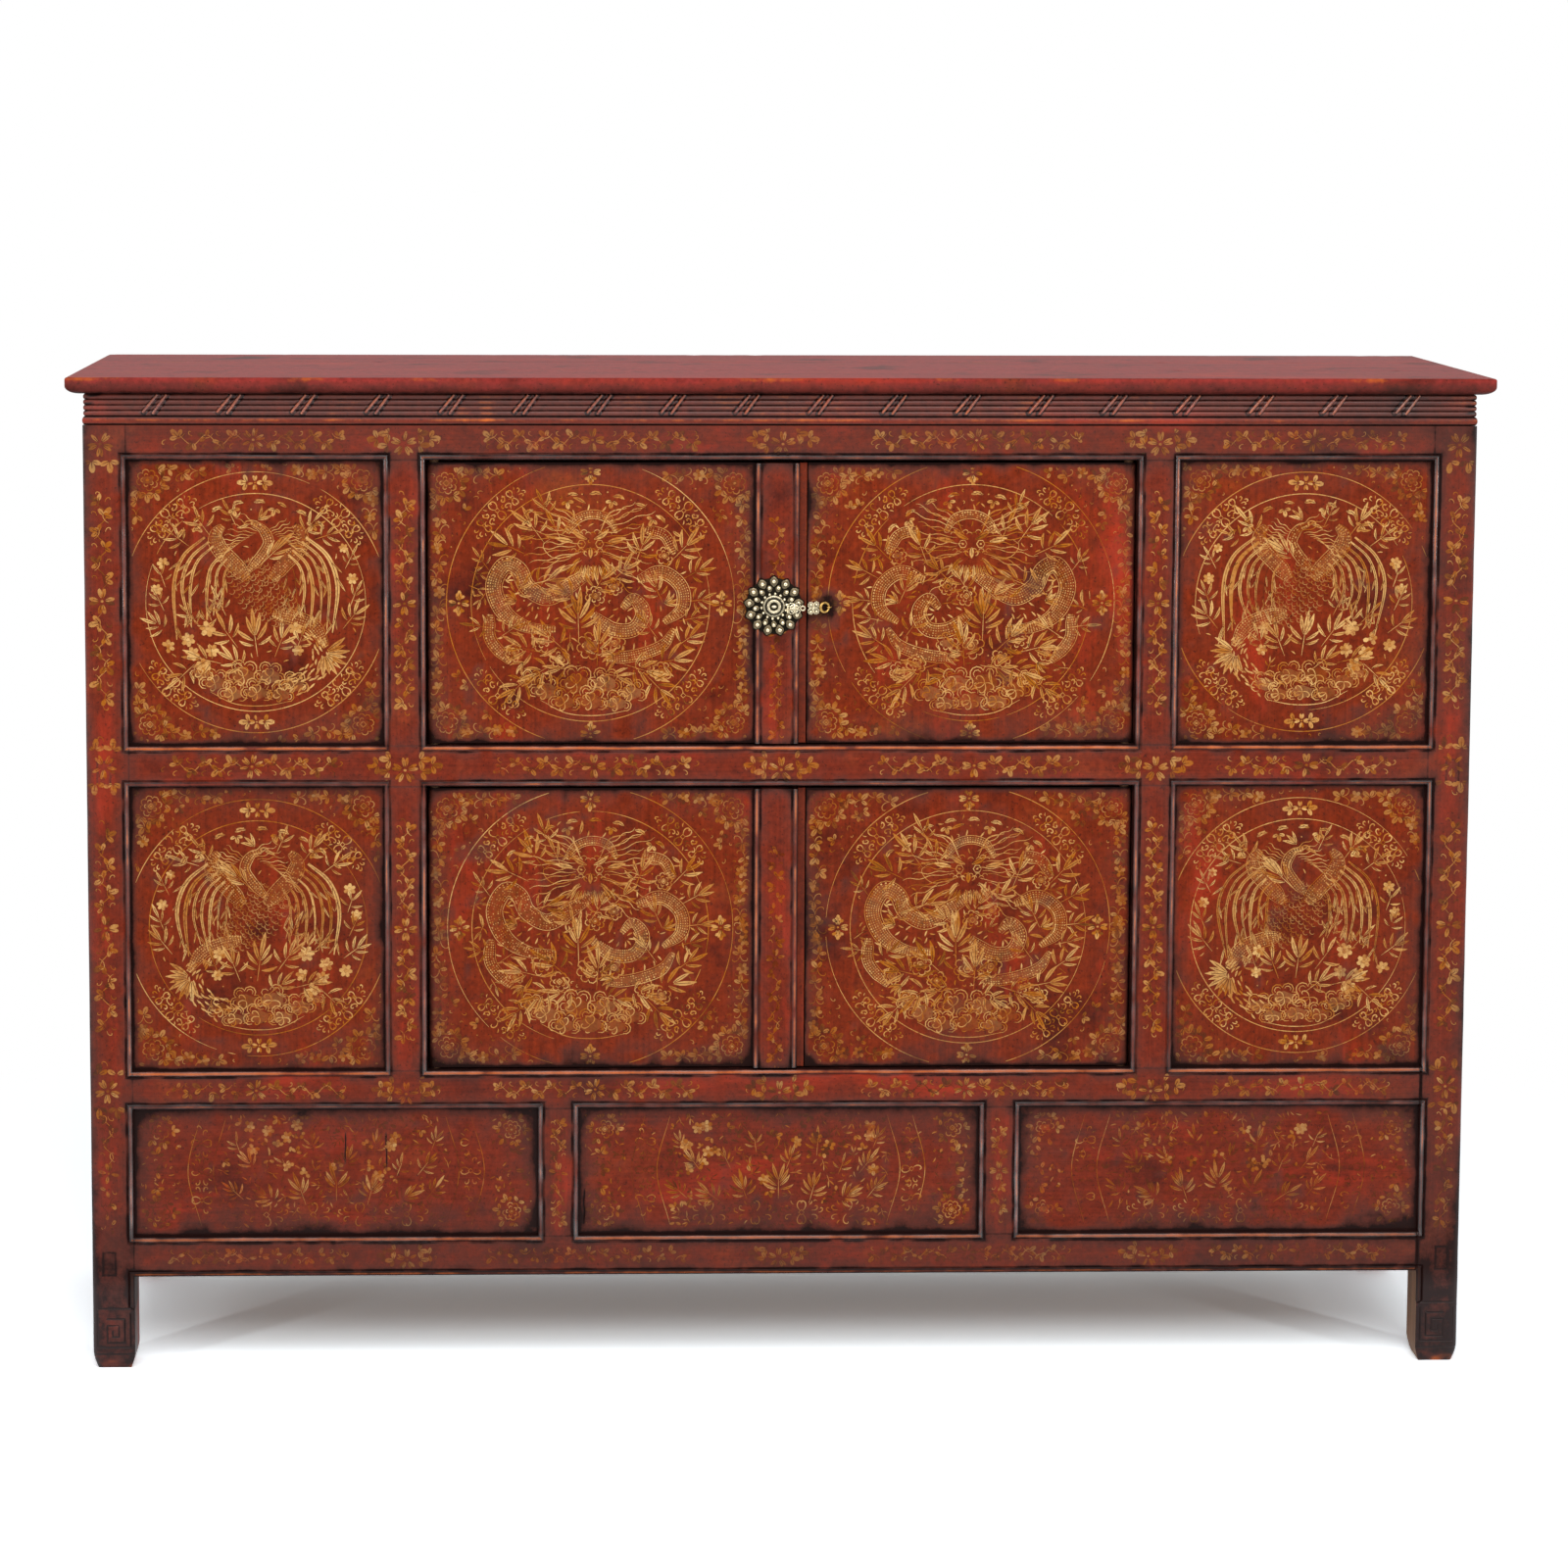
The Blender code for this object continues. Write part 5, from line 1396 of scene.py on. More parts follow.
    # Leaves and flowers round the bird
    for u, v, angle, length, count in (
        (-0.20, 0.76, 2.0, 0.20, 4), (0.46, 0.66, 0.9, 0.26, 4), (0.60, 0.60, 0.3, 0.22, 4), (-0.46, 0.68, 2.2, 0.26, 5),
        (-0.66, 0.56, 2.5, 0.24, 4), (-0.84, 0.20, 1.9, 0.20, 3), (-0.86, -0.02, 2.0, 0.20, 4), (0.88, 0.02, 1.2, 0.20, 4),
        (-0.84, -0.24, 2.5, 0.24, 5), (0.84, -0.18, 0.9, 0.26, 5), (-0.30, -0.06, 2.0, 0.22, 4), (-0.22, -0.34, 2.2, 0.30, 5),
        (0.00, -0.40, 1.7, 0.32, 6), (0.20, -0.42, 1.2, 0.28, 5), (-0.40, -0.54, 2.9, 0.28, 5), (-0.62, -0.62, 3.9, 0.26, 4),
        (-0.14, -0.58, 2.5, 0.26, 5), (0.38, -0.40, 1.2, 0.22, 4), (-0.56, -0.16, 2.3, 0.20, 4), (0.84, 0.36, 1.1, 0.18, 4),
        (-0.44, -0.22, 1.9, 0.20, 3),
    ):
        brush.fan(*at(u, v), way(angle), size * length * 0.86, count + 1)
    brush.pale = 0.6
    for u, v, reach in (
        (-0.44, -0.24, 0.085), (-0.62, -0.34, 0.075), (-0.80, -0.40, 0.07), (-0.58, -0.47, 0.075), (-0.40, -0.44, 0.07),
        (-0.48, -0.58, 0.08), (0.36, -0.24, 0.07), (0.38, -0.44, 0.06), (-0.84, 0.36, 0.065), (-0.90, 0.12, 0.06),
        (0.88, 0.22, 0.06), (0.80, 0.50, 0.05),
    ):
        brush.posy(*at(u, v), size * reach * 0.9)
    brush.pale = 0.45
    paint_rocks(brush, size, at, way)
    paint_garland(brush, size)

    def inside(u, v):
        return math.hypot(u - middle_u, v - middle_v) < size * 0.94

    brush.fill(inside, 9.0, 8.2, 12, "ffl")
    brush.fill(inside, 6.0, 6.0, 5.5, "lld")


def paint_rocks(brush, size, at, way):
    """Scrolled clouds and rocks along the foot of a roundel."""
    for u, v, reach in (
        (-0.38, -0.74, 0.15), (-0.12, -0.68, 0.17), (0.12, -0.68, 0.15), (0.34, -0.76, 0.14), (0.0, -0.83, 0.15),
        (-0.22, -0.84, 0.14), (0.22, -0.85, 0.13), (-0.50, -0.66, 0.11),
    ):
        centre = at(u, v)
        brush.wash([at(u - reach * 0.6, v), centre, at(u + reach * 0.6, v)], size * reach, 0.2)
        for start in (-0.2, 0.9, 2.0, 3.1):
            angle = way(start)
            spot = step_from(*centre, angle, size * reach * 0.6)
            brush.arc(*spot, size * reach * 0.36, angle - 1.8, angle + 1.8, 1.3)
            brush.arc(*spot, size * reach * 0.2, angle - 1.8, angle + 1.8, 1.0)
        for start in (0.4, 1.6, 2.8, 4.2, 5.2):
            brush.curl(*centre, way(start), size * reach * 0.6, 5.0 if start < 2 else -5.0, 1.3)
    brush.line(smooth_path([at(-0.42, -0.82), at(-0.2, -0.93), at(0.06, -0.95), at(0.3, -0.91)], 4), 1.1)


def paint_garland(brush, size):
    """Small leaves and curls hung along the inside of a roundel's top."""
    u, v = brush.middle
    for i in range(17):
        angle = 0.72 + 1.72 * i / 16
        spot = step_from(u, v, angle, size * 0.92)
        brush.leaf(*spot, angle + (1.35 if i % 2 else -1.35), 10, 0.4, 0.3)
        if i % 4 == 2:
            brush.trefoil(*step_from(u, v, angle, size * 0.88), angle + math.pi, 8)


def paint_dragon(brush, radius, flip):
    """A dragon seen from the front, its scaled coils lying among leaves, peonies and clouds."""
    size, at, way = placer(brush, radius, flip)
    middle_u, middle_v = brush.middle
    brush.pale = 0.5
    coils = (
        (0.15, ((0.02, 0.28), (-0.16, 0.16), (-0.36, 0.05), (-0.53, 0.14), (-0.60, 0.28), (-0.72, 0.32), (-0.81, 0.14),
                (-0.72, -0.08), (-0.53, -0.20), (-0.30, -0.22))),
        (0.10, ((-0.84, -0.10), (-0.84, -0.30), (-0.68, -0.50))),
        (0.13, ((0.02, -0.10), (0.18, -0.22), (0.36, -0.22), (0.44, -0.08), (0.36, 0.04), (0.27, -0.04))),
        (0.12, ((0.40, 0.20), (0.60, 0.26), (0.76, 0.14), (0.77, -0.04), (0.62, -0.16))),
        (0.10, ((0.14, -0.47), (0.38, -0.44), (0.60, -0.36), (0.70, -0.22))),
        (0.09, ((0.46, 0.62), (0.62, 0.57), (0.70, 0.42))),
        (0.07, ((-0.20, 0.60), (-0.11, 0.71), (0.02, 0.75), (0.15, 0.71), (0.22, 0.60))),
    )
    for width, path in coils:
        places = brush.scales([at(u, v) for u, v in path], size * width * 0.82)
        for k in range(2, len(places) - 2, 5):
            heading = heading_at(places, k) + flip * 1.9
            spot = step_from(*places[k], heading, size * width * 0.55)
            brush.leaf(*spot, heading - flip * 0.7, 6.5, 0.3, 0.4)
    brush.pale = 0.32
    # Head seen from the front: brows, eyes, snout, jaw, horns, ears, beard, whiskers and mane
    for side in (-1, 1):
        out = way(0.0) if side > 0 else way(math.pi)
        spin = flip * side
        brush.arc(*at(side * 0.075, 0.50), size * 0.034, 0, TAU, 1.2)
        brush.dot(*at(side * 0.075, 0.50), 2.4)
        brush.leaf(*at(side * 0.03, 0.54), out + spin * 0.55, size * 0.15, 0.3, spin * 0.7)
        brush.curl(*at(side * 0.03, 0.40), out + spin * 0.2, size * 0.05, spin * 5.5, 1.4)
        brush.leaf(*at(side * 0.09, 0.38), out - spin * 0.9, size * 0.12, 0.34, -spin * 0.5)
        brush.leaf(*at(side * 0.15, 0.52), out + spin * 0.2, size * 0.15, 0.34)
        brush.line(smooth_path([at(side * 0.08, 0.60), at(side * 0.16, 0.76), at(side * 0.30, 0.80)], 4), 1.6)
        brush.line(smooth_path([at(side * 0.10, 0.42), at(side * 0.30, 0.38), at(side * 0.40, 0.48), at(side * 0.34, 0.54)], 4))
        for i in range(18):
            start = at(side * (0.12 + 0.05 * math.sin(i * 2.1)), 0.70 - 0.024 * i)
            brush.wavy(*start, out + spin * (0.55 - 0.07 * i), size * (0.30 + 0.05 * (i % 4)), 1.8, 0.95)
        for i in range(6):
            spot = at(side * (0.02 + 0.025 * i), 0.32)
            brush.leaf(*spot, -math.pi / 2 + spin * 0.14 * i, size * (0.13 - 0.008 * i), 0.24)
        for i in range(5):
            brush.arc(*at(side * (0.02 + 0.034 * i), 0.575 + 0.02 * (i % 2)), size * 0.025, 0.2, 2.9, 1.0)
            brush.arc(*at(side * (0.02 + 0.030 * i), 0.44 - 0.02 * (i % 2)), size * 0.022, 0.2, 2.9, 1.0)
    brush.leaf(*at(0, 0.47), -math.pi / 2, size * 0.09, 0.5)
    for u, v, angle in ((-0.62, 0.02, 2.8), (0.62, 0.0, 0.5), (-0.56, -0.50, 3.9), (0.20, -0.44, 3.4)):
        for i in range(4):
            brush.leaf(*at(u, v), way(angle + (i - 1.5) * 0.42), size * 0.12, 0.24, 0.8)
    # Peonies, leaves and posies between the coils
    brush.pale = 0.28
    for u, v, angle, length, count in (
        (-0.44, 0.58, 2.2, 0.30, 5), (-0.60, 0.44, 2.7, 0.30, 5), (-0.36, 0.76, 2.0, 0.22, 4), (-0.26, 0.56, 2.0, 0.24, 4),
        (0.74, 0.42, 0.8, 0.28, 5), (0.84, 0.24, 0.5, 0.24, 5), (0.86, 0.02, 0.1, 0.22, 5), (-0.44, 0.16, 0.4, 0.28, 5),
        (0.40, 0.40, 1.2, 0.28, 5), (0.04, 0.12, 1.0, 0.28, 5), (0.22, 0.22, 0.8, 0.26, 5), (-0.10, -0.22, 1.6, 0.34, 7),
        (-0.26, -0.36, 2.4, 0.32, 5), (0.06, -0.44, 1.5, 0.32, 6), (-0.48, -0.40, 2.9, 0.30, 5), (-0.56, -0.66, 3.9, 0.28, 5),
        (-0.36, -0.54, 3.7, 0.30, 5), (0.36, -0.54, -0.3, 0.32, 5), (0.60, -0.50, 0.2, 0.30, 5), (0.76, -0.34, 0.6, 0.26, 5),
        (0.52, -0.66, -0.8, 0.28, 5), (0.14, -0.60, -0.2, 0.26, 5), (-0.16, -0.54, 3.3, 0.28, 5), (-0.88, -0.20, 3.0, 0.20, 4),
        (0.58, 0.06, 2.0, 0.24, 5), (-0.12, 0.02, 2.5, 0.26, 5), (-0.62, 0.08, 1.0, 0.22, 4), (0.52, -0.24, 2.2, 0.24, 5),
        (-0.72, -0.26, 0.6, 0.24, 5), (0.80, -0.14, 0.2, 0.20, 4), (-0.88, 0.32, 2.2, 0.18, 4),
    ):
        brush.fan(*at(u, v), way(angle), size * length * 0.84, count + 1)
    brush.pale = 0.32
    for u, v, reach in (
        (-0.40, -0.32, 0.09), (0.00, -0.36, 0.11), (0.04, 0.06, 0.08), (0.60, -0.58, 0.08), (0.46, -0.52, 0.08),
        (-0.26, -0.46, 0.08), (-0.64, -0.42, 0.07), (0.62, 0.40, 0.07), (0.20, -0.34, 0.09), (0.20, 0.14, 0.07),
    ):
        brush.peony(*at(u, v), size * reach)
    paint_rocks(brush, size, at, way)
    paint_garland(brush, size)

    def inside(u, v):
        return math.hypot(u - middle_u, v - middle_v) < size * 0.95

    brush.pale = 0.15
    brush.fill(inside, 7.0, 6.2, 14, "ffl")
    brush.fill(inside, 5.2, 4.2, 6.0, "llcd")


def paint_unit(brush, u, v, angle, reach, size, petals=4):
    """One repeat of the running ornament: a blossom with trefoils and tendrils to both sides."""
    cosine, sine = math.cos(angle), math.sin(angle)

    def at(along, across):
        return u + along * cosine - across * sine, v + along * sine + across * cosine

    brush.blossom(u, v, size * 0.92, petals, angle + (0.0 if petals == 4 else 0.3))
    for side in (-1, 1):
        heading = angle if side > 0 else angle + math.pi
        along, across = size * 1.5, brush.dice.choice((-1, 1))
        stem = [at(side * size * 0.8, 0.0)]
        while along < reach - size * 0.3:
            stem.append(at(side * along, across * size * 0.42))
            lean = across * side * 0.9 + brush.dice.uniform(-0.4, 0.4)
            brush.trefoil(*at(side * along, across * size * 0.2), heading + lean, size * brush.dice.uniform(0.62, 0.82))
            foot = at(side * (along - size * 0.5), across * size * 0.5)
            brush.curl(*foot, heading - across * side * 1.1, size * 0.9, across * side * 4.4, 1.1)
            brush.curl(*at(side * along, -across * size * 0.3), heading, size * 0.5, -across * side * 5.0, 1.05)
            along += size * brush.dice.uniform(0.95, 1.15)
            across = -across
        if len(stem) > 2:
            brush.line(smooth_path(stem, 4), 1.1)
        brush.curl(*at(side * reach * 0.95, 0), heading, size * 0.5, 5.0, 1.05)


def paint_frame():
    """The running ornament on the front's rails, stiles and posts."""
    brush = Brush(901, (-POST_OUT, POST_OUT, 0.1, RAIL_Z["top"][1]), 2.0, 0.08, 0.12, 0.7, 0.35)
    places = [sum(OPENINGS["upper", name][:2]) / 2 / MM for name in ("left", "right")]
    door = (STILE_X["upper"][0] + SEAM_X) / 2 / MM
    for row, size, lift in (("top", 13.0, 3.0), ("middle", 13.5, 0.0), ("lower", 12.5, 0.0), ("bottom", 11.0, 0.5)):
        v = sum(RAIL_Z[row]) / 2 / MM + lift
        brush.loss, brush.cover = (0.15, 0.55) if row == "bottom" else (0.08, 0.72)
        for u, reach in ((places[0], 92), (-door, 108), (door, 108), (places[1], 92)):
            paint_unit(brush, u + brush.dice.uniform(-6, 6), v, 0.0, reach, size, brush.dice.choice((4, 6)))
        for u in (-sum(STILE_X["upper"]) / 2 / MM, 0.0, sum(STILE_X["upper"]) / 2 / MM):
            brush.blossom(u, v - 4, size, 5, 0.3)
            for side in (-1, 1):
                for run, tall in ((1.1, 0.5), (1.2, -0.4), (2.0, 0.1)):
                    brush.trefoil(u + side * size * run, v + tall * size, 0 if side > 0 else math.pi, size * 0.85)
                brush.curl(u + side * size * 2.6, v - 4, 0.5 if side > 0 else 2.6, size * 0.4, side * 5.0)
    brush.loss, brush.cover = 0.08, 0.8
    for side in (-1, 1):
        u = side * (POST_IN + POST_OUT + 0.0075) / 2 / MM
        for v in (795, 460):
            paint_unit(brush, u, v, math.pi / 2, 112, 14.5)
        for v in (954, 626, 291):
            brush.blossom(u, v, 13, 5, 0.9)
            for step in (-1, 1):
                for across in (-9, 9):
                    brush.trefoil(u + across, v + step * 17, step * math.pi / 2, 12)
                brush.curl(u, v + step * 26, step * math.pi / 2, 8, 5.0)
        brush.loss = 0.35
        paint_unit(brush, u, 205, math.pi / 2, 62, 12)
        brush.loss = 0.06
        for row in ("upper", "lower"):
            middle = sum(ROW_Z[row]) / 2 / MM
            paint_unit(brush, side * sum(STILE_X[row]) / 2 / MM, middle, math.pi / 2, 116, 13)
        paint_unit(brush, side * sum(STILE_X["base"]) / 2 / MM, sum(ROW_Z["base"]) / 2 / MM, math.pi / 2, 54, 11)
    return brush


def paint_meeting_stile(z_span, seed):
    """Rubbed remains of the running ornament."""
    brush = Brush(seed, (MEETING_X[0] + 0.0075, MEETING_X[1] - 0.0075, *z_span), 0.5, 0.3, 0.0, 0.45, 0.4)
    paint_unit(brush, sum(MEETING_X) / 2 / MM, sum(z_span) / 2 / MM - 30, math.pi / 2, 118, 10.5)
    return brush


def paint_base(brush):
    """A low panel: paired lines near the ends, knots between them, sprays in the middle."""
    u, v = brush.middle
    half_u, half_v = (brush.bounds[1] - brush.bounds[0]) / 2, (brush.bounds[3] - brush.bounds[2]) / 2
    for side in (-1, 1):
        for reach in (0.76, 0.63):
            path = [(u + side * (half_u * reach - 14 * abs(lift)), v + half_v * lift) for lift in (0.95, 0.0, -0.95)]
            brush.line(smooth_path(path, 4), 1.0)
        for lift in (-0.5, 0.0, 0.5):
            brush.knot(u + side * half_u * 0.69, v + lift * half_v, math.pi / 2, 20)
        for lift in (-1, 1):
            spot = u + side * half_u * 0.9, v + lift * half_v * 0.72
            brush.peony(*spot, 9)
            for i in range(6):
                brush.trefoil(*step_from(*spot, i, 12), i, 8)
        for lift in (-0.3, 0.0, 0.3):
            brush.trefoil(u + side * half_u * 0.92, v + lift * half_v, lift * 4, 9)
    brush.pale += 0.15
    for share, lift, angle, length, count in (
        (0.0, -0.36, 1.57, 32, 9), (-0.17, -0.46, 1.9, 28, 8), (0.17, -0.46, 1.3, 28, 8), (-0.32, -0.52, 2.5, 28, 8),
        (0.32, -0.54, 0.6, 28, 8), (-0.42, 0.05, 2.2, 24, 7), (0.44, 0.02, 0.9, 24, 7), (0.20, 0.36, 1.5, 24, 7),
        (-0.12, 0.40, 1.7, 22, 7), (0.48, -0.42, 0.9, 22, 7), (-0.5, -0.42, 2.4, 22, 7), (0.50, 0.46, 1.2, 20, 6),
        (-0.5, 0.40, 1.9, 20, 6), (0.05, 0.1, 1.2, 22, 7), (-0.26, 0.1, 2.0, 20, 6), (0.32, 0.0, 1.2, 20, 6),
    ):
        brush.fan(u + share * half_u, v + lift * half_v, angle, length * 0.85, count, 2.3, 0.24)
    for i in range(16):
        brush.posy(u + half_u * brush.dice.uniform(-0.52, 0.52), v + half_v * brush.dice.uniform(-0.2, 0.85), 6.5)
    for share in (-0.36, -0.12, 0.12, 0.36):
        brush.knot(u + share * half_u, v - half_v * 0.76, 0.0, 24)
    brush.pale -= 0.25
    brush.fill(lambda a, b: abs(a - u) < half_u * 0.58, 7, 5.6, 9, "fflt")
    brush.fill(lambda a, b: abs(a - u) < half_u * 0.58 or abs(a - u) > half_u * 0.8, 5.4, 4.4, 6, "lltc")


def gild(name, brush, plane, body, face=None):
    """Turns a brush's strokes into paint on a plane, on the body that carries it."""
    paint = bpy.context.scene.cabinet_gilding.paint
    spots = np.array([(u * MM, v * MM) for run, *rest in brush.strokes for u, v, half in run])
    across, up = spots.T
    grime = face(across, up)[2] if face else np.zeros(len(spots))
    dull = clamp(0.4 + waver(across, up, 0.028, 91) + 0.5 * waver(across, up, 0.008, 92))
    dull *= brush.tarnish * (0.5 + 0.8 * clamp((0.5 - up) / 0.4))
    runs, first = [], 0
    for run, pale, cover, lift in brush.strokes:
        places = [(u * MM, plane, v * MM) for u, v, half in run]
        marks = {"half_width": [0.87 * half * MM for u, v, half in run], "cover": cover, "lift": lift * paint}
        marks["pale"] = (pale - dull[first : first + len(run)]).tolist()
        marks["grime"] = grime[first : first + len(run)].tolist()
        first += len(run)
        runs.append((places, marks, False))
    thing = line_object(name, runs)
    grow(thing, "brushwork", Plane=plane, Material=MATERIALS["worn_gold_paint"])
    return settle(thing, body, "painted_panel")


# Operators


class CabinetOperator:
    bl_options = {"REGISTER", "UNDO"}

    def execute(self, context):
        self.make(context.scene)
        return {"FINISHED"}


class CABINET_OT_finishes(CabinetOperator, bpy.types.Operator):
    """Makes the lacquers, gold paint, bare wood and brass, and the node trees"""

    bl_idname = "cabinet.finishes"
    bl_label = "Finishes"

    def make(self, scene):
        MATERIALS.update(make_materials())
        for tree in (brushwork_tree(), wirework_tree(), row_tree(), ring_tree()):
            TREES[tree.name] = tree


class CABINET_OT_front_frame(CabinetOperator, bpy.types.Operator):
    """Makes the front posts, rails and stiles with their beads"""

    bl_idname = "cabinet.front_frame"
    bl_label = "Front frame"

    def make(self, scene):
        level = (MATERIALS["red_lacquer_level"], MATERIALS["old_bare_wood"])
        upright = (MATERIALS["red_lacquer_upright"], MATERIALS["old_bare_upright"])
        edges_x = [x for box in OPENINGS.values() for x in box[:2]]
        edges_z = [z for box in OPENINGS.values() for z in box[2:]] + [RAIL_Z["bottom"][0]]
        for name, side in (("left", -1), ("right", 1)):
            low, high = sorted((side * POST_IN, side * POST_OUT))
            fine_x = beside([side * POST_IN]) + beside([side * POST_OUT], ARRIS_LINES)
            fine_z = beside(edges_z) + list(np.arange(0, 0.07, 0.0007)) + beside([0.098, 0.122, 0.607, 0.631], (0.4, 0.8, 1.3))
            across = grid_lines(low, high, 0.0007, fine_x)
            up = grid_lines(0.0, RAIL_Z["top"][1], 0.006, fine_z)
            shape = draw_in_foot(low, high, FRONT, FRONT + POST_DEPTH)
            shell = relief_shell(across, up, FRONT, POST_DEPTH, post_face(side), 0, shape, 0)
            if side > 0:
                # Lacquer worn off the inner side of this foot
                for number, corners in enumerate(shell["faces"]):
                    spots = shell["points"][corners]
                    deep = np.ptp(spots[:, 1]) > POST_DEPTH / 2
                    if deep and spots[:, 0].max() < POST_IN + 0.005 and spots[:, 2].max() < RAIL_Z["bottom"][0]:
                        shell["slots"][number] = 1
            settle(build(f"front_post_{name}", [shell], upright), "carcase", "red_lacquer", f"post_front_{name}")
        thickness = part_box("rail_front_top")[1][1] - FRONT
        for row, (low, high) in RAIL_Z.items():
            across = grid_lines(-POST_IN, POST_IN, 0.006, beside(edges_x))
            up = grid_lines(low, high, 0.004, beside([low, high]))
            shell = relief_shell(across, up, FRONT, thickness, frame_face)
            settle(build(f"front_rail_{row}", [shell], level), "carcase", "red_lacquer", f"rail_front_{row}")
        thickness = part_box("stile_upper_left")[1][1] - FRONT
        for row, (near, far) in STILE_X.items():
            low, high = ROW_Z[row]
            for name, side in (("left", -1), ("right", 1)):
                edges = sorted((side * near, side * far))
                across = grid_lines(*edges, 0.004, beside(edges))
                up = grid_lines(low, high, 0.006, beside([low, high], ARRIS_LINES))
                shell = relief_shell(across, up, FRONT, thickness, frame_face)
                settle(build(f"front_stile_{row}_{name}", [shell], upright), "carcase", "red_lacquer", f"stile_{row}_{name}")


class CABINET_OT_panels(CabinetOperator, bpy.types.Operator):
    """Makes the fixed painted panels of the front"""

    bl_idname = "cabinet.panels"
    bl_label = "Front panels"

    def make(self, scene):
        cracks = {("base", "left"): ((-0.4455, 0.214, 0.242), (-0.4035, 0.206, 0.244)), ("base", "middle"): ((-0.2005, 0.15, 0.185),)}
        for seed, ((row, place), box) in enumerate(OPENINGS.items()):
            if row != "base" and place == "middle":
                continue
            node = f"panel_{row}_{place}"
            (low_x, high_x), plane, thickness, (low, high) = local_box(node, 0)
            splits = cracks.get((row, place), ())
            fine = beside([split[0] for split in splits], (0.3, 0.6, 1.0, 1.6))
            fine_x = beside(box[:2], (1, 3, 6, 10, 16)) + fine
            across = grid_lines(low_x, high_x, 0.006, fine_x)
            up = grid_lines(low, high, 0.006, beside(box[2:], (1, 3, 6, 10, 16)))
            PANEL_FACES[row, place] = panel_face(box, 200 + 7 * seed, splits, None, 7.0 if row == "base" else 3.0)
            shell = relief_shell(across, up, plane, thickness, PANEL_FACES[row, place])
            name = "base_panel_lacquer" if row == "base" else "painted_panel_lacquer"
            materials = (MATERIALS[name], MATERIALS["old_bare_wood"])
            settle(build(f"painted_{node}", [shell], materials), "carcase", "painted_panel", node)


class CABINET_OT_doors(CabinetOperator, bpy.types.Operator):
    """Makes the four doors with their pintles, and the beaded meeting stiles"""

    bl_idname = "cabinet.doors"
    bl_label = "Doors"

    def make(self, scene):
        painted = (MATERIALS["painted_panel_lacquer"], MATERIALS["old_bare_upright"])
        upright = (MATERIALS["red_lacquer_upright"], MATERIALS["old_bare_upright"])
        half = (PANEL_BACK - PANEL_FRONT) / 2
        for row in ("upper", "lower"):
            low_z, high_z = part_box(f"meeting_stile_{row}")[0][2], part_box(f"meeting_stile_{row}")[1][2]
            for name, side in (("left", -1), ("right", 1)):
                node = f"door_{row}_{name}"
                low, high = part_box(node)
                seen = door_rect(row, name)
                stain = (0.0475, 0.788, 15.0) if row == "upper" and side > 0 else None
                painted_face = panel_face(seen, 330 + 11 * side + len(name) + ord(row[0]), (), stain)
                PANEL_FACES[row, f"door_{name}"] = painted_face
                hinge_x = low[0] if side < 0 else high[0]

                def face(x, z):
                    depth, *marks = painted_face(x, z)
                    return depth + arris_round(np.abs(x - hinge_x) / MM, half / MM - 0.1), *marks

                fine = beside([hinge_x], ARRIS_LINES) + beside([seen[0], seen[1]], (1, 3, 6, 10, 16))
                across = grid_lines(low[0], high[0], 0.005, fine)
                up = grid_lines(low_z, high_z, 0.006, beside([low_z, high_z], (0.3, 1, 3, 6, 10, 16)))
                shells = [relief_shell(across, up, PANEL_FRONT, 2 * half, face, 0, round_hinge(hinge_x, half))]
                pivot = (hinge_x - side * half, PANEL_FRONT + half)
                for start, end in ((low[2], low_z + 0.002), (high_z - 0.002, high[2])):
                    shells.append(pintle_shell(pivot, start, end))
                settle(build(f"painted_{node}", shells, painted), f"{row}_{name}_door", "painted_panel", node)
            stile = (*MEETING_X, low_z, high_z)

            def stile_face(x, z):
                run = np.minimum(x - stile[0], stile[1] - x) / MM
                run = run + (0.2 * waver(x, z, 0.05, 51) + 0.1 * waver(x, z, 0.01, 52)) * clamp(run / 1.5)
                # Its beads take the painted highlight of a bead half facing up
                wear, grime, polish = bead_marks(run, x, z, 0.5)
                ends = np.minimum(z - stile[2], stile[3] - z) / MM
                # Painted shade towards its ends, where it meets the rails
                grime += 0.06 + 0.6 * np.exp(-ends / 5)
                return bead_depth(run) + arris_round(ends, 0.8), wear, grime, polish

            across = grid_lines(*MEETING_X, 0.004, beside(MEETING_X))
            up = grid_lines(low_z, high_z, 0.006, beside([low_z, high_z], ARRIS_LINES))
            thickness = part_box(f"meeting_stile_{row}")[1][1] - FRONT
            shells = [relief_shell(across, up, FRONT, thickness, stile_face)]
            lip = (MEETING_X[1] - 0.0005, SEAM_X, low_z, high_z)

            def lip_face(x, z):
                depth, wear, grime, polish = soft_face(lip, 0.5)(x, z)
                # The lip is darkened all over: painted shade in the gap beside the meeting stile
                return depth, wear, grime + 0.2, polish

            across = grid_lines(lip[0], lip[1], 0.002, beside(lip[:2], (0.2, 0.5)))
            strip = relief_shell(across, up, PANEL_FRONT, PANEL_BACK - PANEL_FRONT, lip_face)
            strip["slots"] = [2 if slot == 0 else slot for slot in strip["slots"]]
            shells.append(strip)
            settle(
                build(f"beaded_meeting_stile_{row}", shells, (*upright, painted[0])),
                f"{row}_left_door",
                "red_lacquer",
                f"meeting_stile_{row}",
            )


def round_hinge(hinge_x, half):
    """Rounds the back of a door's hinge edge."""

    def shape(points):
        back = points[:, 1] > PANEL_FRONT + half * 1.9
        edge = np.abs(points[:, 0] - hinge_x)
        inward = np.clip(half - edge, 0, half)
        points[:, 1] -= np.where(back, np.maximum(half - 0.0001 - np.sqrt(np.maximum(half ** 2 - inward ** 2, 0)), 0), 0)

    return shape


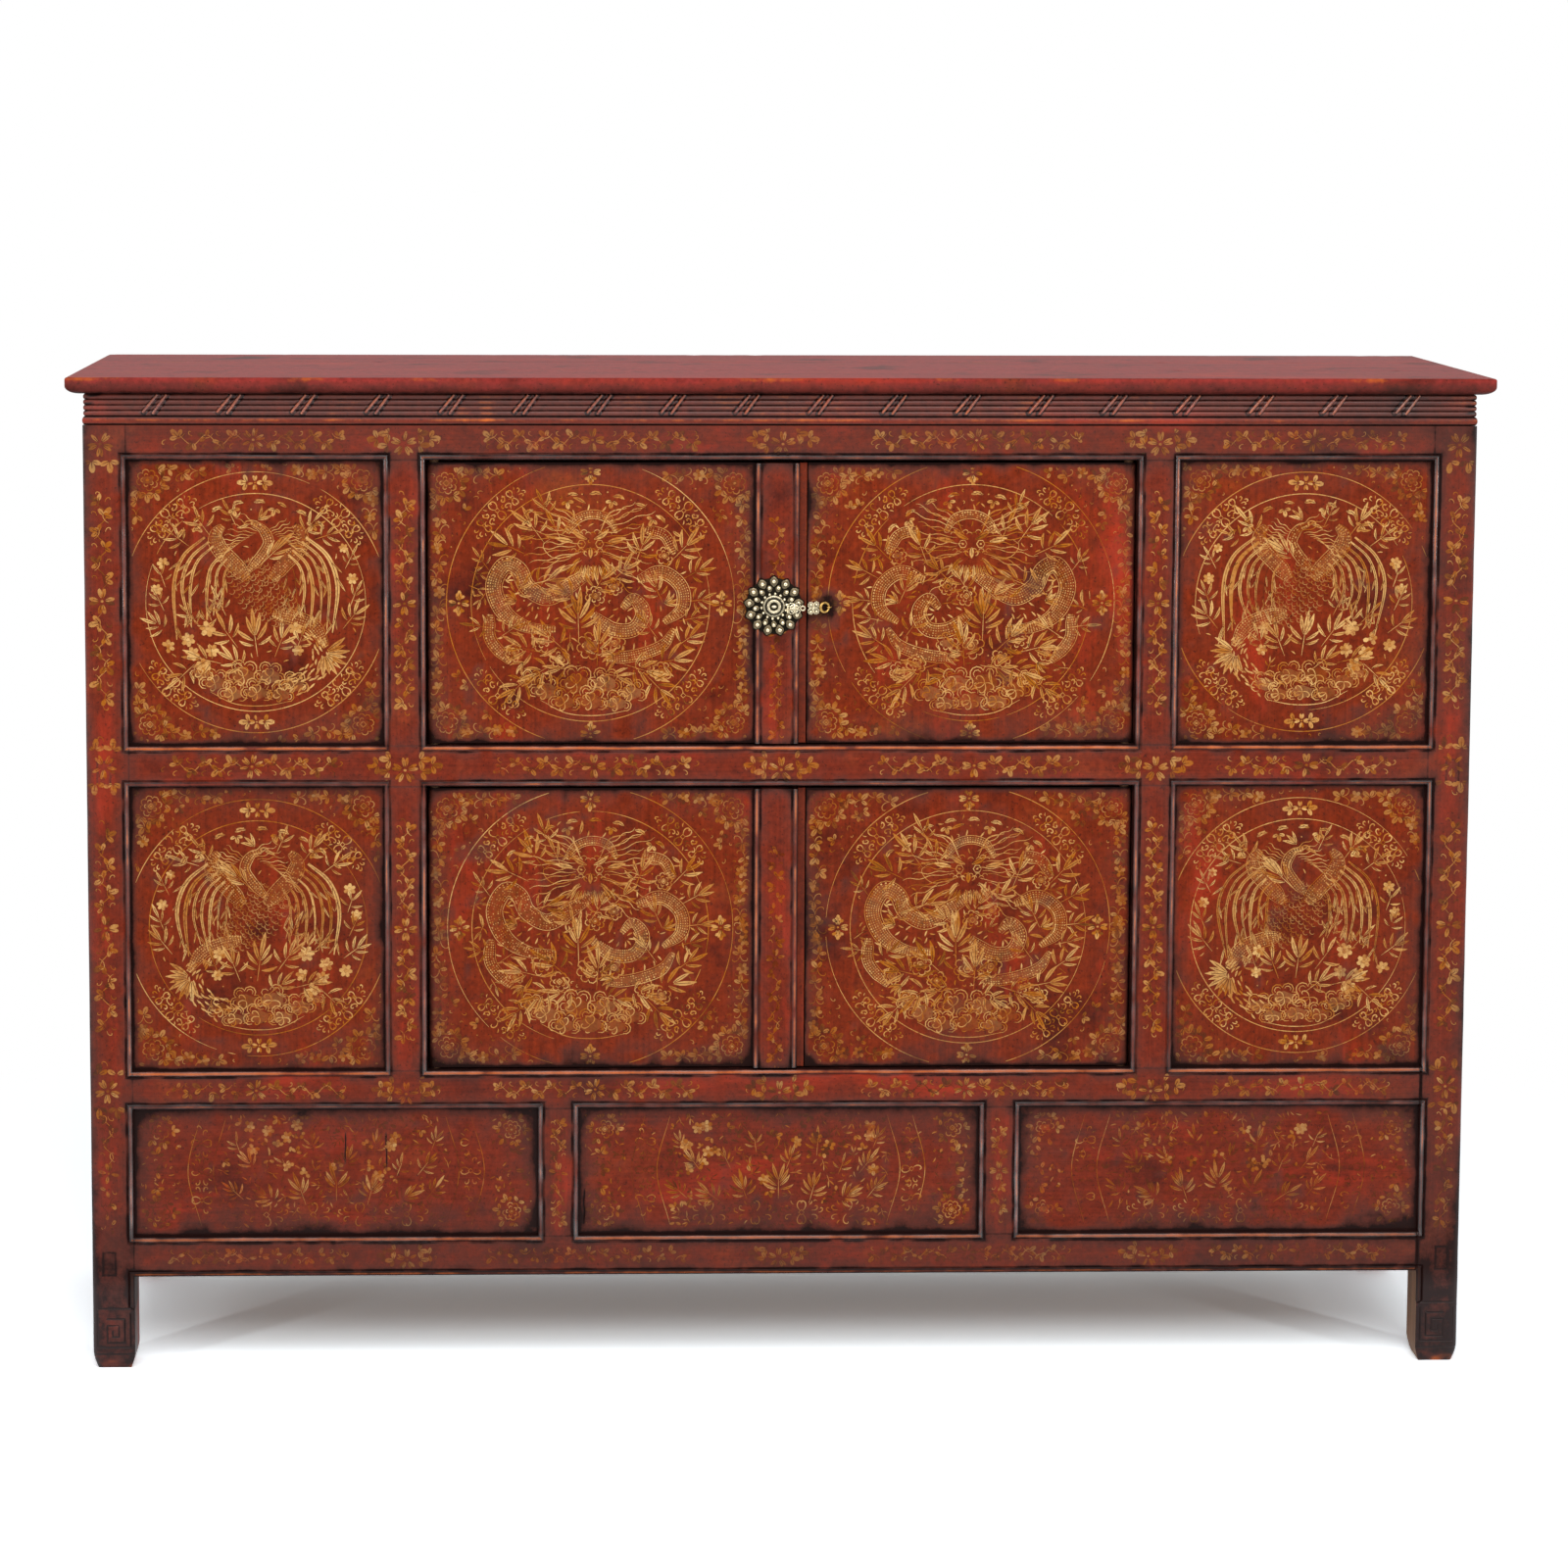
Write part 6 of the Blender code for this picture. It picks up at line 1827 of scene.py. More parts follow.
def pintle_shell(pivot, start, end, radius=0.005, steps=20):
    """A round pintle on a door's hinge line."""
    points, faces = [], []
    for z in (start, end):
        for step in range(steps):
            angle = TAU * step / steps
            points.append((pivot[0] + radius * math.cos(angle), pivot[1] + radius * math.sin(angle), z))
    for step in range(steps):
        after = (step + 1) % steps
        faces.append([step, after, steps + after, steps + step])
    faces.append(list(range(steps))[::-1])
    faces.append(list(range(steps, 2 * steps)))
    return {"points": np.array(points), "faces": faces, "slots": [1] * len(faces)}


class CABINET_OT_sides(CabinetOperator, bpy.types.Operator):
    """Makes the rear posts, the rails and panels of the sides and the back"""

    bl_idname = "cabinet.sides"
    bl_label = "Sides and back"

    def make(self, scene):
        level = (MATERIALS["red_lacquer_level"], MATERIALS["old_bare_wood"])
        upright = (MATERIALS["red_lacquer_upright"], MATERIALS["old_bare_upright"])
        bare = (MATERIALS["old_bare_wood"], MATERIALS["old_bare_wood"])
        inner_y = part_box("post_rear_left")[0][1]
        for name in ("left", "right"):
            node = f"post_rear_{name}"
            (low_x, high_x), plane, thickness, (low, high) = local_box(node, 2)
            box = (low_x, high_x, low, RAIL_Z["top"][1])
            across = grid_lines(low_x, high_x, 0.006, beside([low_x, high_x], ARRIS_LINES))
            up = grid_lines(low, RAIL_Z["top"][1], 0.012, list(np.arange(0, 0.02, 0.0025)))
            shape = draw_in_foot(low_x, high_x, plane, plane + thickness)
            plain = soft_face(box, 1.6)

            def face(x, z):
                depth, wear, grime, polish = plain(x, z)
                # Painted shade: darker towards the floor
                return depth, wear, grime + 0.5 * clamp((0.26 - z) / 0.2), polish

            shell = relief_shell(across, up, plane, thickness, face, 2, shape, 0)
            settle(build(f"rear_post_{name}", [shell], upright), "carcase", "red_lacquer", node)
        jobs = []
        for name, turn in (("left", -1), ("right", 1)):
            for row in ("top", "middle", "bottom"):
                jobs.append((f"rail_{name}_{row}", f"side_rail_{name}_{row}", turn, inner_y, level, 0.0, "red_lacquer"))
            for row in ("upper", "lower"):
                jobs.append((f"side_panel_{name}_{row}", f"side_board_{name}_{row}", turn, None, upright, 9.0, "red_lacquer"))
        for row in ("top", "middle", "lower", "bottom"):
            jobs.append((f"rail_back_{row}", f"back_rail_{row}", 2, POST_IN, bare, 0.0, "bare_wood"))
        for row in ("upper", "lower", "base"):
            jobs.append((f"back_panel_{row}", f"back_board_{row}", 2, None, bare, 0.0, "bare_wood"))
        for number, (node, name, turn, trim, materials, reach, slot) in enumerate(jobs):
            (low_x, high_x), plane, thickness, (low, high) = local_box(node, turn, trim)
            box = (low_x, high_x, low, high)
            across = grid_lines(low_x, high_x, 0.012, beside([low_x, high_x], ARRIS_LINES))
            up = grid_lines(low, high, 0.008, beside([low, high], ARRIS_LINES))
            shell = relief_shell(across, up, plane, thickness, soft_face(box, 1.3, reach, number), turn)
            settle(build(name, [shell], materials), "carcase", slot, node)


class CABINET_OT_inside(CabinetOperator, bpy.types.Operator):
    """Gives the boards inside their bare wood"""

    bl_idname = "cabinet.inside"
    bl_label = "Inside boards"

    def make(self, scene):
        for node in ("shelf_board", "floor_board", "bottom_board"):
            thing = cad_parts[node]
            for slot in thing.material_slots:
                slot.link = "OBJECT"
                slot.material = MATERIALS["old_bare_wood"]


class CABINET_OT_frieze(CabinetOperator, bpy.types.Operator):
    """Makes the reeded frieze, its half-round strip and the ribbons wound across it"""

    bl_idname = "cabinet.frieze"
    bl_label = "Frieze"

    def make(self, scene):
        wood = scene.cabinet_wood
        low, high = FRIEZE_Z
        strip = wood.strip_height
        reed = (high - low - strip) / wood.reeds
        bulge = wood.strip_bulge / MM
        levels = [low + strip * (0.5 - 0.5 * math.cos(math.pi * i / 12)) for i in range(13)]
        for index in range(wood.reeds):
            levels += [low + strip + reed * (index + 0.5 - 0.5 * math.cos(math.pi * i / 9)) for i in range(1, 10)]
        up = np.array(levels)

        def face(x, z):
            share = (z - low) / strip
            depth = bulge - bulge * np.sqrt(np.maximum(1 - (2 * share - 1) ** 2, 0))
            place = np.maximum(z - low - strip, 0) / reed
            part = place - np.floor(np.minimum(place, wood.reeds - 1e-6))
            hump = np.sqrt(np.maximum(1 - (2 * part - 1) ** 2, 0))
            on_strip = z <= low + strip
            depth = np.where(on_strip, depth, bulge - wood.reed_bulge / MM * hump) + 0.12 * waver(x, z, 0.03, 61)
            patch = waver(x, z, 0.05, 62) * 0.6 + waver(x, z, 0.012, 63) * 0.4
            # The strip's crest and the reeds' crests are rubbed orange, with painted highlight where they catch the
            # light; painted shade at the strip's edges and in the grooves between the reeds
            crest = np.where(on_strip, np.exp(-(((share - 0.58) / 0.2) ** 2)), clamp(2.2 * hump - 1.35))
            wear = crest * clamp(np.where(on_strip, 0.36, 0.2) + 0.6 * patch)
            grime = np.where(on_strip, 0.2 + clamp(np.abs(2 * share - 1) * 3.0 - 1.6), 0.36 + 0.6 * (1 - hump))
            # Cuts beside each turn of ribbon, darkened as painted shade
            local = np.mod(x - first + ribbon / 2, ribbon) - ribbon / 2
            for start, end in RIBBON_TURNS:
                ends = [(start[0] * MM, low + strip + start[1] * rise), (end[0] * MM, low + strip + end[1] * rise)]
                away = line_distance(local, z, *ends)
                cut = np.exp(-(((away - 2.2) / 0.9) ** 2)) * np.where(on_strip, 0.0, 1.0)
                depth += 0.9 * cut
                grime += 0.6 * cut
                wear *= 1 - cut
            return depth, wear, grime, np.where(on_strip, 0.1, 0.4 * clamp(1.5 * hump - 0.7))

        level = (MATERIALS["red_lacquer_level"], MATERIALS["old_bare_wood"])
        ribbon, rise = wood.ribbon_pitch, high - low - strip
        for name, turn, half in (("front", 0, POST_OUT), ("left", -1, -FRONT), ("right", 1, -FRONT), ("back", 2, POST_OUT)):
            (low_x, high_x), plane, thickness, span = local_box(f"frieze_{name}", turn)

            def mitre(points):
                points[:, 0] -= points[:, 0] / half * (points[:, 1] - plane)

            count = int(2 * half / ribbon)
            first = -(count - 1) / 2 * ribbon
            fine = [first + i * ribbon + step * MM for i in range(count) for step in np.arange(-15.5, 15.6, 1.0)]
            across = grid_lines(-half + 0.00015, half - 0.00015, 0.006, fine)
            shell = relief_shell(across, up, plane, thickness, face, turn, mitre)
            settle(build(f"reeded_frieze_{name}", [shell], level, 50), "carcase", "red_lacquer", f"frieze_{name}")
            if name == "back":
                continue
            shells = ribbon_shells(low + strip, high, plane, turn)
            thing = build(f"frieze_ribbons_{name}", shells, [])
            step = {0: (1, 0), -1: (0, -1), 1: (0, 1)}[turn]
            grow(
                thing,
                "row",
                Count=count,
                Start=(step[0] * first, step[1] * first, 0.0),
                Step=(step[0] * ribbon, step[1] * ribbon, 0.0),
                Material=MATERIALS["red_lacquer_level"],
            )
            settle(thing, "carcase", "red_lacquer")


def ribbon_shells(low, high, plane, turn):
    """Two slanting half-round turns of a ribbon over the reeds."""
    wood = bpy.context.scene.cabinet_wood
    half = wood.ribbon_width / 2
    rise = high - low
    shells = []
    for (start, bottom), (end, top) in RIBBON_TURNS:
        start, end = start * MM, end * MM
        spots, faces = [], []
        steps, sides = 8, 6
        lean = math.atan2(rise * (top - bottom), end - start)
        for i in range(steps + 1):
            t = i / steps
            x = start + (end - start) * t
            z = low + rise * (bottom + (top - bottom) * t)
            scale = math.sin(math.pi * (0.12 + 0.76 * t)) ** 0.3
            for k in range(sides + 1):
                angle = math.pi * k / sides
                across = half * math.cos(angle) * scale
                out = 0.0012 * math.sin(angle) * scale
                spots.append((x - math.sin(lean) * across, plane + 0.0010 - out if k not in (0, sides) else plane + 0.0026, z + math.cos(lean) * across))
        ring = sides + 1
        for i in range(steps):
            for k in range(sides):
                a = i * ring + k
                faces.append([a, a + 1, a + ring + 1, a + ring])
            faces.append([i * ring + sides, i * ring, (i + 1) * ring, (i + 1) * ring + sides])
        faces.append(list(range(ring))[::-1])
        faces.append([steps * ring + k for k in range(ring)])
        points = np.array(spots)
        if turn:
            points[:, :2] = points[:, :2] @ np.array(TURNS[turn])
        shells.append({"points": points, "faces": faces, "wear": 0.42, "grime": 0.15, "polish": 1.0})
    return shells


class CABINET_OT_top(CabinetOperator, bpy.types.Operator):
    """Makes the three planks of the top with their moulded edge"""

    bl_idname = "cabinet.top"
    bl_label = "Top"

    def make(self, scene):
        ovolo = scene.cabinet_wood.ovolo_height
        low, high = TOP_Z
        overhang = TOP_OUT + FRONT
        levels = []
        for step in range(9):
            turn = math.pi / 2 * step / 8
            levels.append((low + ovolo * (1 - math.cos(turn)), overhang * math.sin(turn), 0.0))
        for step in range(5):
            turn = math.pi / 2 * step / 4
            levels.append((high - 0.0022 + 0.0022 * math.sin(turn), overhang - 0.0022 * (1 - math.cos(turn)), 1.0))
        levels.append((high, overhang - 0.006, 0.1))
        levels.append((high, overhang - 0.016, 0.0))
        count_x, count_y = 150, 16
        for name in ("front", "middle", "rear"):
            box_low, box_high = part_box(f"top_plank_{name}")
            points, wear, grime, faces = [], [], [], []
            for index, (z, out, orange_share) in enumerate(levels):
                joint = 0.0004 if z > high - 0.0006 else 0.0
                joint += 0.012 if index == len(levels) - 1 else 0.0
                x = POST_OUT + out
                y0 = FRONT - out if name == "front" else box_low[1] + joint
                y1 = -FRONT + out if name == "rear" else box_high[1] - joint
                ring = [(-x + 2 * x * i / count_x, y0) for i in range(count_x)]
                ring += [(x, y0 + (y1 - y0) * i / count_y) for i in range(count_y)]
                ring += [(x - 2 * x * i / count_x, y1) for i in range(count_x)]
                ring += [(-x, y1 - (y1 - y0) * i / count_y) for i in range(count_y)]
                for px, py in ring:
                    wobble = 0.00035 * float(waver(px * 1.0, py + index * 0.0004, 0.03, 71))
                    outer = abs(py) > 0.15 and name != "middle"
                    chip = 0.0008 * max(0.0, float(waver(px, py, 0.011, 72)) - 0.55) if orange_share else 0.0
                    points.append((px, py + (wobble + chip if outer and py < 0 else -wobble if outer else 0), z - (chip if orange_share else 0)))
                    patch = float(waver(px, py, 0.04, 73))
                    wear.append(orange_share * (0.16 + 0.4 * patch))
                    # Painted shade: darker down the moulded edge and most on its underside, with a little dirt on the
                    # upper arris
                    grime.append(0.6 * (1 - min(1, index / 5)) + (0.42 if index < 9 else 0.16 * orange_share) * (1 + 0.25 * patch))
            size = 2 * (count_x + count_y)
            for index in range(len(levels) - 1):
                for i in range(size):
                    after = (i + 1) % size
                    faces.append([index * size + i, index * size + after, (index + 1) * size + after, (index + 1) * size + i])
            faces.append([(len(levels) - 1) * size + i for i in range(size)])
            faces.append(list(range(size))[::-1])
            shell = {"points": np.array(points), "faces": faces, "wear": np.array(wear), "grime": np.array(grime)}
            settle(build(f"moulded_top_{name}", [shell], [MATERIALS["faded_top_lacquer"]], 50), "carcase", "red_lacquer", f"top_plank_{name}")


class CABINET_OT_gilding(CabinetOperator, bpy.types.Operator):
    """Paints the roundels, the sprays and the running ornament in gold"""

    bl_idname = "cabinet.gilding"
    bl_label = "Gilding"

    def make(self, scene):
        gilt = scene.cabinet_gilding
        figures = (("upper", "left", 1), ("upper", "right", -1), ("lower", "left", -1), ("lower", "right", -1))
        for seed, (row, name, flip) in enumerate(figures):
            brush = Brush(11 + seed, OPENINGS[row, name], 4.0)
            paint_rings(brush, gilt.roundel, gilt.roundel_outer, gilt.line)
            brush.pale = 0.35
            paint_band(brush, gilt.roundel, gilt.roundel_outer, False)
            brush.pale, brush.cover = 0.1, 0.62
            paint_corners(brush, gilt.roundel_outer)
            brush.cover = 1.0
            paint_phoenix(brush, gilt.roundel, flip)
            gild(f"gilt_panel_{row}_{name}", brush, PANEL_FRONT, "carcase", PANEL_FACES[row, name])
        figures = (("upper", "left", 1), ("upper", "right", -1), ("lower", "left", 1), ("lower", "right", 1))
        for seed, (row, name, flip) in enumerate(figures):
            brush = Brush(31 + seed, door_rect(row, name), 4.0)
            paint_rings(brush, gilt.door_roundel, gilt.door_outer, gilt.line)
            brush.pale = 0.2
            paint_band(brush, gilt.door_roundel, gilt.door_outer, True)
            brush.pale, brush.cover = 0.1, 0.62
            paint_corners(brush, gilt.door_outer)
            brush.cover = 0.92
            paint_dragon(brush, gilt.door_roundel, flip)
            gild(f"gilt_door_{row}_{name}", brush, PANEL_FRONT, f"{row}_{name}_door", PANEL_FACES[row, f"door_{name}"])
        for seed, place in enumerate(("left", "middle", "right")):
            brush = Brush(51 + seed, OPENINGS["base", place], 7.0, (0.22, 0.1, 0.3)[seed], 0.2, (0.62, 0.75, 0.55)[seed], 0.6)
            paint_base(brush)
            gild(f"gilt_base_{place}", brush, PANEL_FRONT, "carcase", PANEL_FACES["base", place])
        gild("gilt_frame", paint_frame(), FRONT + 0.0001, "carcase", frame_face)
        for row in ("upper", "lower"):
            low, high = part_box(f"meeting_stile_{row}")
            brush = paint_meeting_stile((low[2], high[2]), 71 + len(row))
            gild(f"gilt_meeting_stile_{row}", brush, FRONT, f"{row}_left_door")


class CABINET_OT_lock(CabinetOperator, bpy.types.Operator):
    """Makes the lock's rosette of petals and balls, and its boss"""

    bl_idname = "cabinet.lock"
    bl_label = "Lock"

    def make(self, scene):
        brass = scene.cabinet_brass
        low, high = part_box("lock_boss")
        centre = ((low[0] + high[0]) / 2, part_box("lock_plate")[1][1], (low[2] + high[2]) / 2)
        body, material = "upper_left_door", MATERIALS["old_brass"]
        profile = [(0, 2.6), (13, 2.6), (16, 2.2), (19, 1.5), (24, 1.0), (28, 0.8), (28.6, 0.4), (28.4, 0)]
        plate = build("lock_rosette_plate", [turned_shell(profile, centre, 52, [0.5, 0.5, 0.7, 0.95, 0.95, 0.9, 0.7, 0.5])], [material])
        settle(plate, body, "old_brass", "lock_plate")
        for name, shells, count, first in (
            ("lock_petals", [petal_shell(25.0, 5.4, 6.6, 1.1)], brass.petals, 0.0),
            ("lock_inner_petals", [petal_shell(18.3, 3.5, 4.6, 2.0)], brass.petals, math.pi / brass.petals),
            ("lock_knobs", [ball_shell((0, -0.0032, 0.0192), brass.knob, 0.9)], brass.petals, math.pi / brass.petals),
            ("lock_tips", [ball_shell((0, -0.0024, 0.0252), brass.knob * 1.15, 0.9)], brass.petals, 0.0),
            ("lock_balls", [ball_shell((0, -0.0032, 0.0127), brass.ball, 1.0)], brass.balls, 0.1),
        ):
            thing = build(name, shells, [], 60)
            bright = material if "petals" in name else MATERIALS["polished_brass"]
            grow(thing, "ring", Count=count, First=first, Centre=centre, Material=bright)
            settle(thing, body, "old_brass")
        profile = [(0, 3.6), (2.6, 3.8), (3.6, 4.6), (4.2, 5.6), (5.0, 6.4), (6.0, 6.7), (6.9, 6.3), (7.4, 5.4), (8.2, 4.6), (9.3, 4.2), (10.4, 4.1), (11.2, 3.5), (11.3, 2.4), (11.0, 2.2)]
        marks = [0.9, 0.9, 0.7, 0.4, 0.15, 0.05, 0.15, 0.5, 0.7, 0.4, 0.2, 0.4, 0.8, 0.8]
        lens = lens_shell((centre[0] + 0.0002, centre[1] - 0.0044, centre[2] - 0.0004))
        shells = [turned_shell(profile, centre, 44, marks), lens]
        bright = [MATERIALS["polished_brass"]]
        settle(build("lock_domed_boss", shells, bright, 70), body, "old_brass", "lock_boss")


def petal_shell(reach, half_width, half_length, lift):
    """A hollow petal with a raised rim, pointing up from the rosette's middle, in mm."""
    points, marks, faces = [(0.0, -(lift + 1.25) * MM, reach * MM)], [0.2], []
    steps = 18
    rings = ((0.22, 1.3, 0.2), (0.42, 1.35, 0.16), (0.62, 1.25, 0.1), (0.80, 0.95, 0.4), (0.93, 0.5, 0.9), (1.0, 0.0, 1.0))
    for share, height, mark in rings:
        for step in range(steps):
            angle = TAU * step / steps
            pinch = 1 - 0.25 * max(0.0, -math.sin(angle)) - 0.5 * max(0.0, math.sin(angle)) ** 3
            x = half_width * share * math.cos(angle) * pinch
            z = reach + half_length * share * math.sin(angle)
            level = -(lift + height) if share < 0.99 else 0.0
            points.append((x * MM, level * MM, z * MM))
            marks.append(mark)
    for step in range(steps):
        faces.append([0, 1 + step, 1 + (step + 1) % steps])
    for ring in range(len(rings) - 1):
        for step in range(steps):
            a, b = 1 + ring * steps + step, 1 + ring * steps + (step + 1) % steps
            faces.append([a, a + steps, b + steps, b])
    last = 1 + (len(rings) - 1) * steps
    faces.append([last + step for step in range(steps)][::-1])
    return {"points": np.array(points), "faces": faces, "grime": np.array(marks)}


def lens_shell(centre):
    """The almond-shaped tongue in the boss's mouth."""
    shell = ball_shell((0, 0, 0), 1.0)
    points = shell["points"]
    pinch = np.sqrt(np.maximum(1 - np.abs(points[:, 0]) ** 1.6, 0.02))
    points[:, 2] *= pinch
    shell["points"] = points * np.array([0.0036, 0.0011, 0.0019]) + np.array(centre)
    shell["grime"] = shell["grime"] * 0.4
    return shell


class CABINET_OT_hasp(CabinetOperator, bpy.types.Operator):
    """Makes the hasp's strap and link of grained lobes, its rings and the staple"""

    bl_idname = "cabinet.hasp"
    bl_label = "Hasp"

    def make(self, scene):
        material = MATERIALS["polished_brass"]
        low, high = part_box("hasp_strap")
        level = (low[2] + high[2]) / 2
        face = low[1] + 0.0016
        knuckle_x = low[0] + 0.0016
        lobe_x = knuckle_x + 0.0068
        shells = quatrefoil_shells(0.0068, 0.0030)
        shells += [turned_shell([(0, 0.9), (4.6, 0.9), (5.0, 0.3), (5.0, -0.8), (0, -0.8)], (0, 0, 0), 24)]
        for shell in shells:
            shell["points"] = shell["points"] + np.array([lobe_x, face, level])
        for step in range(5):
            shells.append(ball_shell((knuckle_x, face, level + (step - 2) * 0.0019), 0.0013))
        strap = build("hasp_grained_strap", shells, [material], 60)
        settle(strap, "strap", "old_brass", "hasp_strap")
        ring = ring_object("hasp_small_ring", (high[0] - 0.0031, face, level), 0.0022, lambda angle: 0.0010, 0.0)
        settle(grow(ring, "wirework", Material=material), "strap", "old_brass")
        # The link slopes back from the strap's tip to the staple
        low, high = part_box("hasp_link")
        staple_low, staple_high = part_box("door_staple")
        staple = Vector(((staple_low[0] + staple_high[0]) / 2, 0.0, level))
        staple.y = staple_low[1] + 0.0032
        tilt = math.asin((staple.y - face) / 0.0258) if staple.y > face else 0.0
        along = Vector((-math.cos(tilt), -math.sin(tilt), 0.0))
        turn = np.array(Matrix.Rotation(tilt, 3, "Z"))
        middle = staple + along * 0.0180
        shells = quatrefoil_shells(0.0074, 0.0036)
        for side_x in (-1, 1):
            for side_z in (-1, 1):
                shells.append(ball_shell((side_x * 0.0032, -0.0014, side_z * 0.0035), 0.0017, 0.8))
        for shell in shells:
            shell["points"] = shell["points"] @ turn.T + np.array(middle)
        settle(build("hasp_four_ball_link", shells, [material], 60), "link", "old_brass", "hasp_link")
        centre = staple + along * 0.0048
        ring = ring_object("hasp_end_ring", centre, 0.0048, lambda angle: 0.00125 + 0.0005 * max(0.0, -math.cos(angle)), tilt)
        settle(grow(ring, "wirework", Material=MATERIALS["yellow_brass"]), "link", "old_brass")
        path = [(-0.0024, 0.0090, 0.0)]
        for step in range(13):
            angle = math.pi * step / 12
            path.append((-0.0024 * math.cos(angle), -0.0024 * math.sin(angle), 0.0))
        path.append((0.0024, 0.0090, 0.0))
        places = [tuple(staple + Vector(spot)) for spot in path]
        wire = line_object("staple_wire", [(places, {"half_width": 0.0008, "grime": 0.2}, False)])
        grow(wire, "wirework", Material=MATERIALS["yellow_brass"])
        settle(wire, "upper_right_door", "old_brass", "door_staple")


def quatrefoil_shells(reach, lobe):
    """Four grained lobes round a middle ball, facing the front, about the origin."""
    shells = []
    offset = reach - lobe
    for i in range(4):
        angle = TAU * i / 4 + TAU / 8
        x, z = offset * 1.16 * math.cos(angle), offset * 1.16 * math.sin(angle)
        profile = [(0, 0.3), (1.0, 0.4), (1.6, 1.0), (2.3, 1.2), (lobe / MM, 0.7), (lobe / MM, -0.7), (0, -0.7)]
        shells.append(turned_shell(profile, (x, 0, z), 18, [1, 0.9, 0.6, 0.2, 0.35, 0.9, 0.9]))
        for k in range(9):
            grain = TAU * k / 9
            shells.append(
                ball_shell((x + lobe * 0.86 * math.cos(grain), -0.0008, z + lobe * 0.86 * math.sin(grain)), 0.00062)
            )
    shells.append(ball_shell((0, -0.0006, 0), 0.0016, 0.9))
    return shells


def ring_object(name, centre, radius, wire, tilt):
    """A closed ring of wire that faces the front, turned about +Z by tilt."""
    places, widths = [], []
    for step in range(32):
        angle = TAU * step / 32
        x = radius * math.cos(angle)
        places.append((centre[0] + x * math.cos(tilt), centre[1] + x * math.sin(tilt), centre[2] + radius * math.sin(angle)))
        widths.append(wire(angle))
    return line_object(name, [(places, {"half_width": widths, "grime": 0.15}, True)])


class CABINET_OT_stage(CabinetOperator, bpy.types.Operator):
    """Makes the floor, the soft studio light and the camera"""

    bl_idname = "cabinet.stage"
    bl_label = "Stage"

    def make(self, scene):
        stage = scene.cabinet_stage
        scene.view_settings.view_transform = "Standard"
        world = bpy.data.worlds.new("white_room")
        scene.world = world
        world.use_nodes = True
        tree = world.node_tree
        tree.nodes.clear()
        path = add_node(tree, "ShaderNodeLightPath").outputs
        seen = add_node(tree, "ShaderNodeMath", {0: path["Is Camera Ray"], 1: path["Is Transmission Ray"]}, operation="MAXIMUM").outputs[0]
        seen = add_node(tree, "ShaderNodeMath", {0: seen, 1: path["Is Glossy Ray"]}, operation="MAXIMUM").outputs[0]
        strength = add_node(
            tree, "ShaderNodeMapRange", {"Value": seen, "To Min": stage.sky, "To Max": 1.0}
        ).outputs["Result"]
        back = add_node(tree, "ShaderNodeBackground", {"Color": (1, 1, 1, 1), "Strength": strength}).outputs[0]
        add_node(tree, "ShaderNodeOutputWorld", {"Surface": back})
        self.floor(scene, stage)
        for name, place, aim, size, power in (
            ("overhead_softbox", (-0.4, -1.9, 2.7), (0.0, 0.0, 0.75), (2.6, 1.2), stage.key),
            ("front_softbox", (0.8, -3.6, 2.6), (0.0, 0.0, 0.6), (2.6, 1.4), stage.fill),
            ("left_strip", (-2.6, -2.4, 1.15), (0.0, -0.2, 0.6), (0.12, 1.2), stage.rim),
            ("right_strip", (2.6, -2.4, 1.15), (0.0, -0.2, 0.6), (0.12, 1.2), stage.rim),
        ):
            lamp = bpy.data.lights.new(name, "AREA")
            lamp.shape = "RECTANGLE"
            lamp.size, lamp.size_y = size
            lamp.energy = power
            thing = bpy.data.objects.new(name, lamp)
            thing.location = place
            thing.rotation_euler = (Vector(aim) - Vector(place)).to_track_quat("-Z", "Y").to_euler()
            scene.collection.objects.link(thing)
        camera = bpy.data.cameras.new("camera")
        camera.sensor_width = 36.0
        camera.lens = 36.0 * 2.6668
        camera.shift_x, camera.shift_y = 0.07, -0.14
        thing = bpy.data.objects.new("camera", camera)
        yaw, pitch, roll = -0.0285, -0.1058, -0.0028
        turn = Matrix.Rotation(yaw, 4, "Z") @ Matrix.Rotation(pitch, 4, "X") @ Matrix.Rotation(roll, 4, "Y")
        turn = turn @ Matrix.Rotation(math.pi / 2, 4, "X")
        thing.matrix_world = Matrix.Translation((-0.2295, -4.4, 1.2792)) @ turn
        scene.collection.objects.link(thing)
        scene.camera = thing

    def floor(self, scene, stage):
        """A pale floor that keeps the shadow near the cabinet and is plain white further off."""
        half = 30.0
        mesh = bpy.data.meshes.new("studio_floor")
        mesh.from_pydata([(-half, -half, -0.0002), (half, -half, -0.0002), (half, half, -0.0002), (-half, half, -0.0002)], [], [(0, 1, 2, 3)])
        floor = bpy.data.objects.new("studio_floor", mesh)
        scene.collection.objects.link(floor)
        material = new_material("pale_studio_floor")
        mesh.materials.append(material)
        tree = material.node_tree
        tree.nodes.clear()
        path = add_node(tree, "ShaderNodeLightPath").outputs
        seen = add_node(tree, "ShaderNodeMath", {0: path["Is Camera Ray"], 1: path["Is Transmission Ray"]}, operation="MAXIMUM").outputs[0]
        seen = add_node(tree, "ShaderNodeMath", {0: seen, 1: path["Is Glossy Ray"]}, operation="MAXIMUM").outputs[0]
        place = add_node(tree, "ShaderNodeTexCoord").outputs["Object"]
        away = add_node(tree, "ShaderNodeVectorMath", {0: place, 1: (0.0, 0.0, 0.0)}, operation="DISTANCE").outputs["Value"]
        far = add_node(
            tree, "ShaderNodeMapRange", {"Value": away, "From Min": 0.9, "From Max": 1.5}, interpolation_type="SMOOTHSTEP"
        ).outputs["Result"]
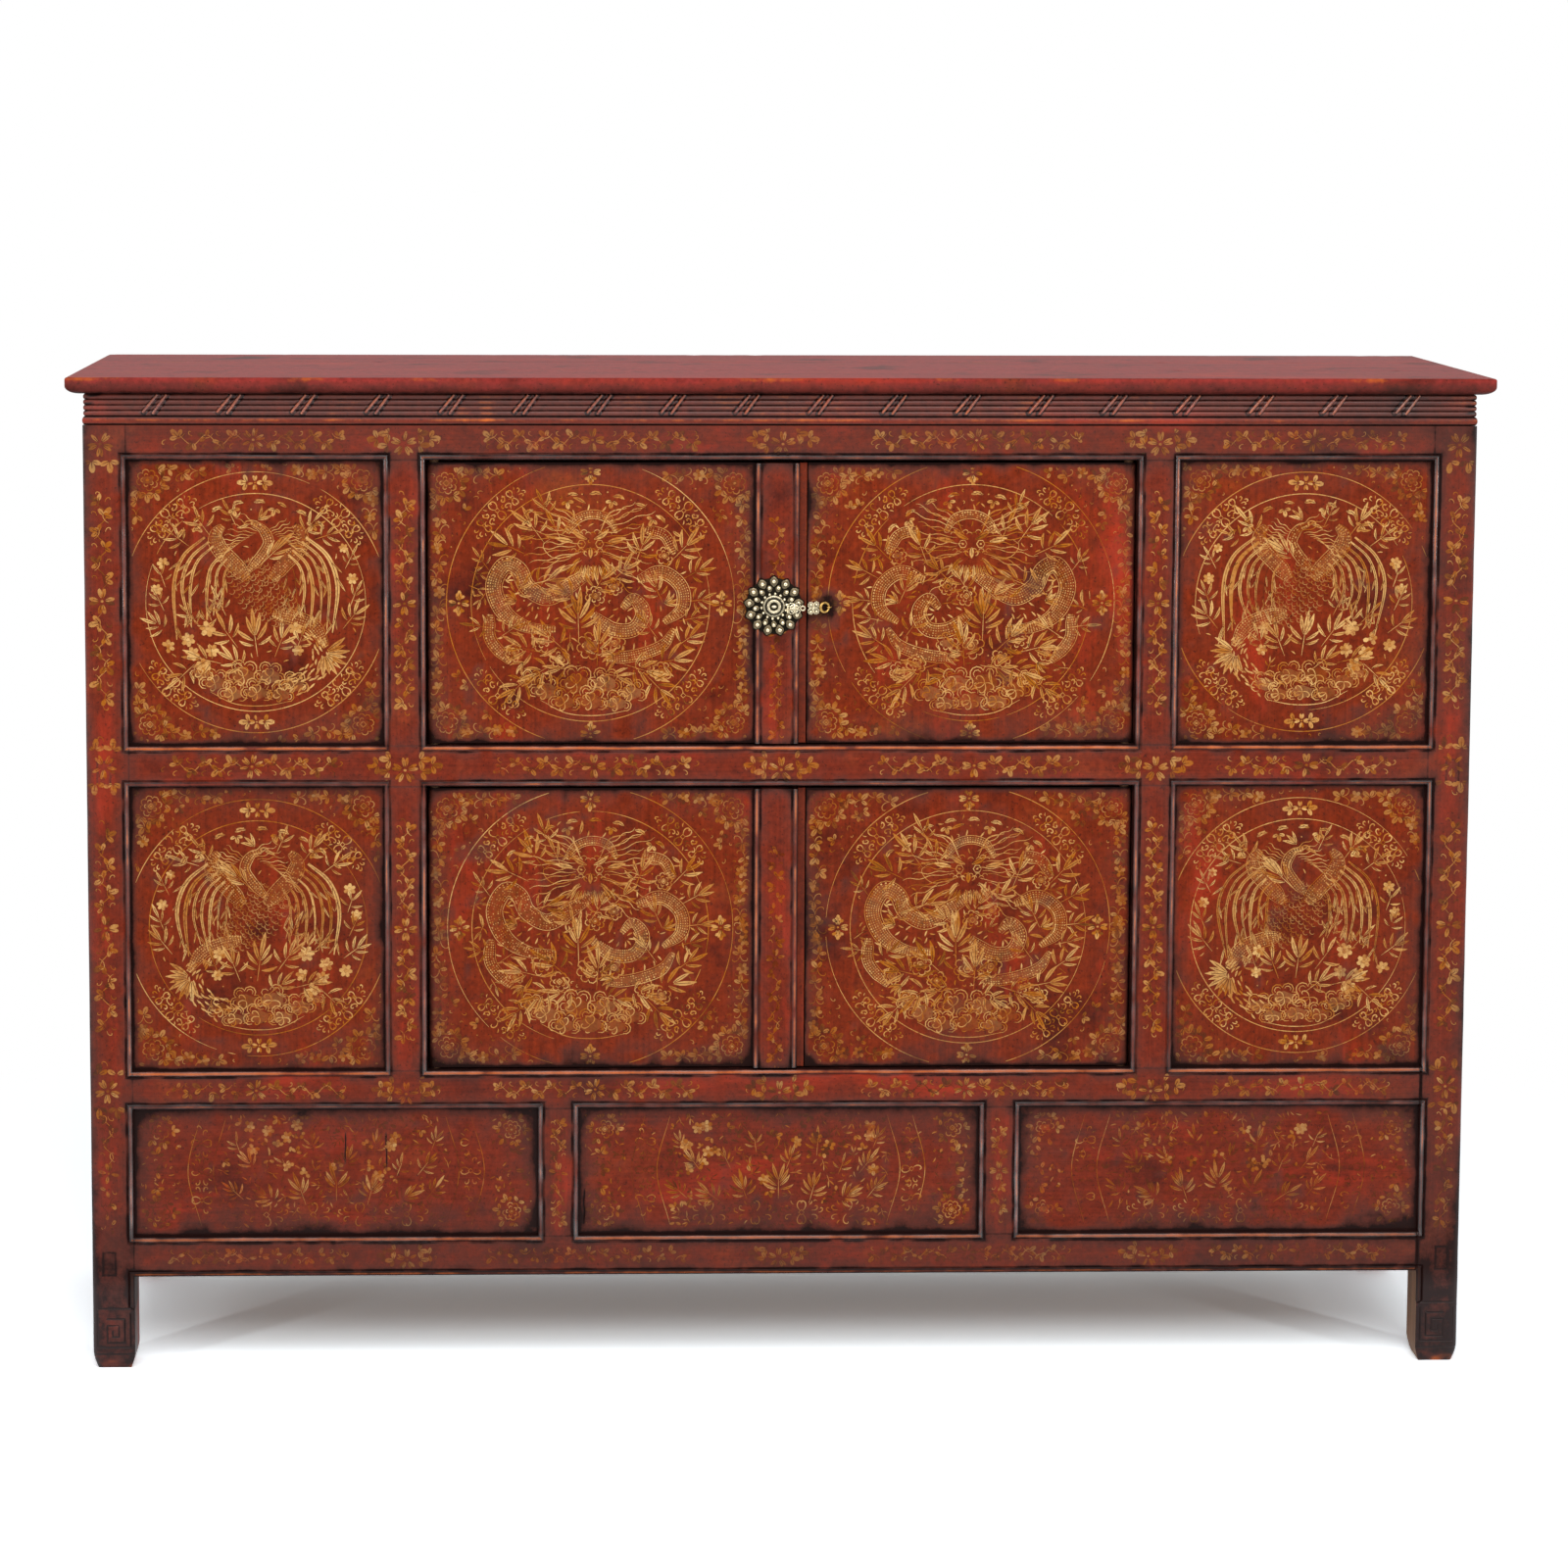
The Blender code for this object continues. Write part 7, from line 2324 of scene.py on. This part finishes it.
        # What the camera sees of the floor is exposed a little over white, so that only the shadow shows
        shown = add_node(
            tree, "ShaderNodeMix", {0: seen, 6: (*stage.floor, 1.0), 7: (1.95, 2.1, 2.18, 1.0)}, data_type="RGBA"
        ).outputs[2]
        lit = add_node(tree, "ShaderNodeBsdfDiffuse", {"Color": shown}).outputs[0]
        lift = add_node(tree, "ShaderNodeMath", {0: seen, 1: 0.01}, operation="MULTIPLY").outputs[0]
        glow = add_node(tree, "ShaderNodeEmission", {"Color": (1, 1, 1, 1), "Strength": lift}).outputs[0]
        near = add_node(tree, "ShaderNodeAddShader", {0: lit, 1: glow}).outputs[0]
        white = add_node(tree, "ShaderNodeEmission", {"Color": (1, 1, 1, 1), "Strength": 1.0}).outputs[0]
        part = add_node(tree, "ShaderNodeMath", {0: far, 1: seen}, operation="MULTIPLY").outputs[0]
        both = add_node(tree, "ShaderNodeMixShader", {0: part, 1: near, 2: white}).outputs[0]
        add_node(tree, "ShaderNodeOutputMaterial", {"Surface": both})


class CABINET_PT_sidebar(bpy.types.Panel):
    """Lists the cabinet's operators and what can be changed"""

    bl_idname = "CABINET_PT_sidebar"
    bl_label = "Altar cabinet"
    bl_space_type = "VIEW_3D"
    bl_region_type = "UI"
    bl_category = "Cabinet"

    def draw(self, context):
        for operator in OPERATORS:
            self.layout.operator(operator.bl_idname)
        for name in GROUPS:
            group = getattr(context.scene, name)
            column = self.layout.column(align=True)
            for label in group.__annotations__:
                column.prop(group, label)


OPERATORS = (
    CABINET_OT_finishes,
    CABINET_OT_front_frame,
    CABINET_OT_panels,
    CABINET_OT_doors,
    CABINET_OT_sides,
    CABINET_OT_inside,
    CABINET_OT_frieze,
    CABINET_OT_top,
    CABINET_OT_gilding,
    CABINET_OT_lock,
    CABINET_OT_hasp,
    CABINET_OT_stage,
)
GROUPS = {
    "cabinet_wood": CabinetWood,
    "cabinet_finish": CabinetFinish,
    "cabinet_gilding": CabinetGilding,
    "cabinet_brass": CabinetBrass,
    "cabinet_stage": CabinetStage,
}


def register():
    for group in GROUPS.values():
        bpy.utils.register_class(group)
    for thing in (*OPERATORS, CABINET_PT_sidebar):
        bpy.utils.register_class(thing)
    for name, group in GROUPS.items():
        setattr(bpy.types.Scene, name, PointerProperty(type=group))


def unregister():
    for name in GROUPS:
        delattr(bpy.types.Scene, name)
    for thing in (CABINET_PT_sidebar, *reversed(OPERATORS)):
        bpy.utils.unregister_class(thing)
    for group in GROUPS.values():
        bpy.utils.unregister_class(group)


def main():
    register()
    for operator in OPERATORS:
        name = operator.bl_idname.split(".")[1]
        getattr(bpy.ops.cabinet, name)()


if __name__ == "__main__":
    main()
